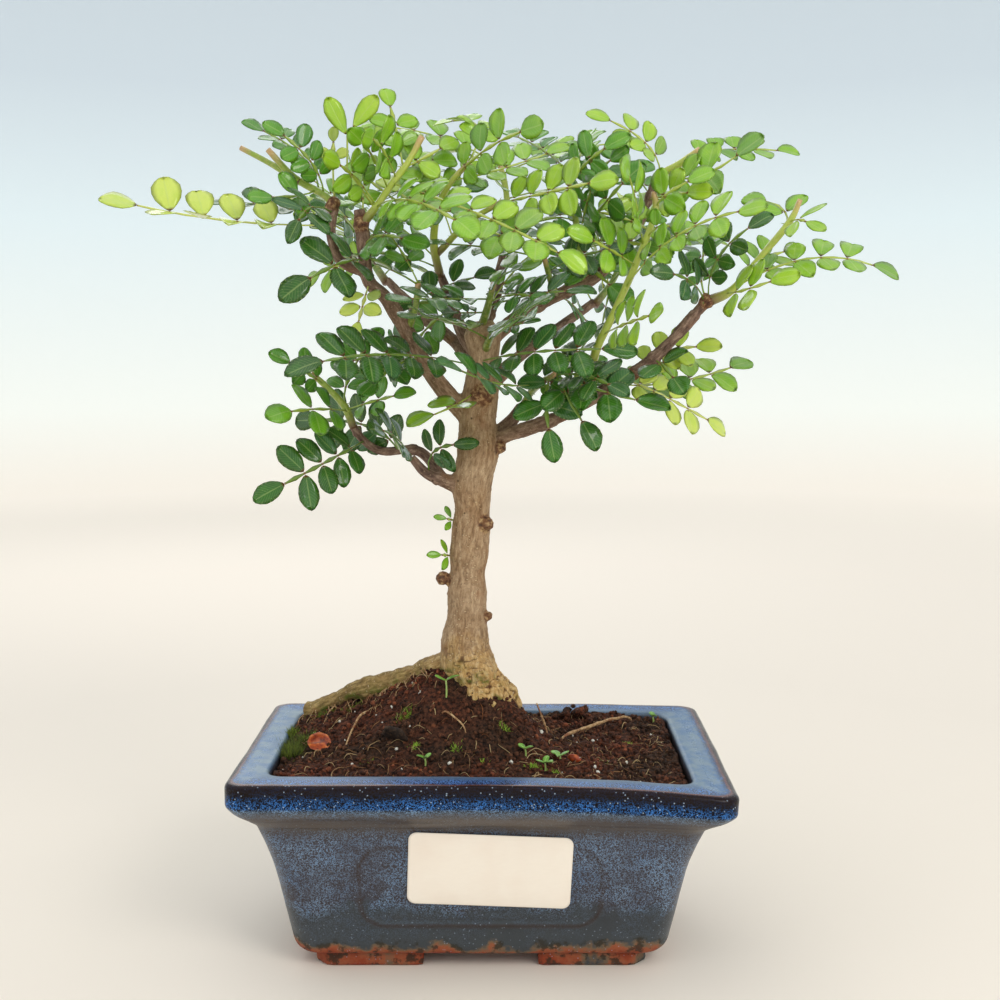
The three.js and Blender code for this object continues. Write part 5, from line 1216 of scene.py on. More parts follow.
def limb_coordinates(points):
    """For the nearest limb: (offset along side, offset along back, length along / 5), and its radius."""
    best = np.full(len(points), np.inf)
    grain, radius = np.zeros((len(points), 3)), np.zeros(len(points))
    for number, stations in enumerate([TRUNK, *BRANCHES.values()]):
        line = curve_through(at(stations), 8)
        forward, side, back = frames_along(line[:, :3])
        run = np.append(0, np.cumsum(np.linalg.norm(np.diff(line[:, :3], axis=0), axis=1)))
        away = np.linalg.norm(points[:, None] - line[None, :, :3], axis=2) - line[:, 3]
        near = away.argmin(1)
        reach = away[np.arange(len(points)), near]
        offset = points - line[near, :3]
        local = np.stack([(offset * side[near]).sum(1), (offset * back[near]).sum(1),
                          (run[near] + (offset * forward[near]).sum(1)) / STREAK + 37 * number], 1)
        closer = reach < best
        best = np.where(closer, reach, best)
        grain[closer], radius[closer] = local[closer], line[near, 3][closer]
    return grain, radius


def nearness_to_knots(points):
    """1 on a knot, falling to 0 at a distance of 1.4 of its radii."""
    places = at(KNOTS[:SMALL_KNOTS])
    away = np.linalg.norm(points[:, None] - places[:, :3], axis=2) / places[:, 3]
    return smoothstep(1.4, 0.85, away.min(1))


def crevices(points):
    """1 where a noise of 2.1 mm passes its middle value, falling to 0 beside it."""
    return smoothstep(0.22, 0.0, np.abs(noise(points, 2.1, 14)))


def bark_relief(points, grain, radius):
    """Fine waves along the limb and wrinkles across it, deeper on thick wood; raised pores; pebbles
    parted by crevices on the burl; lumps along the surface root; and rings round the twigs' joints."""
    size = np.clip(radius / 6, 0.25, 1.3)
    streaks = 0.1 * rough(grain, 1.5, 3, 3) - 0.1 * np.abs(noise(grain, 0.8, 8))
    wrinkles = 0.07 * noise(grain * [1, 1, 9], 1.6, 5)
    base = smoothstep(94, 82, points[:, 2]) * smoothstep(-18, -12, points[:, 0])
    pebbles = 0.75 * rough(points, 3.2, 2, 12) - 0.7 * crevices(points)
    pores = 0.16 * smoothstep(0.45, 0.8, noise(grain * [1, 1, 4.5], 1.15, 17)) * (radius > 1.6)
    scar = 0.5 * nearness_to_knots(points) * rough(points, 1.9, 2, 21)
    on_root = smoothstep(-12, -20, points[:, 0]) * smoothstep(100, 94, points[:, 2])
    lumps = on_root * (0.55 * rough(points, 5, 2, 31) + 0.22 * rough(points, 1.6, 2, 32))
    rings = smoothstep(0.62, 0.9, noise(grain * [0.02, 0.02, 1], 1.1, 26))
    joints = 0.34 * rings * (radius < 3.2) * (1 - on_root)
    return size * (streaks + wrinkles + pores) + base * pebbles + scar + lumps + joints


def make_wood():
    grain, radius = limb_coordinates(wood_points)
    points = wood_points + wood_normals * bark_relief(wood_points, grain, radius)[:, None]
    marks = {"grain": grain * [1, 1, STREAK] / 1000, "radius": radius / 10, "height": points[:, 2] / 300}
    places = {"knot": nearness_to_knots(wood_points), "crevice": crevices(wood_points)}
    return add_piece("tree_wood", points, [wood_quads], "bark", ["tree_wood"], **marks, **places)


tree_wood = make_wood()
print("wood box (mm):", wood_points.min(0).round(1), wood_points.max(0).round(1))

# %% [markdown]
# ## Bark finish
# The trunk is a pale grey tan with fine darker fibres, pale breathing pores and rusty stains round the
# knots. Twigs are greyer brown, and dark where they join. The burl at the base is golden on its lit right,
# with dark crevices that are partly darker bark and partly painted shade; its left side and the surface
# root get a darker ramp, which is painted shade. Moss, painted strongest on faces that look down, sits on
# its shaded side and under the surface root, where it is partly moss and partly painted shade. Radius
# and height, kept on the mesh, place each of these.

# %% Bark


def bark_finish():
    bark = Recipe("bark", Specular_IOR_Level=0.3)
    grain = bark.vector("grain")
    radius, height = bark.value("radius"), bark.value("height")
    long = bark.noise(1.1, 5, 0.7, place=grain, stretch=(1, 1, 3.2))
    fine = bark.noise(0.45, 4, 0.65, place=grain, stretch=(1, 1, 2.6))
    broad = bark.between(bark.noise(9, 3, 0.5, place=grain, stretch=(1, 1, 2)), 0.36, 0.64)
    pale_trunk = bark.ramp(long, [(0.28, 0x7E634A), (0.43, 0xA38768), (0.56, 0xBA9D7C), (0.74, 0xD6BE9E)])
    warm_trunk = bark.ramp(long, [(0.28, 0x6A4E36), (0.43, 0x8C6C4C), (0.56, 0xA28260), (0.74, 0xC4A67E)])
    trunk = bark.mix(broad, warm_trunk, pale_trunk)
    twig = bark.ramp(long, [(0.3, 0x40302A), (0.46, 0x6E564A), (0.58, 0x8C7262), (0.74, 0xB49C88)])
    golden = bark.ramp(long, [(0.3, 0x9A7444), (0.5, 0xC49C62), (0.72, 0xE8CE9A)])
    colour = bark.mix(bark.between(radius, 0.19, 0.36), twig, trunk)
    across, _, _ = bark.parts(bark.place)
    left_side_shade = bark.ramp(long, [(0.3, 0x5A4628), (0.5, 0x8E7446), (0.72, 0xC2A66E)])
    # Partly darker bark and partly painted shade: the burl's crevices, already cut into the wood, are also
    # painted dark brown.
    crevice = bark.between(bark.value("crevice"), 0.35, 0.95)
    golden = bark.mix(crevice, golden, 0x5A3A20)
    # Painted shade: the left of the burl and the surface root get this darker, duller ramp, as the side away
    # from the light, while the lit right keeps the golden one.
    golden = bark.mix(bark.between(across, -0.016, -0.026), golden, left_side_shade)
    waver = bark.between(bark.noise(6, 3), 0, 1, -0.03, 0.03)
    low = bark.between(bark.total(height, waver), 0.335, 0.29)
    colour = bark.mix(low, colour, golden)
    cracks = bark.between(fine, 0.44, 0.3, 0, 0.6)
    colour = bark.mix(cracks, colour, 0x4A382A)
    squeezed = bark.node("ShaderNodeVectorMath", {0: grain, 1: (1, 1, 2.4)}, operation="MULTIPLY")
    spots = bark.cells(2.1, place=squeezed.outputs["Vector"])
    lower = bark.between(height, 0.62, 0.4, 0.35, 1.0)
    pores = bark.product(bark.between(spots, 0.24, 0.13), bark.between(bark.noise(7, 2), 0.4, 0.54))
    pores = bark.product(pores, lower, bark.between(radius, 0.14, 0.2))
    colour = bark.mix(bark.product(pores, 0.85), colour, 0xDDC29A)
    around = bark.between(spots, 0.24, 0.34, 1.0, 0.0)
    ringed = bark.product(around, bark.math("SUBTRACT", 1.0, pores))
    colour = bark.mix(bark.product(ringed, lower, 0.35), colour, 0x5A4230)
    pits = bark.between(bark.cells(5.2, place=grain), 0.1, 0.06, 0.0, 0.8)
    colour = bark.mix(pits, colour, 0x3A281C)
    scar = bark.ramp(bark.noise(1.4, 4, 0.6), [(0.35, 0x3A1E14), (0.5, 0x744A30), (0.65, 0xC0A070)])
    colour = bark.mix(bark.between(bark.value("knot"), 0.1, 0.8, 0.0, 0.85), colour, scar)
    rust = bark.product(bark.between(bark.noise(9, 4, offset=(4, 1, 8)), 0.6, 0.72), 0.5)
    colour = bark.mix(rust, colour, 0x8A5A38)
    # Partly moss and partly painted shade: the moss colour is laid on strongest where the low wood faces
    # down, under the burl and the surface root.
    _, _, facing_up = bark.parts(bark.node("ShaderNodeNewGeometry").outputs["Normal"])
    under = bark.between(facing_up, 0.25, -0.4)
    patches = bark.between(bark.noise(3.5, 4), 0.42, 0.58)
    damp = bark.product(bark.between(height, 0.33, 0.28), patches)
    moss = bark.product(damp, bark.between(under, 0, 1, 0.1, 0.95))
    colour = bark.mix(moss, colour, bark.mix(fine, 0x2E3A16, 0x7E8A34))
    bark.bump(bark.total(long, fine, pores), 0.6, 0.3)
    return bark.finish(colour, bark.between(long, 0.3, 0.7, 0.9, 0.68))


tree_wood.data.materials.append(bark_finish())
wood_layers = [layer.name for layer in tree_wood.data.attributes]
print("bark reads:", [name for name in wood_layers if name in ("grain", "radius", "height")])

# %% [markdown]
# ## Where the leaves stand
# A pepper leaf is a rib with leaflets in opposite pairs and one more at its end. Each leaf below is
# three places read off the photograph, for the foot, middle and tip of its rib, with its tilt, the
# number of pairs and the size of its leaflets. The same rule as in the CAD model then bends it clear
# of what already stands in the crown, so the fine leaf stands where its solid does.

# %% Leaves, spray by spray


def leaf(base, middle, tip, tilt=30, pairs=4, size=11, stalk=0.26, lift=8):
    places = {"base": base, "middle": middle, "tip": tip}
    return {**places, "tilt": tilt, "pairs": pairs, "size": size, "stalk": stalk, "lift": lift}


def lone_leaf(age, *places, **shape):
    """A node of one leaf, which grows from the wood."""
    return {"age": age, "leaves": [leaf(*places, **shape)]}


SPRAYS = {
    "spray_left_twig": {
        "age": "mid",
        "stems": [
            [[-46.8, 236, 9, 1.8], [-49, 240, 9, 1.3], [-59, 246, 11, 1.1], [-67, 254.5, 12, 0.9]],
            [[-57, 244.5, 11, 1], [-66, 250, 8, 0.9], [-75.5, 255, 6, 0.8]],
        ],
        "leaves": [
            leaf([-51, 241.3, 9.2], [-58, 254, 2], [-77, 263.5, -4], tilt=55, pairs=4, size=9),
            leaf([-49.5, 240.4, 9.2], [-55, 252.5, 14], [-70, 264, 18], tilt=30, pairs=4, size=8),
            leaf([-52, 242, 9.5], [-60, 240, 18], [-76, 240, 24], tilt=40, pairs=2, size=10, stalk=0.4),
        ],
    },
    "leaf_far_left": lone_leaf(
        "pale", [-46.5, 231, 9], [-84, 233, 20], [-119.5, 240, 26], tilt=62, pairs=4, size=12, lift=27,
    ),
    "leaf_left_twig": lone_leaf(
        "dark", [-46, 234.5, 9], [-55, 236, 20], [-60, 224, 28], tilt=20, pairs=2, size=12, stalk=0.4,
    ),
    "sprout_left_twig": lone_leaf(
        "pale", [-46.2, 238, 7], [-46.6, 250, 5], [-46, 261, 4], tilt=10, pairs=2, size=6, stalk=0.6,
    ),
    "spray_left_top": {
        "age": "bright",
        "stems": [
            [
                [-38, 231, 6, 1.6], [-33, 237, 7, 1.2], [-28, 244, 7, 1.1], [-23, 250.5, 6, 1],
                [-18.5, 258.5, 5, 1.1],
            ],
        ],
        "leaves": [
            leaf([-33.5, 236.4, 7], [-43, 255, 8], [-29, 269, 8], tilt=5, pairs=1, size=15, stalk=0.62),
            leaf([-24.5, 249, 6], [-27, 262, 1], [-30, 273, -3], tilt=20, pairs=3, size=8),
            leaf([-24.5, 248.5, 6], [-16, 253, 2], [-7, 258, -2], tilt=30, pairs=2, size=9),
            leaf([-28, 244, 7], [3, 233, 28], [32, 218, 34], tilt=48, pairs=5, size=11, stalk=0.16),
            leaf([-33, 237, 7], [-20, 238.3, 20], [-1, 227.5, 26], tilt=42, pairs=4, size=11),
            leaf([-30, 241.3, 7], [-22, 250, -3], [-6, 250, -12], tilt=40, pairs=3, size=10),
        ],
    },
    "leaf_left_hanging": lone_leaf(
        "dark", [-37, 220, 6], [-48, 218, 18], [-65, 207, 24], tilt=25, pairs=3, size=12.5, stalk=0.2,
    ),
    "leaf_left_pale": lone_leaf(
        "pale", [-35.5, 213, 5], [-38, 205, 12], [-41, 193, 14], tilt=30, pairs=3, size=8,
    ),
    "leaf_left_inner": lone_leaf(
        "mid", [-37, 224, 6], [-30, 228, 16], [-14, 222, 22], tilt=35, pairs=3, size=11,
    ),
    "trunk_leaf_low": lone_leaf(
        "bright", [-9.5, 125.3, -5], [-13, 125.7, -2], [-18.5, 125.3, 0], tilt=20, pairs=1, size=5.5,
    ),
    "trunk_leaf_high": lone_leaf(
        "bright", [-8.4, 137, -5], [-11.5, 137.6, -3], [-15.6, 138.6, -2], tilt=20, pairs=1, size=4.6,
    ),
    "leaf_front_left": lone_leaf(
        "dark", [-3, 187, -3], [-32, 190.5, 16], [-60, 185.5, 20], tilt=48, pairs=4, size=13, stalk=0.22,
    ),
    "leaf_front_right": lone_leaf(
        "dark", [-1, 188, -3], [20, 191.5, 16], [51, 192, 20], tilt=45, pairs=4, size=12, stalk=0.2,
    ),
    "leaf_bright_low": lone_leaf(
        "bright", [-2, 178.5, -2], [-11, 173, 9], [-24, 168.5, 12], tilt=62, pairs=2, size=11, stalk=0.34,
    ),
    "spray_low_left": {
        "age": "mid",
        "stems": [[[-41, 167, -3, 1.3], [-44, 174, -2, 1.1], [-50, 180.5, 0, 1], [-54.5, 184.5, 1, 0.9]]],
        "leaves": [
            leaf([-50, 180.5, 0], [-58, 186, 6], [-68, 191, 8], tilt=30, pairs=3, size=8, stalk=0.2),
            leaf([-44, 174.2, -2], [-41, 186, -10], [-30, 200, -16], tilt=20, pairs=3, size=9),
            leaf([-43, 172.4, -2], [-54, 173, 8], [-68, 171, 12], tilt=35, pairs=3, size=10),
            leaf([-43.3, 172.8, -2], [-33, 176, 6], [-22, 178.5, 10], tilt=40, pairs=2, size=8),
        ],
    },
    "leaf_low_left_round": lone_leaf(
        "dark", [-27, 160, -6], [-40, 168.5, 3], [-63, 168.5, 6], tilt=18, pairs=3, size=11, stalk=0.14,
    ),
    "leaf_low_left": lone_leaf(
        "dark", [-37.5, 163, -4], [-52, 155, 10], [-76, 142.5, 14], tilt=12, pairs=3, size=12, stalk=0.2,
    ),
    "leaf_across_trunk": lone_leaf(
        "dark", [-17, 152, -1], [-13.5, 160.5, 4], [2, 160.5, 6], tilt=15, pairs=2, size=9.5, stalk=0.36,
    ),
    "spray_front": {
        "age": "dark",
        "stems": [[[12, 172, -10, 1.5], [16, 178.5, -3, 1.2], [20, 182, 6, 1.1], [24, 184.5, 12, 1]]],
        "leaves": [
            leaf([22, 183.3, 9], [21, 171, 15], [25, 155, 17], tilt=0, pairs=2, size=11.5, stalk=0.08),
            leaf([24, 184.3, 11.8], [30, 173, 18], [38.5, 160, 20], tilt=30, pairs=2, size=11),
            leaf([19, 181.2, 5], [4, 181.5, 14], [-13, 189, 14], tilt=40, pairs=3, size=11, stalk=0.26),
            leaf([23, 184, 11], [40, 178.5, 19], [62, 173, 22], tilt=42, pairs=3, size=12, stalk=0.3),
            leaf([22, 183.4, 9], [31, 191, 20], [38, 203, 26], tilt=45, pairs=3, size=10),
        ],
    },
    "spray_centre": {
        "age": "bright",
        "stems": [
            [
                [-13, 215, -19, 1.5], [-15, 226, -15, 1.2], [-13, 238, -9, 1.1], [-9, 245, -5, 1],
                [-3.5, 250.5, -3, 0.9],
            ],
            [[-14, 222, -17, 1.1], [-4, 232, -8, 1], [6, 238, -2, 0.9]],
        ],
        "leaves": [
            leaf([-8, 246, -4.8], [4, 256, 0], [20, 262, 4], tilt=30, pairs=3, size=10, stalk=0.14),
            leaf([-4, 250, -3], [-2, 262.5, -12], [-17, 261, -20], tilt=62, pairs=3, size=8),
            leaf([-9, 245, -5], [8, 249, 8], [30, 256.5, 14], tilt=58, pairs=4, size=10, stalk=0.2),
            leaf([5.5, 237.8, -2.2], [22, 241.5, 4], [43, 246, 6], tilt=35, pairs=4, size=10, stalk=0.16),
            leaf([-14.6, 230, -13], [-26, 238, -22], [-44, 252, -30], tilt=40, pairs=3, size=10),
            leaf([-12, 240, -8], [-14, 247, 4], [-22, 256, 12], tilt=20, pairs=2, size=9, stalk=0.3),
            leaf([-3, 232.8, -7.4], [6, 228, 6], [22, 222, 12], tilt=40, pairs=3, size=10),
        ],
    },
    "leaf_inner_left": lone_leaf(
        "dark", [-10, 208, -17], [-18, 207, -2], [-31, 206, 6], tilt=35, pairs=3, size=10,
    ),
    "leaf_inner_top": lone_leaf(
        "dark", [-11.5, 212, -18.5], [-5, 214, -8], [7, 217, -3], tilt=35, pairs=3, size=10,
    ),
    "spray_right_mid": {
        "age": "mid",
        "stems": [[[31.6, 216, -13, 1.6], [31, 226, -10, 1.2], [29, 238, -7, 1.1], [28, 247, -5, 0.9]]],
        "leaves": [
            leaf([28.5, 243, -5.8], [35, 252, 2], [48, 259, 4], tilt=25, pairs=3, size=10),
            leaf([31, 227, -9.8], [40, 239, 4], [50, 249, 8], tilt=30, pairs=3, size=10),
            leaf([28.2, 246, -5.2], [20, 254, -10], [7, 260, -14], tilt=40, pairs=3, size=9),
            leaf([30, 232, -8.4], [20, 233, 4], [6, 226, 10], tilt=38, pairs=3, size=11),
            leaf([31.2, 221, -11.6], [38, 215, 2], [48, 206, 10], tilt=20, pairs=3, size=11),
        ],
    },
    "spray_right_top": {
        "age": "bright",
        "stems": [[[54.4, 243, -11, 1.3], [57, 247, -10, 1.2], [62.5, 250, -9, 1.1], [69, 254.5, -8, 1]]],
        "leaves": [
            leaf([56.5, 246.4, -10.2], [50, 258, -2], [30, 267, 4], tilt=55, pairs=4, size=9),
            leaf([58, 247.8, -9.8], [71, 247, 2], [91, 261.5, 8], tilt=48, pairs=4, size=11),
            leaf([62, 249.8, -9.1], [78, 254.5, -18], [102, 253, -24], tilt=60, pairs=4, size=9),
        ],
    },
    "leaf_right_joint": lone_leaf(
        "bright", [53, 239, -11.5], [60, 240.5, 0], [73, 242, 4], tilt=30, pairs=2, size=9,
    ),
    "leaf_right_behind": lone_leaf(
        "mid", [53.5, 240, -12], [48, 247, -24], [38, 256, -34], tilt=45, pairs=4, size=10,
    ),
    "shoot_right": {
        "age": "bright",
        "stems": [
            [
                [34, 176, 5, 1.7], [36.5, 191, 9, 1.4], [42, 203, 10, 1.3], [49.8, 220.5, 9, 1.2],
                [55, 235, 7, 1.1], [54.5, 241.5, 7, 0.8],
            ],
        ],
        "leaves": [
            leaf([45.5, 211, 9.8], [64, 229, 17], [91, 236.5, 22], tilt=55, pairs=5, size=10, stalk=0.2),
            leaf([39.2, 197, 9.6], [47, 200.5, 17], [58, 204, 20], tilt=35, pairs=2, size=9, stalk=0.3),
            leaf([52.3, 227, 8.2], [58, 231, 20], [64, 227, 28], tilt=10, pairs=2, size=10, stalk=0.3),
            leaf([49, 218.5, 9.1], [40, 224, 20], [28, 230, 26], tilt=40, pairs=3, size=10),
            leaf([55, 236.4, 7], [62, 243, 14], [76, 248, 18], tilt=40, pairs=3, size=10),
        ],
    },
    "leaf_right_low_front": lone_leaf(
        "pale", [46, 182.5, 9], [61, 176, 20], [82, 164, 24], tilt=20, pairs=4, size=10, stalk=0.18,
    ),
    "leaf_right_low_flat": lone_leaf(
        "bright", [43, 181, 7], [64, 182, 4], [87, 189, 2], tilt=70, pairs=4, size=10, stalk=0.16,
    ),
    "leaf_right_low_back": lone_leaf(
        "pale", [49, 185, 9], [62, 192, -4], [77, 192, -12], tilt=35, pairs=3, size=9, stalk=0.16,
    ),
    "spray_far_right": {
        "age": "bright",
        "stems": [
            [
                [73, 207.5, 17, 1.6], [80, 211, 18, 1.3], [88.5, 221, 18, 1.1], [97.5, 232, 17, 1],
                [100.8, 239, 17, 0.8],
            ],
        ],
        "leaves": [
            leaf([80, 211, 18], [107, 221, 26], [133, 214.5, 32], tilt=58, pairs=5, size=10, stalk=0.2),
            leaf([97, 231.4, 17], [93, 237.5, 10], [80, 239, 4], tilt=48, pairs=2, size=9),
            leaf([78, 209.8, 17.8], [86, 211.5, 30], [103, 217.5, 38], tilt=45, pairs=3, size=10),
            leaf([84, 215.5, 18], [90, 221, 8], [104, 224, 0], tilt=35, pairs=3, size=9, stalk=0.2),
            leaf([97.5, 232.2, 17], [103, 232, 24], [108, 226, 28], tilt=30, pairs=1, size=9),
        ],
    },
    "leaf_knob_up": lone_leaf(
        "dark", [72.3, 208.5, 17.5], [77, 223.5, 24], [94, 235, 28], tilt=42, pairs=4, size=9, stalk=0.2,
    ),
    "leaf_knob_left": lone_leaf(
        "dark", [71, 207.5, 17.5], [65, 214.5, 24], [54, 216, 28], tilt=40, pairs=3, size=9,
    ),
    "leaf_knob_behind": lone_leaf(
        "mid", [71.5, 208, 15.5], [70, 219, 4], [74, 232, -6], tilt=30, pairs=3, size=9,
    ),
}
print("sprays read off the photograph:", len(SPRAYS))

# %% Sprays inside the crown and behind it
SPIRAL = 137.5
DEPTH_SHARE = 0.8
EVEN = 2147483647


def draws_from(seed):
    """Draws from 0 to 1: each state is the last times 16807, less whole turns of 2^31 - 1."""
    state = seed
    while True:
        state = state * 16807 % EVEN
        yield state / EVEN


def spiral_spray(age, stations, count, turn, reach, rise, size=11, pairs=3, start=0.4):
    """Leaves round a shoot by 137.5 degrees each, reaching across and back, evenly spaced along it."""
    draw = draws_from(turn + 7)
    leaves = []
    for i in range(count):
        share = (start + (0.97 - start) * i / max(1, count - 1)) * (len(stations) - 1)
        span = min(int(share), len(stations) - 2)
        near, far = np.array(stations[span][:3]), np.array(stations[span + 1][:3])
        base = near + (far - near) * (share - span)
        angle = math.radians(turn + SPIRAL * i)
        out = reach * (0.85 + 0.3 * next(draw))
        up = rise + 12 * (next(draw) - 0.5)
        step = np.array([math.cos(angle) * out, up, math.sin(angle) * out * DEPTH_SHARE])
        middle = base + step * [0.48, 0.8, 0.48]
        leaves.append(leaf(base, middle, base + step, tilt=66, pairs=pairs, size=size))
    return {"age": age, "stems": [stations], "leaves": leaves}


SPRAYS |= {
    "spray_trunk_top": spiral_spray(
        "dark", [[0, 199, -3, 1.5], [2, 205, 3, 1.2], [4, 213, 7, 1]],
        count=5, turn=245, reach=38, rise=4, pairs=2,
    ),
    "spray_trunk_front": spiral_spray(
        "dark", [[1, 191, -3, 1.5], [3, 196, 5, 1.2], [6, 200, 12, 1]],
        count=3, turn=160, reach=36, rise=2, pairs=2,
    ),
    "spray_left_fork": spiral_spray(
        "dark", [[-23.5, 197.5, 1, 1.5], [-21, 205, 7, 1.1], [-20, 213, 10, 0.9]],
        count=3, turn=275, reach=36, rise=6, pairs=2,
    ),
    "spray_right_fork": spiral_spray(
        "dark", [[24, 209, -13, 1.5], [22, 214, -4, 1.1], [20, 221, 2, 0.9]],
        count=3, turn=265, reach=36, rise=4, pairs=2,
    ),
    "spray_back_left": spiral_spray(
        "dark", [[-30, 213, -49, 1.6], [-35, 221, -54, 1.2], [-38, 231, -57, 1]],
        count=5, turn=120, reach=44, rise=14,
    ),
    "spray_back_right": spiral_spray(
        "dark", [[36, 206, -53, 1.6], [42, 214, -58, 1.2], [46, 224, -61, 1]],
        count=5, turn=30, reach=44, rise=12,
    ),
    "spray_back_top": spiral_spray(
        "bright", [[8, 232, -43, 1.5], [8, 241, -48, 1.1], [6, 250, -51, 0.9]],
        count=5, turn=330, reach=42, rise=6,
    ),
}
print("sprays in all:", len(SPRAYS), "leaves:", sum(len(spray["leaves"]) for spray in SPRAYS.values()))

# %% The rib and its pairs
LEAFLET_LEAN = 70
LEAN_OF_THREE = 60
LEAFLET_WIDTH = 0.64
PAIR_SPACING = 0.72
LARGEST_SHARE = 0.55
LARGEST_SHARE_OF_THREE = 0.82
RIB_HALF_WIDTH = 0.55
# How much of the end leaflet's length the rib leaves free for it.
END_SHARE = 0.96


def rib(leaf, t):
    """Parabola base (1-t)(1-2t) + middle 4t(1-t) + tip t(2t-1), with its direction, left and up."""
    t = np.atleast_1d(t)[:, None]
    base, middle, tip = leaf["base"], leaf["middle"], leaf["tip"]
    origin = base * (1 - t) * (1 - 2 * t) + middle * 4 * t * (1 - t) + tip * t * (2 * t - 1)
    forward = unit(base * (4 * t - 3) + middle * (4 - 8 * t) + tip * (4 * t - 1))
    left = unit(np.cross(leaf["normal"], forward))
    return origin, forward, left, np.cross(forward, left)


def leaflets_of(leaf, pairs, size, width, rib_end, draw):
    """Pairs from the stalk on and one at the end: foot, axis, across, up, length and width of each. A
    pair leans forward by its lean and is lifted out of the leaf by a turn about the rib."""
    found = []
    spacing = (rib_end - leaf["stalk"]) / pairs
    mean_lean = LEAFLET_LEAN if leaf["pairs"] > 1 else LEAN_OF_THREE
    for pair in range(pairs):
        origin, forward, left, up = (vectors[0] for vectors in rib(leaf, leaf["stalk"] + pair * spacing))
        grown = 0.78 + 0.22 * (pair + 1) / pairs
        for side in (1, -1):
            lean = math.radians(mean_lean + 10 * (next(draw) - 0.5))
            lift = math.radians(leaf["lift"] + 16 * (next(draw) - 0.5))
            scale = grown * (0.94 + 0.12 * next(draw))
            out = left * side * math.cos(lift) + up * math.sin(lift)
            face = up * math.cos(lift) - left * side * math.sin(lift)
            axis = out * math.sin(lean) + forward * math.cos(lean)
            across = forward * math.sin(lean) - out * math.cos(lean)
            foot = origin + left * side * RIB_HALF_WIDTH
            found.append((foot, axis, across, face, [size * scale], [width * grown]))
    origin, forward, left, up = (vectors[0] for vectors in rib(leaf, rib_end))
    found.append((origin, forward, left, up, [size], [width]))
    return [np.array(column) for column in zip(*found)]


def coarse_leaflets(leaf):
    """The leaflets of the solid: as long as the rib allows, as many pairs as then have room."""
    length = np.linalg.norm(leaf["base"] - leaf["middle"]) + np.linalg.norm(leaf["middle"] - leaf["tip"])
    winged = (1 - leaf["stalk"]) * length
    size = min(leaf["size"], (LARGEST_SHARE if leaf["pairs"] > 1 else LARGEST_SHARE_OF_THREE) * winged)
    room = math.floor((winged / size - 1) / PAIR_SPACING + 0.5)
    pairs = min(max(room, 1), leaf["pairs"])
    rib_end = 1 - END_SHARE * size / length
    fitting = (0.9 if pairs > 1 else 2) * (rib_end - leaf["stalk"]) / pairs * length
    width = min(LEAFLET_WIDTH * size, fitting)
    return leaflets_of(leaf, pairs, size, width, rib_end, draws_from(leaf["seed"])), rib_end, length


# %% Bending clear
ROOM_FOR_LEAF = 2.3
ROOM_FOR_OWN = 1.5
ROOM_FOR_WOOD = 1.2
BASE_REACH = 7
LOOK_ROUND = 8
TIP_STEPS = [0, 6, -6, 12, -12, 18, -18, 24, -24, 30, -30]
TURN_STEPS = [0, 25, -25]
MIDDLE_SHARE = 0.45
standing = {
    "points": np.zeros((0, 3)),
    "room": np.zeros(0),
    "node": np.zeros(0, int),
    "leaf": np.zeros(0, bool),
}


def add_standing(node, points, room, is_leaf):
    count = len(points)
    for name, value in (("points", points), ("room", room), ("node", node), ("leaf", is_leaf)):
        grown = value if name == "points" else np.broadcast_to(value, count)
        standing[name] = np.concatenate([standing[name], grown])


def feelers_of(leaf):
    """Twelve points on each leaflet, by share of its length and width, and thirteen along the rib."""
    (foot, axis, across, _, length, width), rib_end, _ = coarse_leaflets(leaf)
    along, sideways = np.meshgrid([0.12, 0.4, 0.68, 0.95], [-0.34, 0, 0.34], indexing="ij")
    along, sideways = along.reshape(1, -1, 1), sideways.reshape(1, -1, 1)
    lengthwise = axis[:, None] * length[:, None] * along
    on_blades = foot[:, None] + lengthwise + across[:, None] * width[:, None] * sideways
    return np.vstack([on_blades.reshape(-1, 3), rib(leaf, rib_end * np.arange(13) / 12)[0]])


def room_left(leaf, node):
    """Least distance from a feeler to what stands near, less the room needed there; near its own foot
    a leaf may touch the wood and its own stem."""
    feelers = feelers_of(leaf)
    low, high = feelers.min(0) - LOOK_ROUND, feelers.max(0) + LOOK_ROUND
    near = ((standing["points"] > low) & (standing["points"] < high)).all(1)
    points, room, owner, is_leaf = (standing[name][near] for name in ("points", "room", "node", "leaf"))
    if not len(points):
        return np.inf
    own = owner == node
    needed = np.where(own & is_leaf, ROOM_FOR_OWN, room)
    away = np.linalg.norm(feelers[:, None] - points, axis=2) - needed
    at_foot = np.linalg.norm(feelers - leaf["base"], axis=1) < BASE_REACH
    away[np.ix_(at_foot, own | (owner == WOOD))] = np.inf
    return away.min()


def facing(base, tip, tilt):
    """Towards the viewer at a tilt of 0 and upwards at 90, square to the line from base to tip."""
    forward, sight = unit(tip - base), unit(base - EYE)
    upwards = unit(np.cross(forward, sight))
    upwards = -upwards if upwards[2] < 0 else upwards
    ahead = unit(np.cross(forward, upwards))
    ahead = -ahead if ahead @ sight > 0 else ahead
    return ahead * math.cos(math.radians(tilt)) + upwards * math.sin(math.radians(tilt))


def bent(leaf, step, turn, seed):
    """The leaf with its tip and middle moved ahead by a step, and its face turned."""
    base, tip = at(leaf["base"])[0], at(np.add(leaf["tip"], (0, 0, step)))[0]
    middle = at(np.add(leaf["middle"], (0, 0, MIDDLE_SHARE * step)))[0]
    normal = facing(base, tip, leaf["tilt"] + turn)
    return {**leaf, "base": base, "middle": middle, "tip": tip, "normal": normal, "seed": seed}


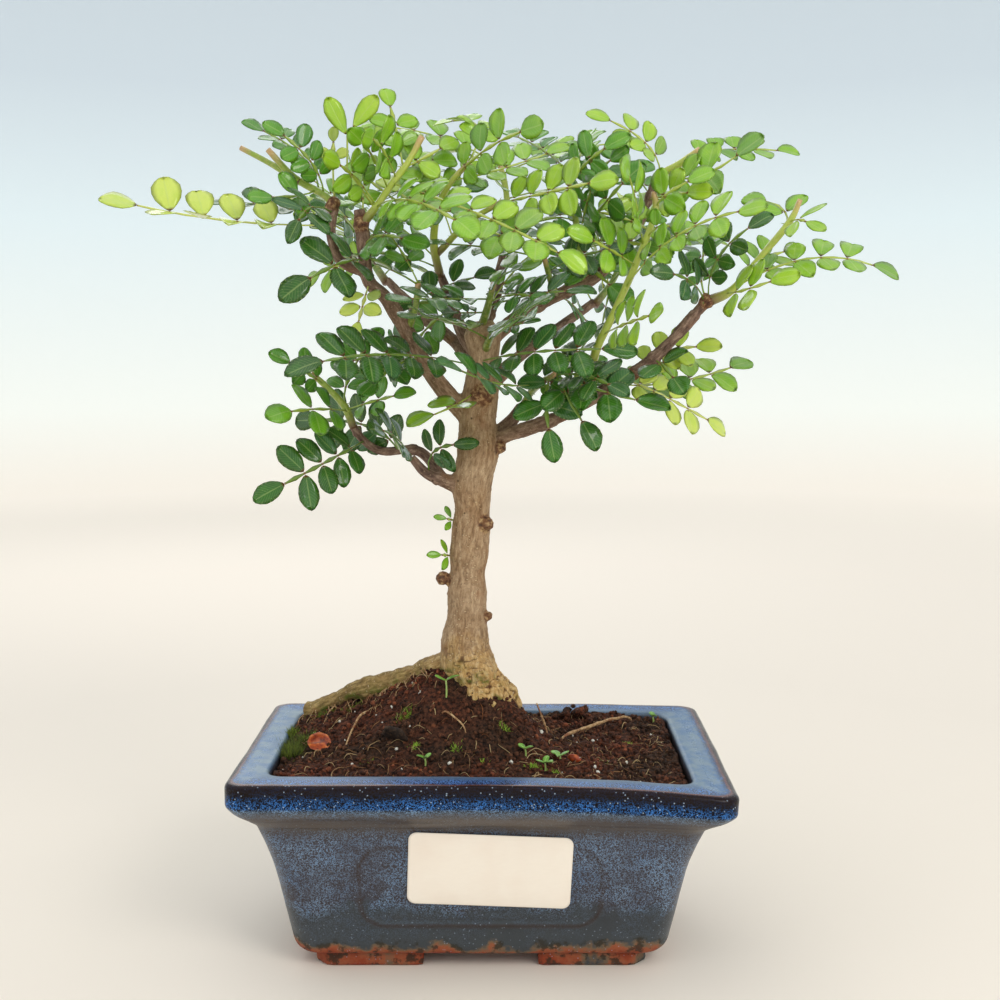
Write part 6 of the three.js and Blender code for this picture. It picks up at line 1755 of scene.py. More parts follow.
def stand(leaf, node, seed):
    """The first bend that leaves room, or the one that leaves most."""
    best, most = None, -np.inf
    for turn, step in itertools.product(TURN_STEPS, TIP_STEPS):
        tried = bent(leaf, step, turn, seed)
        room = room_left(tried, node)
        if room > most:
            best, most = tried, room
        if room >= 0:
            break
    add_standing(node, feelers_of(best), ROOM_FOR_LEAF, True)
    return best


def add_limb(node, stations):
    line = curve_through(at(stations), 4)
    add_standing(node, line[:, :3], line[:, 3] + ROOM_FOR_WOOD, False)


WOOD = -1
for stations in (TRUNK, *BRANCHES.values()):
    add_limb(WOOD, stations)
for order, spray in enumerate(SPRAYS.values()):
    for stations in spray.get("stems", []):
        add_limb(order, stations)
for order, spray in enumerate(SPRAYS.values()):
    spray["grown"] = [stand(each, order, 101 * (order + 1) + i) for i, each in enumerate(spray["leaves"])]
print("points standing in the crown:", len(standing["points"]))

# %% [markdown]
# ## Leaves between
# The photograph shows the crown as one dense cloud, with more leaves than can be placed one by one.
# Others therefore sprout from the same stems and twigs, reaching outwards and up by a draw. Each is
# bent clear like the rest, and it is kept only where the photograph's camera sees all of it within
# the outline of the crown, whose corners are read off the photograph in pixels.

# %% Leaves between
CROWN_OUTLINE = [
    (262, 178), (296, 146), (330, 138), (372, 116), (412, 108), (450, 112), (505, 104), (545, 132),
    (590, 118), (640, 140), (668, 168), (730, 140), (772, 144), (726, 172), (700, 196), (760, 204),
    (784, 222), (740, 246), (770, 262), (728, 292), (660, 290), (628, 330), (706, 346), (726, 378),
    (712, 406), (640, 404), (590, 440), (545, 452), (504, 442), (500, 398), (452, 396), (446, 474),
    (352, 472), (300, 440), (292, 402), (340, 386), (292, 366), (300, 344), (350, 334), (388, 326),
    (356, 292), (286, 294), (318, 262), (296, 232), (262, 216),
]
CROWN_MIDDLE = np.array([2, 205, -14])
CROWN_FRONT, CROWN_BACK, CROWN_TOP = -56, 88, 270
LENS_PIXELS = 1290
TRIES = 1400
FIRST_SEED = 7001
LEAST_ROOM = -0.4
TWIGS = ("left", "leftTwig", "centre", "right", "rightLower", "rightStub", "leftLower")


def seen_at(points):
    """Pixel of each place: 500 + 1290 times its step sideways or down over its distance ahead."""
    ahead = np.array([0, math.cos(math.radians(PITCH)), -math.sin(math.radians(PITCH))])
    above = np.array([0, math.sin(math.radians(PITCH)), math.cos(math.radians(PITCH))])
    step = points - EYE
    return 500 + LENS_PIXELS * np.stack([step[:, 0], -step @ above], 1) / (step @ ahead)[:, None]


def within(pixels, outline):
    """True where a ray to the right crosses the outline an odd number of times."""
    x, y = pixels.T
    crossed = np.zeros(len(x), bool)
    for (ax, ay), (bx, by) in zip(outline, outline[1:] + outline[:1]):
        spans = (ay > y) != (by > y)
        crossed ^= spans & (x < ax + (y - ay) * (bx - ax) / (by - ay + 1e-9))
    return crossed


def sprouting_places():
    """Places on the stems and twigs, 2 mm or so apart, with the spray that each belongs to."""
    lines = [(curve_through(np.array(stations, float), 4)[:, :3], order)
             for order, spray in enumerate(SPRAYS.values()) for stations in spray.get("stems", [])]
    on_stems = np.vstack([line for line, _ in lines])
    owners = np.concatenate([np.full(len(line), order) for line, order in lines])
    for name in TWIGS:
        line = curve_through(np.array(BRANCHES[name], float), 5)[8:, :3]
        nearest = np.linalg.norm(line[:, None] - on_stems, axis=2).argmin(1)
        lines.append((line, owners[nearest]))
    places = np.vstack([line for line, _ in lines])
    return places, np.concatenate([np.broadcast_to(order, len(line)) for line, order in lines])


def sprout(place, draws):
    """A leaf from there: its way is outwards from the crown's middle, a little upwards, and a draw."""
    way = unit(0.6 * unit(place - CROWN_MIDDLE) + draws.normal(0, 0.55, 3) + [0, 0.28, 0])
    length = draws.uniform(24, 40)
    sag = np.array([0, 0.1 * length, 0])
    size = draws.uniform(7.5, 11)
    return leaf(place, place + way * 0.5 * length + sag, place + way * length,
                tilt=draws.uniform(20, 75), pairs=int(draws.integers(3, 6)), size=size)


def leaves_between():
    draws = np.random.default_rng(77)
    places, owners = sprouting_places()
    kept = 0
    sprays = list(SPRAYS.values())
    for attempt in range(TRIES):
        pick = draws.integers(len(places))
        tried = bent(sprout(places[pick], draws), 0, 0, FIRST_SEED + attempt)
        feelers = feelers_of(tried)
        in_depth = (feelers[:, 1] > CROWN_FRONT) & (feelers[:, 1] < CROWN_BACK) & (feelers[:, 2] < CROWN_TOP)
        if not (in_depth.all() and within(seen_at(feelers), CROWN_OUTLINE).all()):
            continue
        order = owners[pick]
        if room_left(tried, order) < LEAST_ROOM:
            continue
        add_standing(order, feelers, ROOM_FOR_LEAF, True)
        high = smoothstep(180, 248, tried["tip"][2])
        tried["age"] = float(np.clip(0.12 + 0.5 * high + draws.normal(0, 0.15), 0.02, 0.88))
        sprays[order]["grown"].append(tried)
        kept += 1
    return kept


print("leaves between:", leaves_between())

# %% [markdown]
# ## A leaflet
# The leaflet is an oval blade, widest near its middle, with a scalloped edge, folded a little along
# its midrib and drooping at its tip. It is repeated many hundreds of times, so it has 64 faces: an
# upper and an under sheet that share their edge. One template of shares is bent for all the leaflets
# of a leaf at once, each with its own fold, droop, twist and wave.

# %% Leaflet template
ROWS = 7
COLUMNS = 5
BLADE_THICK = 0.42
MIDRIB_GROOVE = 0.12
SCALLOP = 0.03


def template():
    """Share along, share across and face (1 upper, -1 under, 0 at the edge) of each point, and faces."""
    along = (1 - np.cos(np.pi * np.arange(1, ROWS + 1) / (ROWS + 1))) / 2
    across = np.linspace(-1, 1, COLUMNS)
    upper = [(s, v, 0 if abs(v) == 1 else 1) for s in along for v in across]
    under = [(s, v, -1) for s in along for v in across[1:-1]]
    poles = [(0, 0, 0), (1, 0, 0)]
    on_top = np.arange(ROWS * COLUMNS).reshape(ROWS, COLUMNS)
    below = on_top.copy()
    below[:, 1:-1] = ROWS * COLUMNS + np.arange(len(under)).reshape(ROWS, -1)
    foot, tip = len(upper) + len(under), len(upper) + len(under) + 1
    quads, tris = [], []
    for sheet, order in ((on_top, 1), (below, -1)):
        corners = np.stack([sheet[:-1, :-1], sheet[:-1, 1:], sheet[1:, 1:], sheet[1:, :-1]], -1)
        quads.append(corners.reshape(-1, 4)[:, ::-order])
        for pole, row in ((foot, sheet[0]), (tip, sheet[-1][::-1])):
            ends = np.stack([row[1:], row[:-1], np.full(COLUMNS - 1, pole)], 1)
            tris.append(ends[:, ::order])
    return np.array(upper + under + poles, float), np.vstack(quads), np.vstack(tris)


SHARES, LEAFLET_QUADS, LEAFLET_TRIS = template()


def blades(foot, axis, across, up, length, width, draws, start, widest=1.0):
    """point = foot + axis s L + across v w(s) W/2 + up h, where w = sin(pi s^widest)^0.58 with a scallop
    at every other row, and h = (fold |v| + twist s v) w W/2 - droop s^2 L + 0.3 wave L sin(2 pi s), and
    half the thickness on each face, with a groove along the upper one's midrib."""
    count = len(foot)
    s, v, face = SHARES.T
    row = np.append(np.repeat(np.arange(ROWS), COLUMNS), [*np.repeat(np.arange(ROWS), COLUMNS - 2), 0, 0])
    outline = np.sin(np.pi * s**widest) ** 0.58 * (1 - SCALLOP * (row % 2) * np.abs(v))
    fold, droop, twist, wave = (draws.uniform(low, high, (count, 1)) for low, high in
                                ((0.05, 0.4), (-0.04, 0.2), (-0.3, 0.3), (-0.1, 0.1)))
    half = width / 2 * outline
    height = fold * np.abs(v) * half - droop * s**2 * length + twist * s * v * half
    height = height + wave * np.sin(2 * np.pi * s) * length * 0.3
    height = height + BLADE_THICK / 2 * face * np.sqrt(np.maximum(0, 1 - v**2))
    height = height - MIDRIB_GROOVE * (v == 0) * (face > 0)
    local = np.stack([s * length, v * half, height], -1)
    axes = np.stack([axis, across, up], 1)
    points = foot[:, None] + np.einsum("nij,njk->nik", local, axes)
    shift = start + len(s) * np.arange(count)[:, None, None]
    quads, tris = (LEAFLET_QUADS + shift).reshape(-1, 4), (LEAFLET_TRIS + shift).reshape(-1, 3)
    return points.reshape(-1, 3), quads, tris


print("faces of a leaflet:", len(LEAFLET_QUADS) + len(LEAFLET_TRIS))

# %% [markdown]
# ## A whole spray
# Each spray is one piece: its green stems, the winged ribs, the leaflets, and the pairs of small
# thorns that stand where a leaf joins. Its points carry what the finish needs: the share along and
# across the leaflet for the veins, the age of the leaf for its green, and which face it is.

# %% Ribs, thorns and sprays
AGES = {"dark": 0.08, "mid": 0.38, "bright": 0.68, "pale": 0.94}
FINE_SIZE = 0.94
ROUNDNESS = {"dark": 0.68, "mid": 0.78, "bright": 0.84, "pale": 0.8}
OVERLAP = 1.05
MOST_PAIRS = 8
JOINT_REACH = 0.45
WING = 0.5
LEAFLET, RIB, STEM = 0.0, 0.5, 1.0


class Gathered:
    """Points, faces and point values of a spray, gathered part by part."""

    def __init__(self):
        self.points, self.faces, self.leaf, self.look, self.count = [], [], [], [], 0

    def add(self, points, faces, leaf, look):
        count = len(points)
        self.points.append(points)
        self.faces.extend(faces)
        self.leaf.append(np.broadcast_to(leaf, (count, 3)))
        self.look.append(np.broadcast_to(look, (count, 3)))
        self.count += count


def winged_rib(leaf, rib_end, pairs, start):
    """Strip of four sides: 0.3 mm half wide on the stalk, then winged between joints. Each joint has a
    ring of its own and one on each side of it; the share returned is 0 at a joint and 1 between."""
    length = np.linalg.norm(leaf["base"] - leaf["middle"]) + np.linalg.norm(leaf["middle"] - leaf["tip"])
    joints = leaf["stalk"] + (rib_end - leaf["stalk"]) * np.arange(pairs + 1) / pairs
    beside = JOINT_REACH / length
    middles = (joints[:-1] + joints[1:]) / 2
    t = np.concatenate([[0, leaf["stalk"] / 2], joints - beside, joints, joints[:-1] + beside, middles])
    counts = [1, 1, pairs + 1, pairs + 1, pairs, pairs]
    share = np.repeat([0.6, 1, 0.5, 0, 0.5, 1], counts)
    half = np.repeat([0.42, 0.3, 0.34, 0.42, 0.34, 0.3 + WING], counts)
    order = np.argsort(t)
    t, share, half = t[order], share[order], half[order][:, None]
    origin, _, left, up = rib(leaf, t)
    rings = np.stack([origin + left * half, origin + up * 0.28, origin - left * half, origin - up * 0.32], 1)
    ends = [start + np.array([[0, 1, 2, 3]]), start + 4 * (len(t) - 1) + np.array([[3, 2, 1, 0]])]
    sides = grid_faces(len(t), 4, closed=True, start=start)[:, ::-1]
    return rings.reshape(-1, 3), [sides, *ends], np.repeat(share, 4)


def thorns(base, forward, left, draws, start):
    """Two cones beside a leaf's foot: four corners round the axis and a tip."""
    points, faces = [], []
    for side in (1, -1):
        axis = unit(left * side * draws.uniform(0.8, 1.1) + forward * draws.uniform(0.1, 0.5))
        round_one = unit(np.cross(axis, forward + 0.3 * left))
        round_two = np.cross(axis, round_one)
        foot = base + axis * 0.5
        turns = np.arange(4) * np.pi / 2
        ring = [foot + 0.34 * (round_one * math.cos(a) + round_two * math.sin(a)) for a in turns]
        points.extend([*ring, foot + axis * draws.uniform(1.2, 2.1)])
        first = start + len(points) - 5
        faces.append(np.array([[first + i, first + (i + 1) % 4, first + 4] for i in range(4)]))
        faces.append(np.array([[first + 3, first + 2, first + 1, first]]))
    return np.array(points), faces


def fine_leaf(leaf, kind, age, spray, draws):
    (*_, sizes, _), _, length = coarse_leaflets(leaf)
    size = sizes[-1, 0] * (FINE_SIZE if leaf["pairs"] > 1 else 1)
    rib_end = 1 - END_SHARE * size / length
    coarse = (len(sizes) - 1) // 2
    broad = ROUNDNESS[kind] * draws.uniform(0.92, 1.08) if leaf["pairs"] > 1 else 0.5
    fitting = round((rib_end - leaf["stalk"]) * length / (broad * size))
    pairs = coarse if leaf["pairs"] == 1 else min(max(fitting, coarse), MOST_PAIRS)
    spacing = (rib_end - leaf["stalk"]) * length / pairs
    width = min(broad * size, OVERLAP * spacing if pairs > 1 else size)
    leaflets = leaflets_of(leaf, pairs, size, width, rib_end, draws_from(leaf["seed"]))
    count = len(leaflets[0])
    points, quads, tris = blades(*leaflets, draws, spray.count, widest=1.4 if leaf["pairs"] == 1 else 1.15)
    tone = np.clip(age + draws.uniform(-0.1, 0.1) + draws.uniform(-0.05, 0.05, (count, 1)), 0, 1)
    under = np.tile(SHARES[:, 2] < 0, (count, 1))
    look = np.stack([np.broadcast_to(tone, under.shape), under, np.full(under.shape, LEAFLET)], -1)
    along, across = (np.tile(SHARES[:, axis], (count, 1)) for axis in (0, 1))
    own = np.broadcast_to(draws.uniform(0, 1, (count, 1)), under.shape)
    vein = np.stack([along, across, own], -1)
    spray.add(points, [quads, tris], vein.reshape(-1, 3), look.reshape(-1, 3))
    points, faces, from_joint = winged_rib(leaf, rib_end, pairs, spray.count)
    along_rib = np.column_stack([from_joint, np.full(len(points), 0.9), np.full(len(points), 0.5)])
    spray.add(points, faces, along_rib, (tone.mean(), 0, RIB))
    _, forward, left, _ = (vectors[0] for vectors in rib(leaf, 0.02))
    points, faces = thorns(leaf["base"], forward, left, draws, spray.count)
    spray.add(points, faces, (0.5, 0.9, 0.5), (tone.mean(), 0, STEM))


def make_spray(name, grown, order):
    draws = np.random.default_rng(900 + order)
    spray = Gathered()
    for stations in grown.get("stems", []):
        line = swollen(at(stations), order)
        points, quads, tips, share = tube(line, sides=8, steps=1, start=spray.count)
        stem = np.stack([share, np.full(len(share), 0.9), np.full(len(share), 0.5)], 1)
        spray.add(points, [quads, tips], stem, (AGES[grown["age"]], 0, STEM))
    for each in grown["grown"]:
        fine_leaf(each, grown["age"], each.get("age", AGES[grown["age"]]), spray, draws)
    slots = {"dark": "leaf_dark", "mid": "leaf_mid", "bright": "leaf_bright", "pale": "leaf_pale"}
    return add_piece(name, np.vstack(spray.points), spray.faces, slots[grown["age"]], [name],
                     leaf=np.vstack(spray.leaf), look=np.vstack(spray.look))


sprays = [make_spray(name, grown, order) for order, (name, grown) in enumerate(SPRAYS.items())]
print("foliage faces:", sum(len(piece.data.polygons) for piece in sprays))

# %% [markdown]
# ## Leaf finish
# Old leaves are a deep glossy green, and a few get a bluish tint, a painted reflection of the sky in
# their gloss; new growth is yellow-green. The underside is paler and duller. A pale midrib and side veins
# are drawn from the shares kept on the blade, oil glands are pale dots, and each leaflet has a red-brown
# joint at its foot. Waxy gloss comes from a thin coat over a rougher leaf.

# %% Leaf


def leaf_finish():
    green = Recipe("leaf", Coat_Weight=0.7, Coat_Roughness=0.1, Specular_IOR_Level=0.3)
    along, across, own = green.parts(green.vector("leaf"))
    age, under, kind = green.parts(green.vector("look"))
    mottle = green.between(green.noise(3.5, 3), 0.3, 0.7, -0.05, 0.05)
    aged = green.total(age, mottle, green.between(along, 0, 1, -0.03, 0.03))
    upper = green.ramp(aged, [(0.0, 0x27540C), (0.18, 0x357012), (0.4, 0x569418), (0.62, 0x80B41E),
                              (0.8, 0xA4CA2E), (1.0, 0xCADA5C)])
    # Painted reflection: leaflets picked at random get a bluish tint that stands for the sky seen in their
    # gloss.
    painted_sky_reflection = green.between(own, 0.8, 0.95, 0, 0.35)
    upper = green.mix(painted_sky_reflection, upper, 0x3F6E4C)
    lower = green.ramp(aged, [(0.0, 0x6C9040), (0.4, 0x8CAE48), (0.8, 0xAAC858), (1.0, 0xC8DA78)])
    blade = green.mix(under, upper, lower)
    side = green.math("ABSOLUTE", across)
    midrib = green.between(side, 0.1, 0.02)
    slant = green.math("SUBTRACT", green.product(along, 11.0), green.product(side, 3.2))
    crest = green.from_half(green.math("FRACT", slant))
    veins = green.math("MAXIMUM", midrib, green.between(crest, 0.12, 0.03, 0.0, 0.5))
    vein_colour = green.mix(0.5, blade, 0xB9CE7A)
    blade = green.mix(green.product(veins, 0.55), blade, vein_colour)
    glands = green.between(green.cells(1.0), 0.16, 0.08, 0.0, 0.5)
    notch = green.from_half(green.math("FRACT", green.product(along, 8.0)))
    notches = green.product(green.between(notch, 0.2, 0.1), green.between(side, 0.84, 0.92))
    glands = green.math("MAXIMUM", glands, green.product(notches, 0.9))
    blade = green.mix(glands, blade, vein_colour)
    blade = green.mix(green.product(green.between(side, 0.9, 0.99), 0.35), blade, 0x4E5A1C)
    joint = green.between(along, 0.09, 0.03)
    blade = green.mix(green.product(joint, 0.85), blade, 0x8A4424)
    stem = green.ramp(aged, [(0.0, 0x62802A), (0.4, 0x8CA636), (0.7, 0xAEBE48), (1.0, 0xC6CE66)])
    is_stem = green.between(kind, 0.8, 0.9)
    streak = green.between(green.noise(1.2, 3, 0.6), 0.45, 0.65, 0.0, 0.35)
    stem = green.mix(green.product(streak, is_stem), stem, 0xC8C070)
    cut = green.product(green.between(along, 0.8, 0.97), is_stem)
    stem = green.mix(green.product(cut, 0.85), stem, 0xC79A70)
    wooden = green.between(along, 0.25, 0.0)
    stem = green.mix(green.product(wooden, is_stem), stem, 0x6B4A34)
    is_rib = green.product(green.between(kind, 0.3, 0.4), green.between(kind, 0.7, 0.6))
    stem = green.mix(green.product(is_rib, green.between(along, 0.6, 0.1, 0.0, 0.8)), stem, 0x8A4424)
    colour = green.mix(green.between(kind, 0.3, 0.4), blade, stem)
    green.bump(green.total(veins, green.between(glands, 0, 1, 0, 0.4)), 0.4, 0.12)
    return green.finish(colour, green.between(under, 0, 1, 0.38, 0.6))


leaf_green = leaf_finish()
for piece in sprays:
    piece.data.materials.append(leaf_green)
print("leaf nodes:", len(leaf_green.node_tree.nodes))

# %% [markdown]
# ## What lies and grows on the soil
# Seedlings of the weed kind stand near the trunk and the front rim: a stem with oval seed leaves. Two
# orange leaves and a dark chip have fallen, and twigs and rootlets lie about. Each is the CAD piece's
# own size and place, with a cupped blade in place of a flat one and a wavering tube for each twig.

# %% Seedlings
SEEDLINGS = {
    "seedling_by_trunk": {"x": -11.5, "y": -6, "height": 4, "leaves": 2, "size": 4.4, "turn": 8},
    "seedling_front_left": {"x": -17.3, "y": -25.3, "height": 1, "leaves": 3, "size": 2.8, "turn": 50},
    "seedling_middle": {"x": 14, "y": -17, "height": 1, "leaves": 3, "size": 3, "turn": 20},
    "seedling_front_middle": {"x": 20, "y": -23.9, "height": 1.2, "leaves": 3, "size": 3.4, "turn": 75},
    "seedling_front_right": {"x": 25, "y": -17.6, "height": 1.4, "leaves": 3, "size": 3.6, "turn": 15},
    "seedling_back_right": {"x": 60, "y": 30, "height": 0.8, "leaves": 2, "size": 2.8, "turn": 100},
}
SEED_LEAF_RISE = 25
SEED_LEAF_WIDTH = 0.7


def seed_leaves(top, turns, size, draws, start):
    """Oval blades from one place, each rising by 25 degrees along its own turn."""
    angle, rise = np.radians(turns), math.radians(SEED_LEAF_RISE)
    flat = np.zeros_like(angle)
    level, climb = math.cos(rise), math.sin(rise)
    axis = np.stack([np.cos(angle) * level, np.sin(angle) * level, flat + climb], 1)
    across = np.stack([-np.sin(angle), np.cos(angle), flat], 1)
    foot = np.broadcast_to(top, axis.shape)
    length = np.full((len(angle), 1), size) * draws.uniform(0.9, 1.1, (len(angle), 1))
    up, width = np.cross(axis, across), SEED_LEAF_WIDTH * length
    return blades(foot, axis, across, up, length, width, draws, start, 1.15)


def make_seedling(name, x, y, height, leaves, size, turn):
    draws = np.random.default_rng(int(1000 + 10 * turn + size))
    ground = float(soil_height(x, y))
    stations = [
        [x, y, ground - 3, 0.32],
        [x + 0.2, y, ground + 0.4 * height, 0.3],
        [x, y, ground + 1.1 + height, 0.26],
    ]
    points, quads, tips, _ = tube(np.array(stations, float), sides=8, steps=3)
    turns = turn + 360 * np.arange(leaves) / leaves
    blade_points, blade_quads, blade_tris = seed_leaves(stations[-1][:3], turns, size, draws, len(points))
    under = np.tile(SHARES[:, 2] < 0, leaves).astype(float)
    on_blades = np.column_stack([np.tile(SHARES[:, :2], (leaves, 1)), under])
    share = np.vstack([np.zeros((len(points), 3)), on_blades])
    stem = np.concatenate([np.ones(len(points)), np.zeros(len(blade_points))])
    return add_piece(name, np.vstack([points, blade_points]), [quads, tips, blade_quads, blade_tris],
                     "seedling_green", [name], share=share, stem=stem)


def seedling_finish():
    green = Recipe("seedling_green", Roughness=0.42, Coat_Weight=0.25, Coat_Roughness=0.25)
    along, across, under = green.parts(green.vector("share"))
    blade = green.ramp(green.total(along, green.between(green.noise(1.2, 3), 0.3, 0.7, -0.2, 0.2)),
                       [(0.0, 0x7FA83C), (0.5, 0x5F9A2C), (1.0, 0x86B548)])
    rib = green.between(green.math("ABSOLUTE", across), 0.12, 0.03, 0.0, 0.6)
    colour = green.mix(rib, blade, 0xB8D48A)
    colour = green.mix(green.product(under, 0.6), colour, 0xA6C47A)
    return green.finish(green.mix(green.value("stem"), colour, 0x9DB562), 0.42)


seedlings = [make_seedling(name, **sizes) for name, sizes in SEEDLINGS.items()]
seedling_green = seedling_finish()
for piece in seedlings:
    piece.data.materials.append(seedling_green)
print("seedlings:", len(seedlings))

# %% Fallen leaves and chip
FLAT_PIECES = {
    "fallen_leaf_left": [-53, -5.6, 8, 6.4, 8, 62, 20],
    "fallen_leaf_right": [29.5, -16, 5, 3.8, 6, 55, 150],
    "bark_chip": [-27.6, -13.2, 10, 7, 5, 58, 145],
}
CHIP_THICK, LEAF_THICK = 1.1, 0.55
CHIP_CUP, LEAF_CUP = 0.3, 1.5
RING_STEPS = 40


def make_flat_piece(name, x, y, length, width, corners, lean, turn):
    """Rings from the middle out on both faces, their corners rounded by r = 1 + 0.09 cos(corners a),
    cupped by rise r^2 and curled by noise; a leaf is thinner than its solid, a chip is not."""
    is_chip = name == "bark_chip"
    angle = 2 * np.pi * np.arange(RING_STEPS) / RING_STEPS
    reach = 0.96 + (0.08 if is_chip else 0.025) * np.cos(corners * angle + 0.6)
    thick = CHIP_THICK if is_chip else LEAF_THICK
    cup = CHIP_CUP if is_chip else LEAF_CUP
    upper = [(0.03, 1), (0.35, 1), (0.7, 1), (0.94, 0.85)]
    rows = [*upper, (1, 0), *[(r, -side) for r, side in reversed(upper)]]
    flat = np.concatenate([
        np.stack([
            r * reach * np.cos(angle) * length / 2,
            r * reach * np.sin(angle) * width / 2,
            cup * r**2 - cup / 2 + side * thick / 2 + 0 * angle,
        ], 1)
        for r, side in rows
    ])
    flat[:, 2] += 0.45 * noise(flat * [1, 1, 0], 2.6, 31)
    turned_x, turned_z = math.radians(lean), math.radians(turn)
    about_x = flat @ np.array([[1, 0, 0], [0, math.cos(turned_x), math.sin(turned_x)],
                               [0, -math.sin(turned_x), math.cos(turned_x)]])
    about_z = about_x @ np.array([[math.cos(turned_z), math.sin(turned_z), 0],
                                  [-math.sin(turned_z), math.cos(turned_z), 0], [0, 0, 1]])
    points = about_z + [x, y, float(soil_height(x, y)) + 0.3 * width]
    last = len(rows) * RING_STEPS
    points = np.vstack([points, points[:RING_STEPS].mean(0), points[-RING_STEPS:].mean(0)])
    ring = np.arange(RING_STEPS)
    faces = [grid_faces(len(rows), RING_STEPS, closed=True)[:, ::-1], fan_faces(ring, last),
             fan_faces(last - RING_STEPS + ring, last + 1, flip=True)]
    share = np.vstack([flat[:, :2] / [length / 2, width / 2], np.zeros((2, 2))])
    slot = "dark_bark_chip" if is_chip else "dry_leaf"
    return add_piece(name, points, faces, slot, [name], spread=np.column_stack([share, np.zeros(len(share))]))


def dry_leaf_finish():
    dry = Recipe("dry_leaf", Coat_Weight=0.3, Coat_Roughness=0.3)
    _, across, _ = dry.parts(dry.vector("spread"))
    blotch = dry.noise(1.6, 4)
    colour = dry.ramp(blotch, [(0.3, 0x5A1E10), (0.45, 0x9A3A14), (0.58, 0xC05A1C), (0.72, 0xD88A34)])
    rib = dry.between(dry.math("ABSOLUTE", across), 0.09, 0.03, 0.0, 0.7)
    colour = dry.mix(rib, colour, 0x6A2C12)
    dry.bump(dry.total(blotch, rib), 0.4, 0.1)
    return dry.finish(colour, 0.5)


def chip_finish():
    chip = Recipe("dark_bark_chip", Specular_IOR_Level=0.35)
    fibre = chip.noise(0.9, 5, 0.65, stretch=(1, 3, 1))
    colour = chip.ramp(fibre, [(0.3, 0x17110E), (0.5, 0x2E2119), (0.7, 0x57402F)])
    chip.bump(fibre, 0.7, 0.3)
    return chip.finish(colour, 0.85)


dry_leaf, dark_chip = dry_leaf_finish(), chip_finish()
for name, sizes in FLAT_PIECES.items():
    piece = make_flat_piece(name, *sizes)
    piece.data.materials.append(dark_chip if name == "bark_chip" else dry_leaf)
print("flat pieces:", list(FLAT_PIECES))

# %% Twigs and rootlets
FALLEN_TWIGS = {
    "twig_on_soil": [
        [25.5, 4, -1.6, 0.8], [28.5, 8, 1.4, 0.9], [37, 18, 1.8, 0.9], [50, 28, 1.6, 0.7],
        [53, 30, -1.2, 0.6],
    ],
    "twig_by_trunk": [[22, 1, -1.5, 0.6], [21, 1.6, 2, 0.6], [18.3, 2.6, 8, 0.5]],
    "rootlet_left": [
        [-44, -11, -1.2, 0.5], [-43.4, -8.6, 1.3, 0.5], [-42.4, -3, 1.5, 0.55], [-40, 3, 1.2, 0.55],
        [-36.5, 6.5, -1.5, 0.5],
    ],
    "rootlet_by_trunk": [
        [-13.2, -9.5, -1.4, 0.5], [-11.2, -11, 1.4, 0.5], [-6.5, -13.5, 1.3, 0.5], [-4, -16, -1.3, 0.4],
    ],
}
TWIG_SHARE = 0.72


def make_twig(name, stations):
    """A tube whose middle wavers by a third of a millimetre and whose width swells and shrinks."""
    path = np.array(stations, float)
    path[:, 2] += soil_height(path[:, 0], path[:, 1])
    line = curve_through(path, 9)
    line[:, :3] += 0.32 * np.stack([noise(line[:, :3], 4, 40 + axis) for axis in range(3)], 1)
    line[:, 3] *= TWIG_SHARE * (0.9 + 0.3 * noise(line[:, :3], 2.5, 44))
    points, quads, tips, share = tube(line, sides=10, steps=1)
    return add_piece(name, points, [quads, tips], "dead_twig", [name], share=share)


def twig_finish():
    twig = Recipe("dead_twig", Specular_IOR_Level=0.3)
    streak = twig.noise(0.8, 4, 0.6)
    patch = twig.noise(4, 3)
    colour = twig.ramp(streak, [(0.3, 0x6A4A30), (0.5, 0xA9845C), (0.7, 0xD6BB90)])
    colour = twig.mix(twig.between(patch, 0.5, 0.65), colour, 0x8A5A3C)
    twig.bump(streak, 0.5, 0.12)
    return twig.finish(colour, 0.75)


dead_twig = twig_finish()
for name, stations in FALLEN_TWIGS.items():
    make_twig(name, stations).data.materials.append(dead_twig)
print("twigs:", list(FALLEN_TWIGS))

# %% Hair roots
HAIR_ROOTS = 34
HAIR_SPREAD = 15


def hair_roots():
    """Thin roots that leave the surface root and run down the bank: each starts by a share along the
    root, steps outwards and down over the soil, and wanders by noise."""
    draws = np.random.default_rng(8)
    root = curve_through(at(BRANCHES["surfaceRoot"]), 6)[10:, :3]
    points, faces, start = [], [], 0
    for _ in range(HAIR_ROOTS):
        foot = root[draws.integers(len(root))]
        length, way = draws.uniform(5, HAIR_SPREAD), draws.uniform(-2.2, -0.9)
        share = np.linspace(0, 1, 7)
        gone = share * length
        drift_x = noise(np.outer(gone, [1, 0, 0]) + foot, 3, 51)
        drift_y = noise(np.outer(gone, [0, 1, 0]) + foot, 3, 52)
        x = foot[0] + gone * math.cos(way) + 0.9 * drift_x
        y = foot[1] + gone * math.sin(way) + 0.9 * drift_y
        z = soil_height(x, y) + 0.5 + 1.1 * (1 - share) + 0.3 * noise(np.stack([x, y, 0 * x], 1), 2, 53)
        thick = draws.uniform(0.12, 0.3) * (1 - 0.6 * share)
        made, quads, tips, _ = tube(np.column_stack([x, y, z, thick]), sides=5, steps=3, start=start)
        start += len(made)
        points.append(made)
        faces.extend([quads, tips])
    return add_piece("hair_roots", np.vstack(points), faces, "dead_twig")


hair_roots_piece = hair_roots()
hair_roots_piece.data.materials.append(dead_twig)
print("hair root faces:", len(hair_roots_piece.data.polygons))

# %% [markdown]
# ## Moss
# Tufts of moss grow by the left rim, on the underside of the surface root and in small bright spots on
# the soil. A tuft is many fine pointed leaves, each a three-sided cone that leans out from the tuft's
# middle, so a few faces repeated give the fur of it. Moss is only a dressing of the soil.

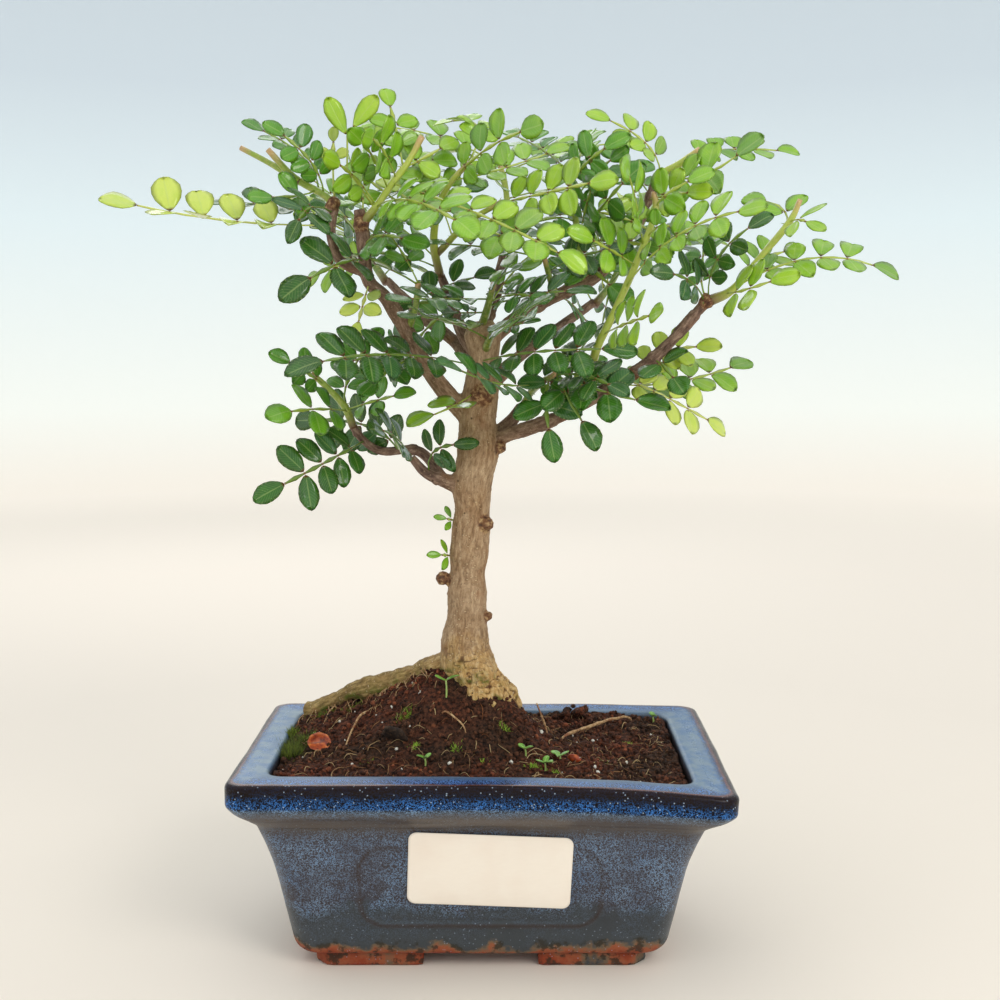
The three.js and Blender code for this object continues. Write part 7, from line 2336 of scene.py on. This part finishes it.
# %% Moss tufts
MOSS_TUFTS = [
    # x, y, spread along x, spread along y, leaves, length, brightness
    (-61.5, -6, 3.4, 7.0, 700, 4.4, 0.15), (-58, 2, 3.2, 3.0, 240, 3.0, 0.25),
    (-64, 9, 1.8, 4.0, 160, 2.6, 0.3), (-55, 16, 3.4, 1.6, 200, 2.0, 0.3), (-44, 13, 3.6, 1.2, 120, 1.6, 0.3),
    (-24.5, -6, 3.0, 1.6, 150, 1.8, 0.55), (-21, -17, 1.4, 1.2, 70, 1.5, 0.9),
    (-8, -20, 2.2, 1.6, 60, 1.4, 0.7),
    (2, -2, 2.6, 1.4, 110, 1.5, 0.8), (7, -10, 2.2, 1.2, 90, 1.4, 0.75), (1, -24, 1.4, 1.2, 60, 1.4, 0.95),
    (17, -23, 2.4, 1.2, 110, 1.6, 0.95), (23, -24, 1.6, 1.0, 60, 1.4, 0.85), (49, 8, 1.6, 1.4, 60, 1.4, 0.85),
    (-36, -20, 2.0, 1.6, 60, 1.3, 0.5), (40, -14, 2.0, 1.4, 50, 1.3, 0.5), (10, 4, 2.4, 1.6, 90, 1.5, 0.5),
]


def moss_tuft(x, y, spread_x, spread_y, count, length, brightness, draws, start):
    """Cones of three sides: foot on the soil by a normal draw, tip one leaf length along its lean."""
    out = draws.normal(0, 0.5, (count, 2))
    feet_x, feet_y = x + out[:, 0] * spread_x, y + out[:, 1] * spread_y
    feet = np.column_stack([feet_x, feet_y, soil_height(feet_x, feet_y) + soil_lumps(feet_x, feet_y) - 0.3])
    lean = np.column_stack([out * 0.7, np.full(count, 1.0)]) + draws.normal(0, 0.35, (count, 3))
    tips = feet + unit(lean) * length * draws.uniform(0.5, 1.15, (count, 1))
    turn = draws.uniform(0, 2 * np.pi, count)[:, None] + 2 * np.pi * np.arange(3) / 3
    ring = feet[:, None] + 0.16 * np.stack([np.cos(turn), np.sin(turn), 0 * turn], -1)
    points = np.concatenate([ring, tips[:, None]], 1).reshape(-1, 3)
    cone = np.array([[0, 1, 3], [1, 2, 3], [2, 0, 3], [2, 1, 0]])
    faces = (cone + start + 4 * np.arange(count)[:, None, None]).reshape(-1, 3)
    tone = np.repeat(np.clip(brightness + draws.normal(0, 0.15, count), 0, 1), 4)
    return points, faces, tone


def make_moss():
    draws = np.random.default_rng(12)
    points, faces, tones, start = [], [], [], 0
    for tuft in MOSS_TUFTS:
        made, cones, tone = moss_tuft(*tuft, draws, start)
        start += len(made)
        points.append(made)
        faces.append(cones)
        tones.append(tone)
    return add_piece("moss", np.vstack(points), faces, "seedling_green", tone=np.concatenate(tones))


def moss_finish():
    moss = Recipe("moss", Specular_IOR_Level=0.3)
    tones = [(0.0, 0x3A4416), (0.4, 0x6E7A24), (0.75, 0x8CB034), (1.0, 0xA8D04A)]
    return moss.finish(moss.ramp(moss.value("tone"), tones), 0.7)


moss_piece = make_moss()
moss_piece.data.materials.append(moss_finish())
print("moss leaves:", sum(tuft[4] for tuft in MOSS_TUFTS))
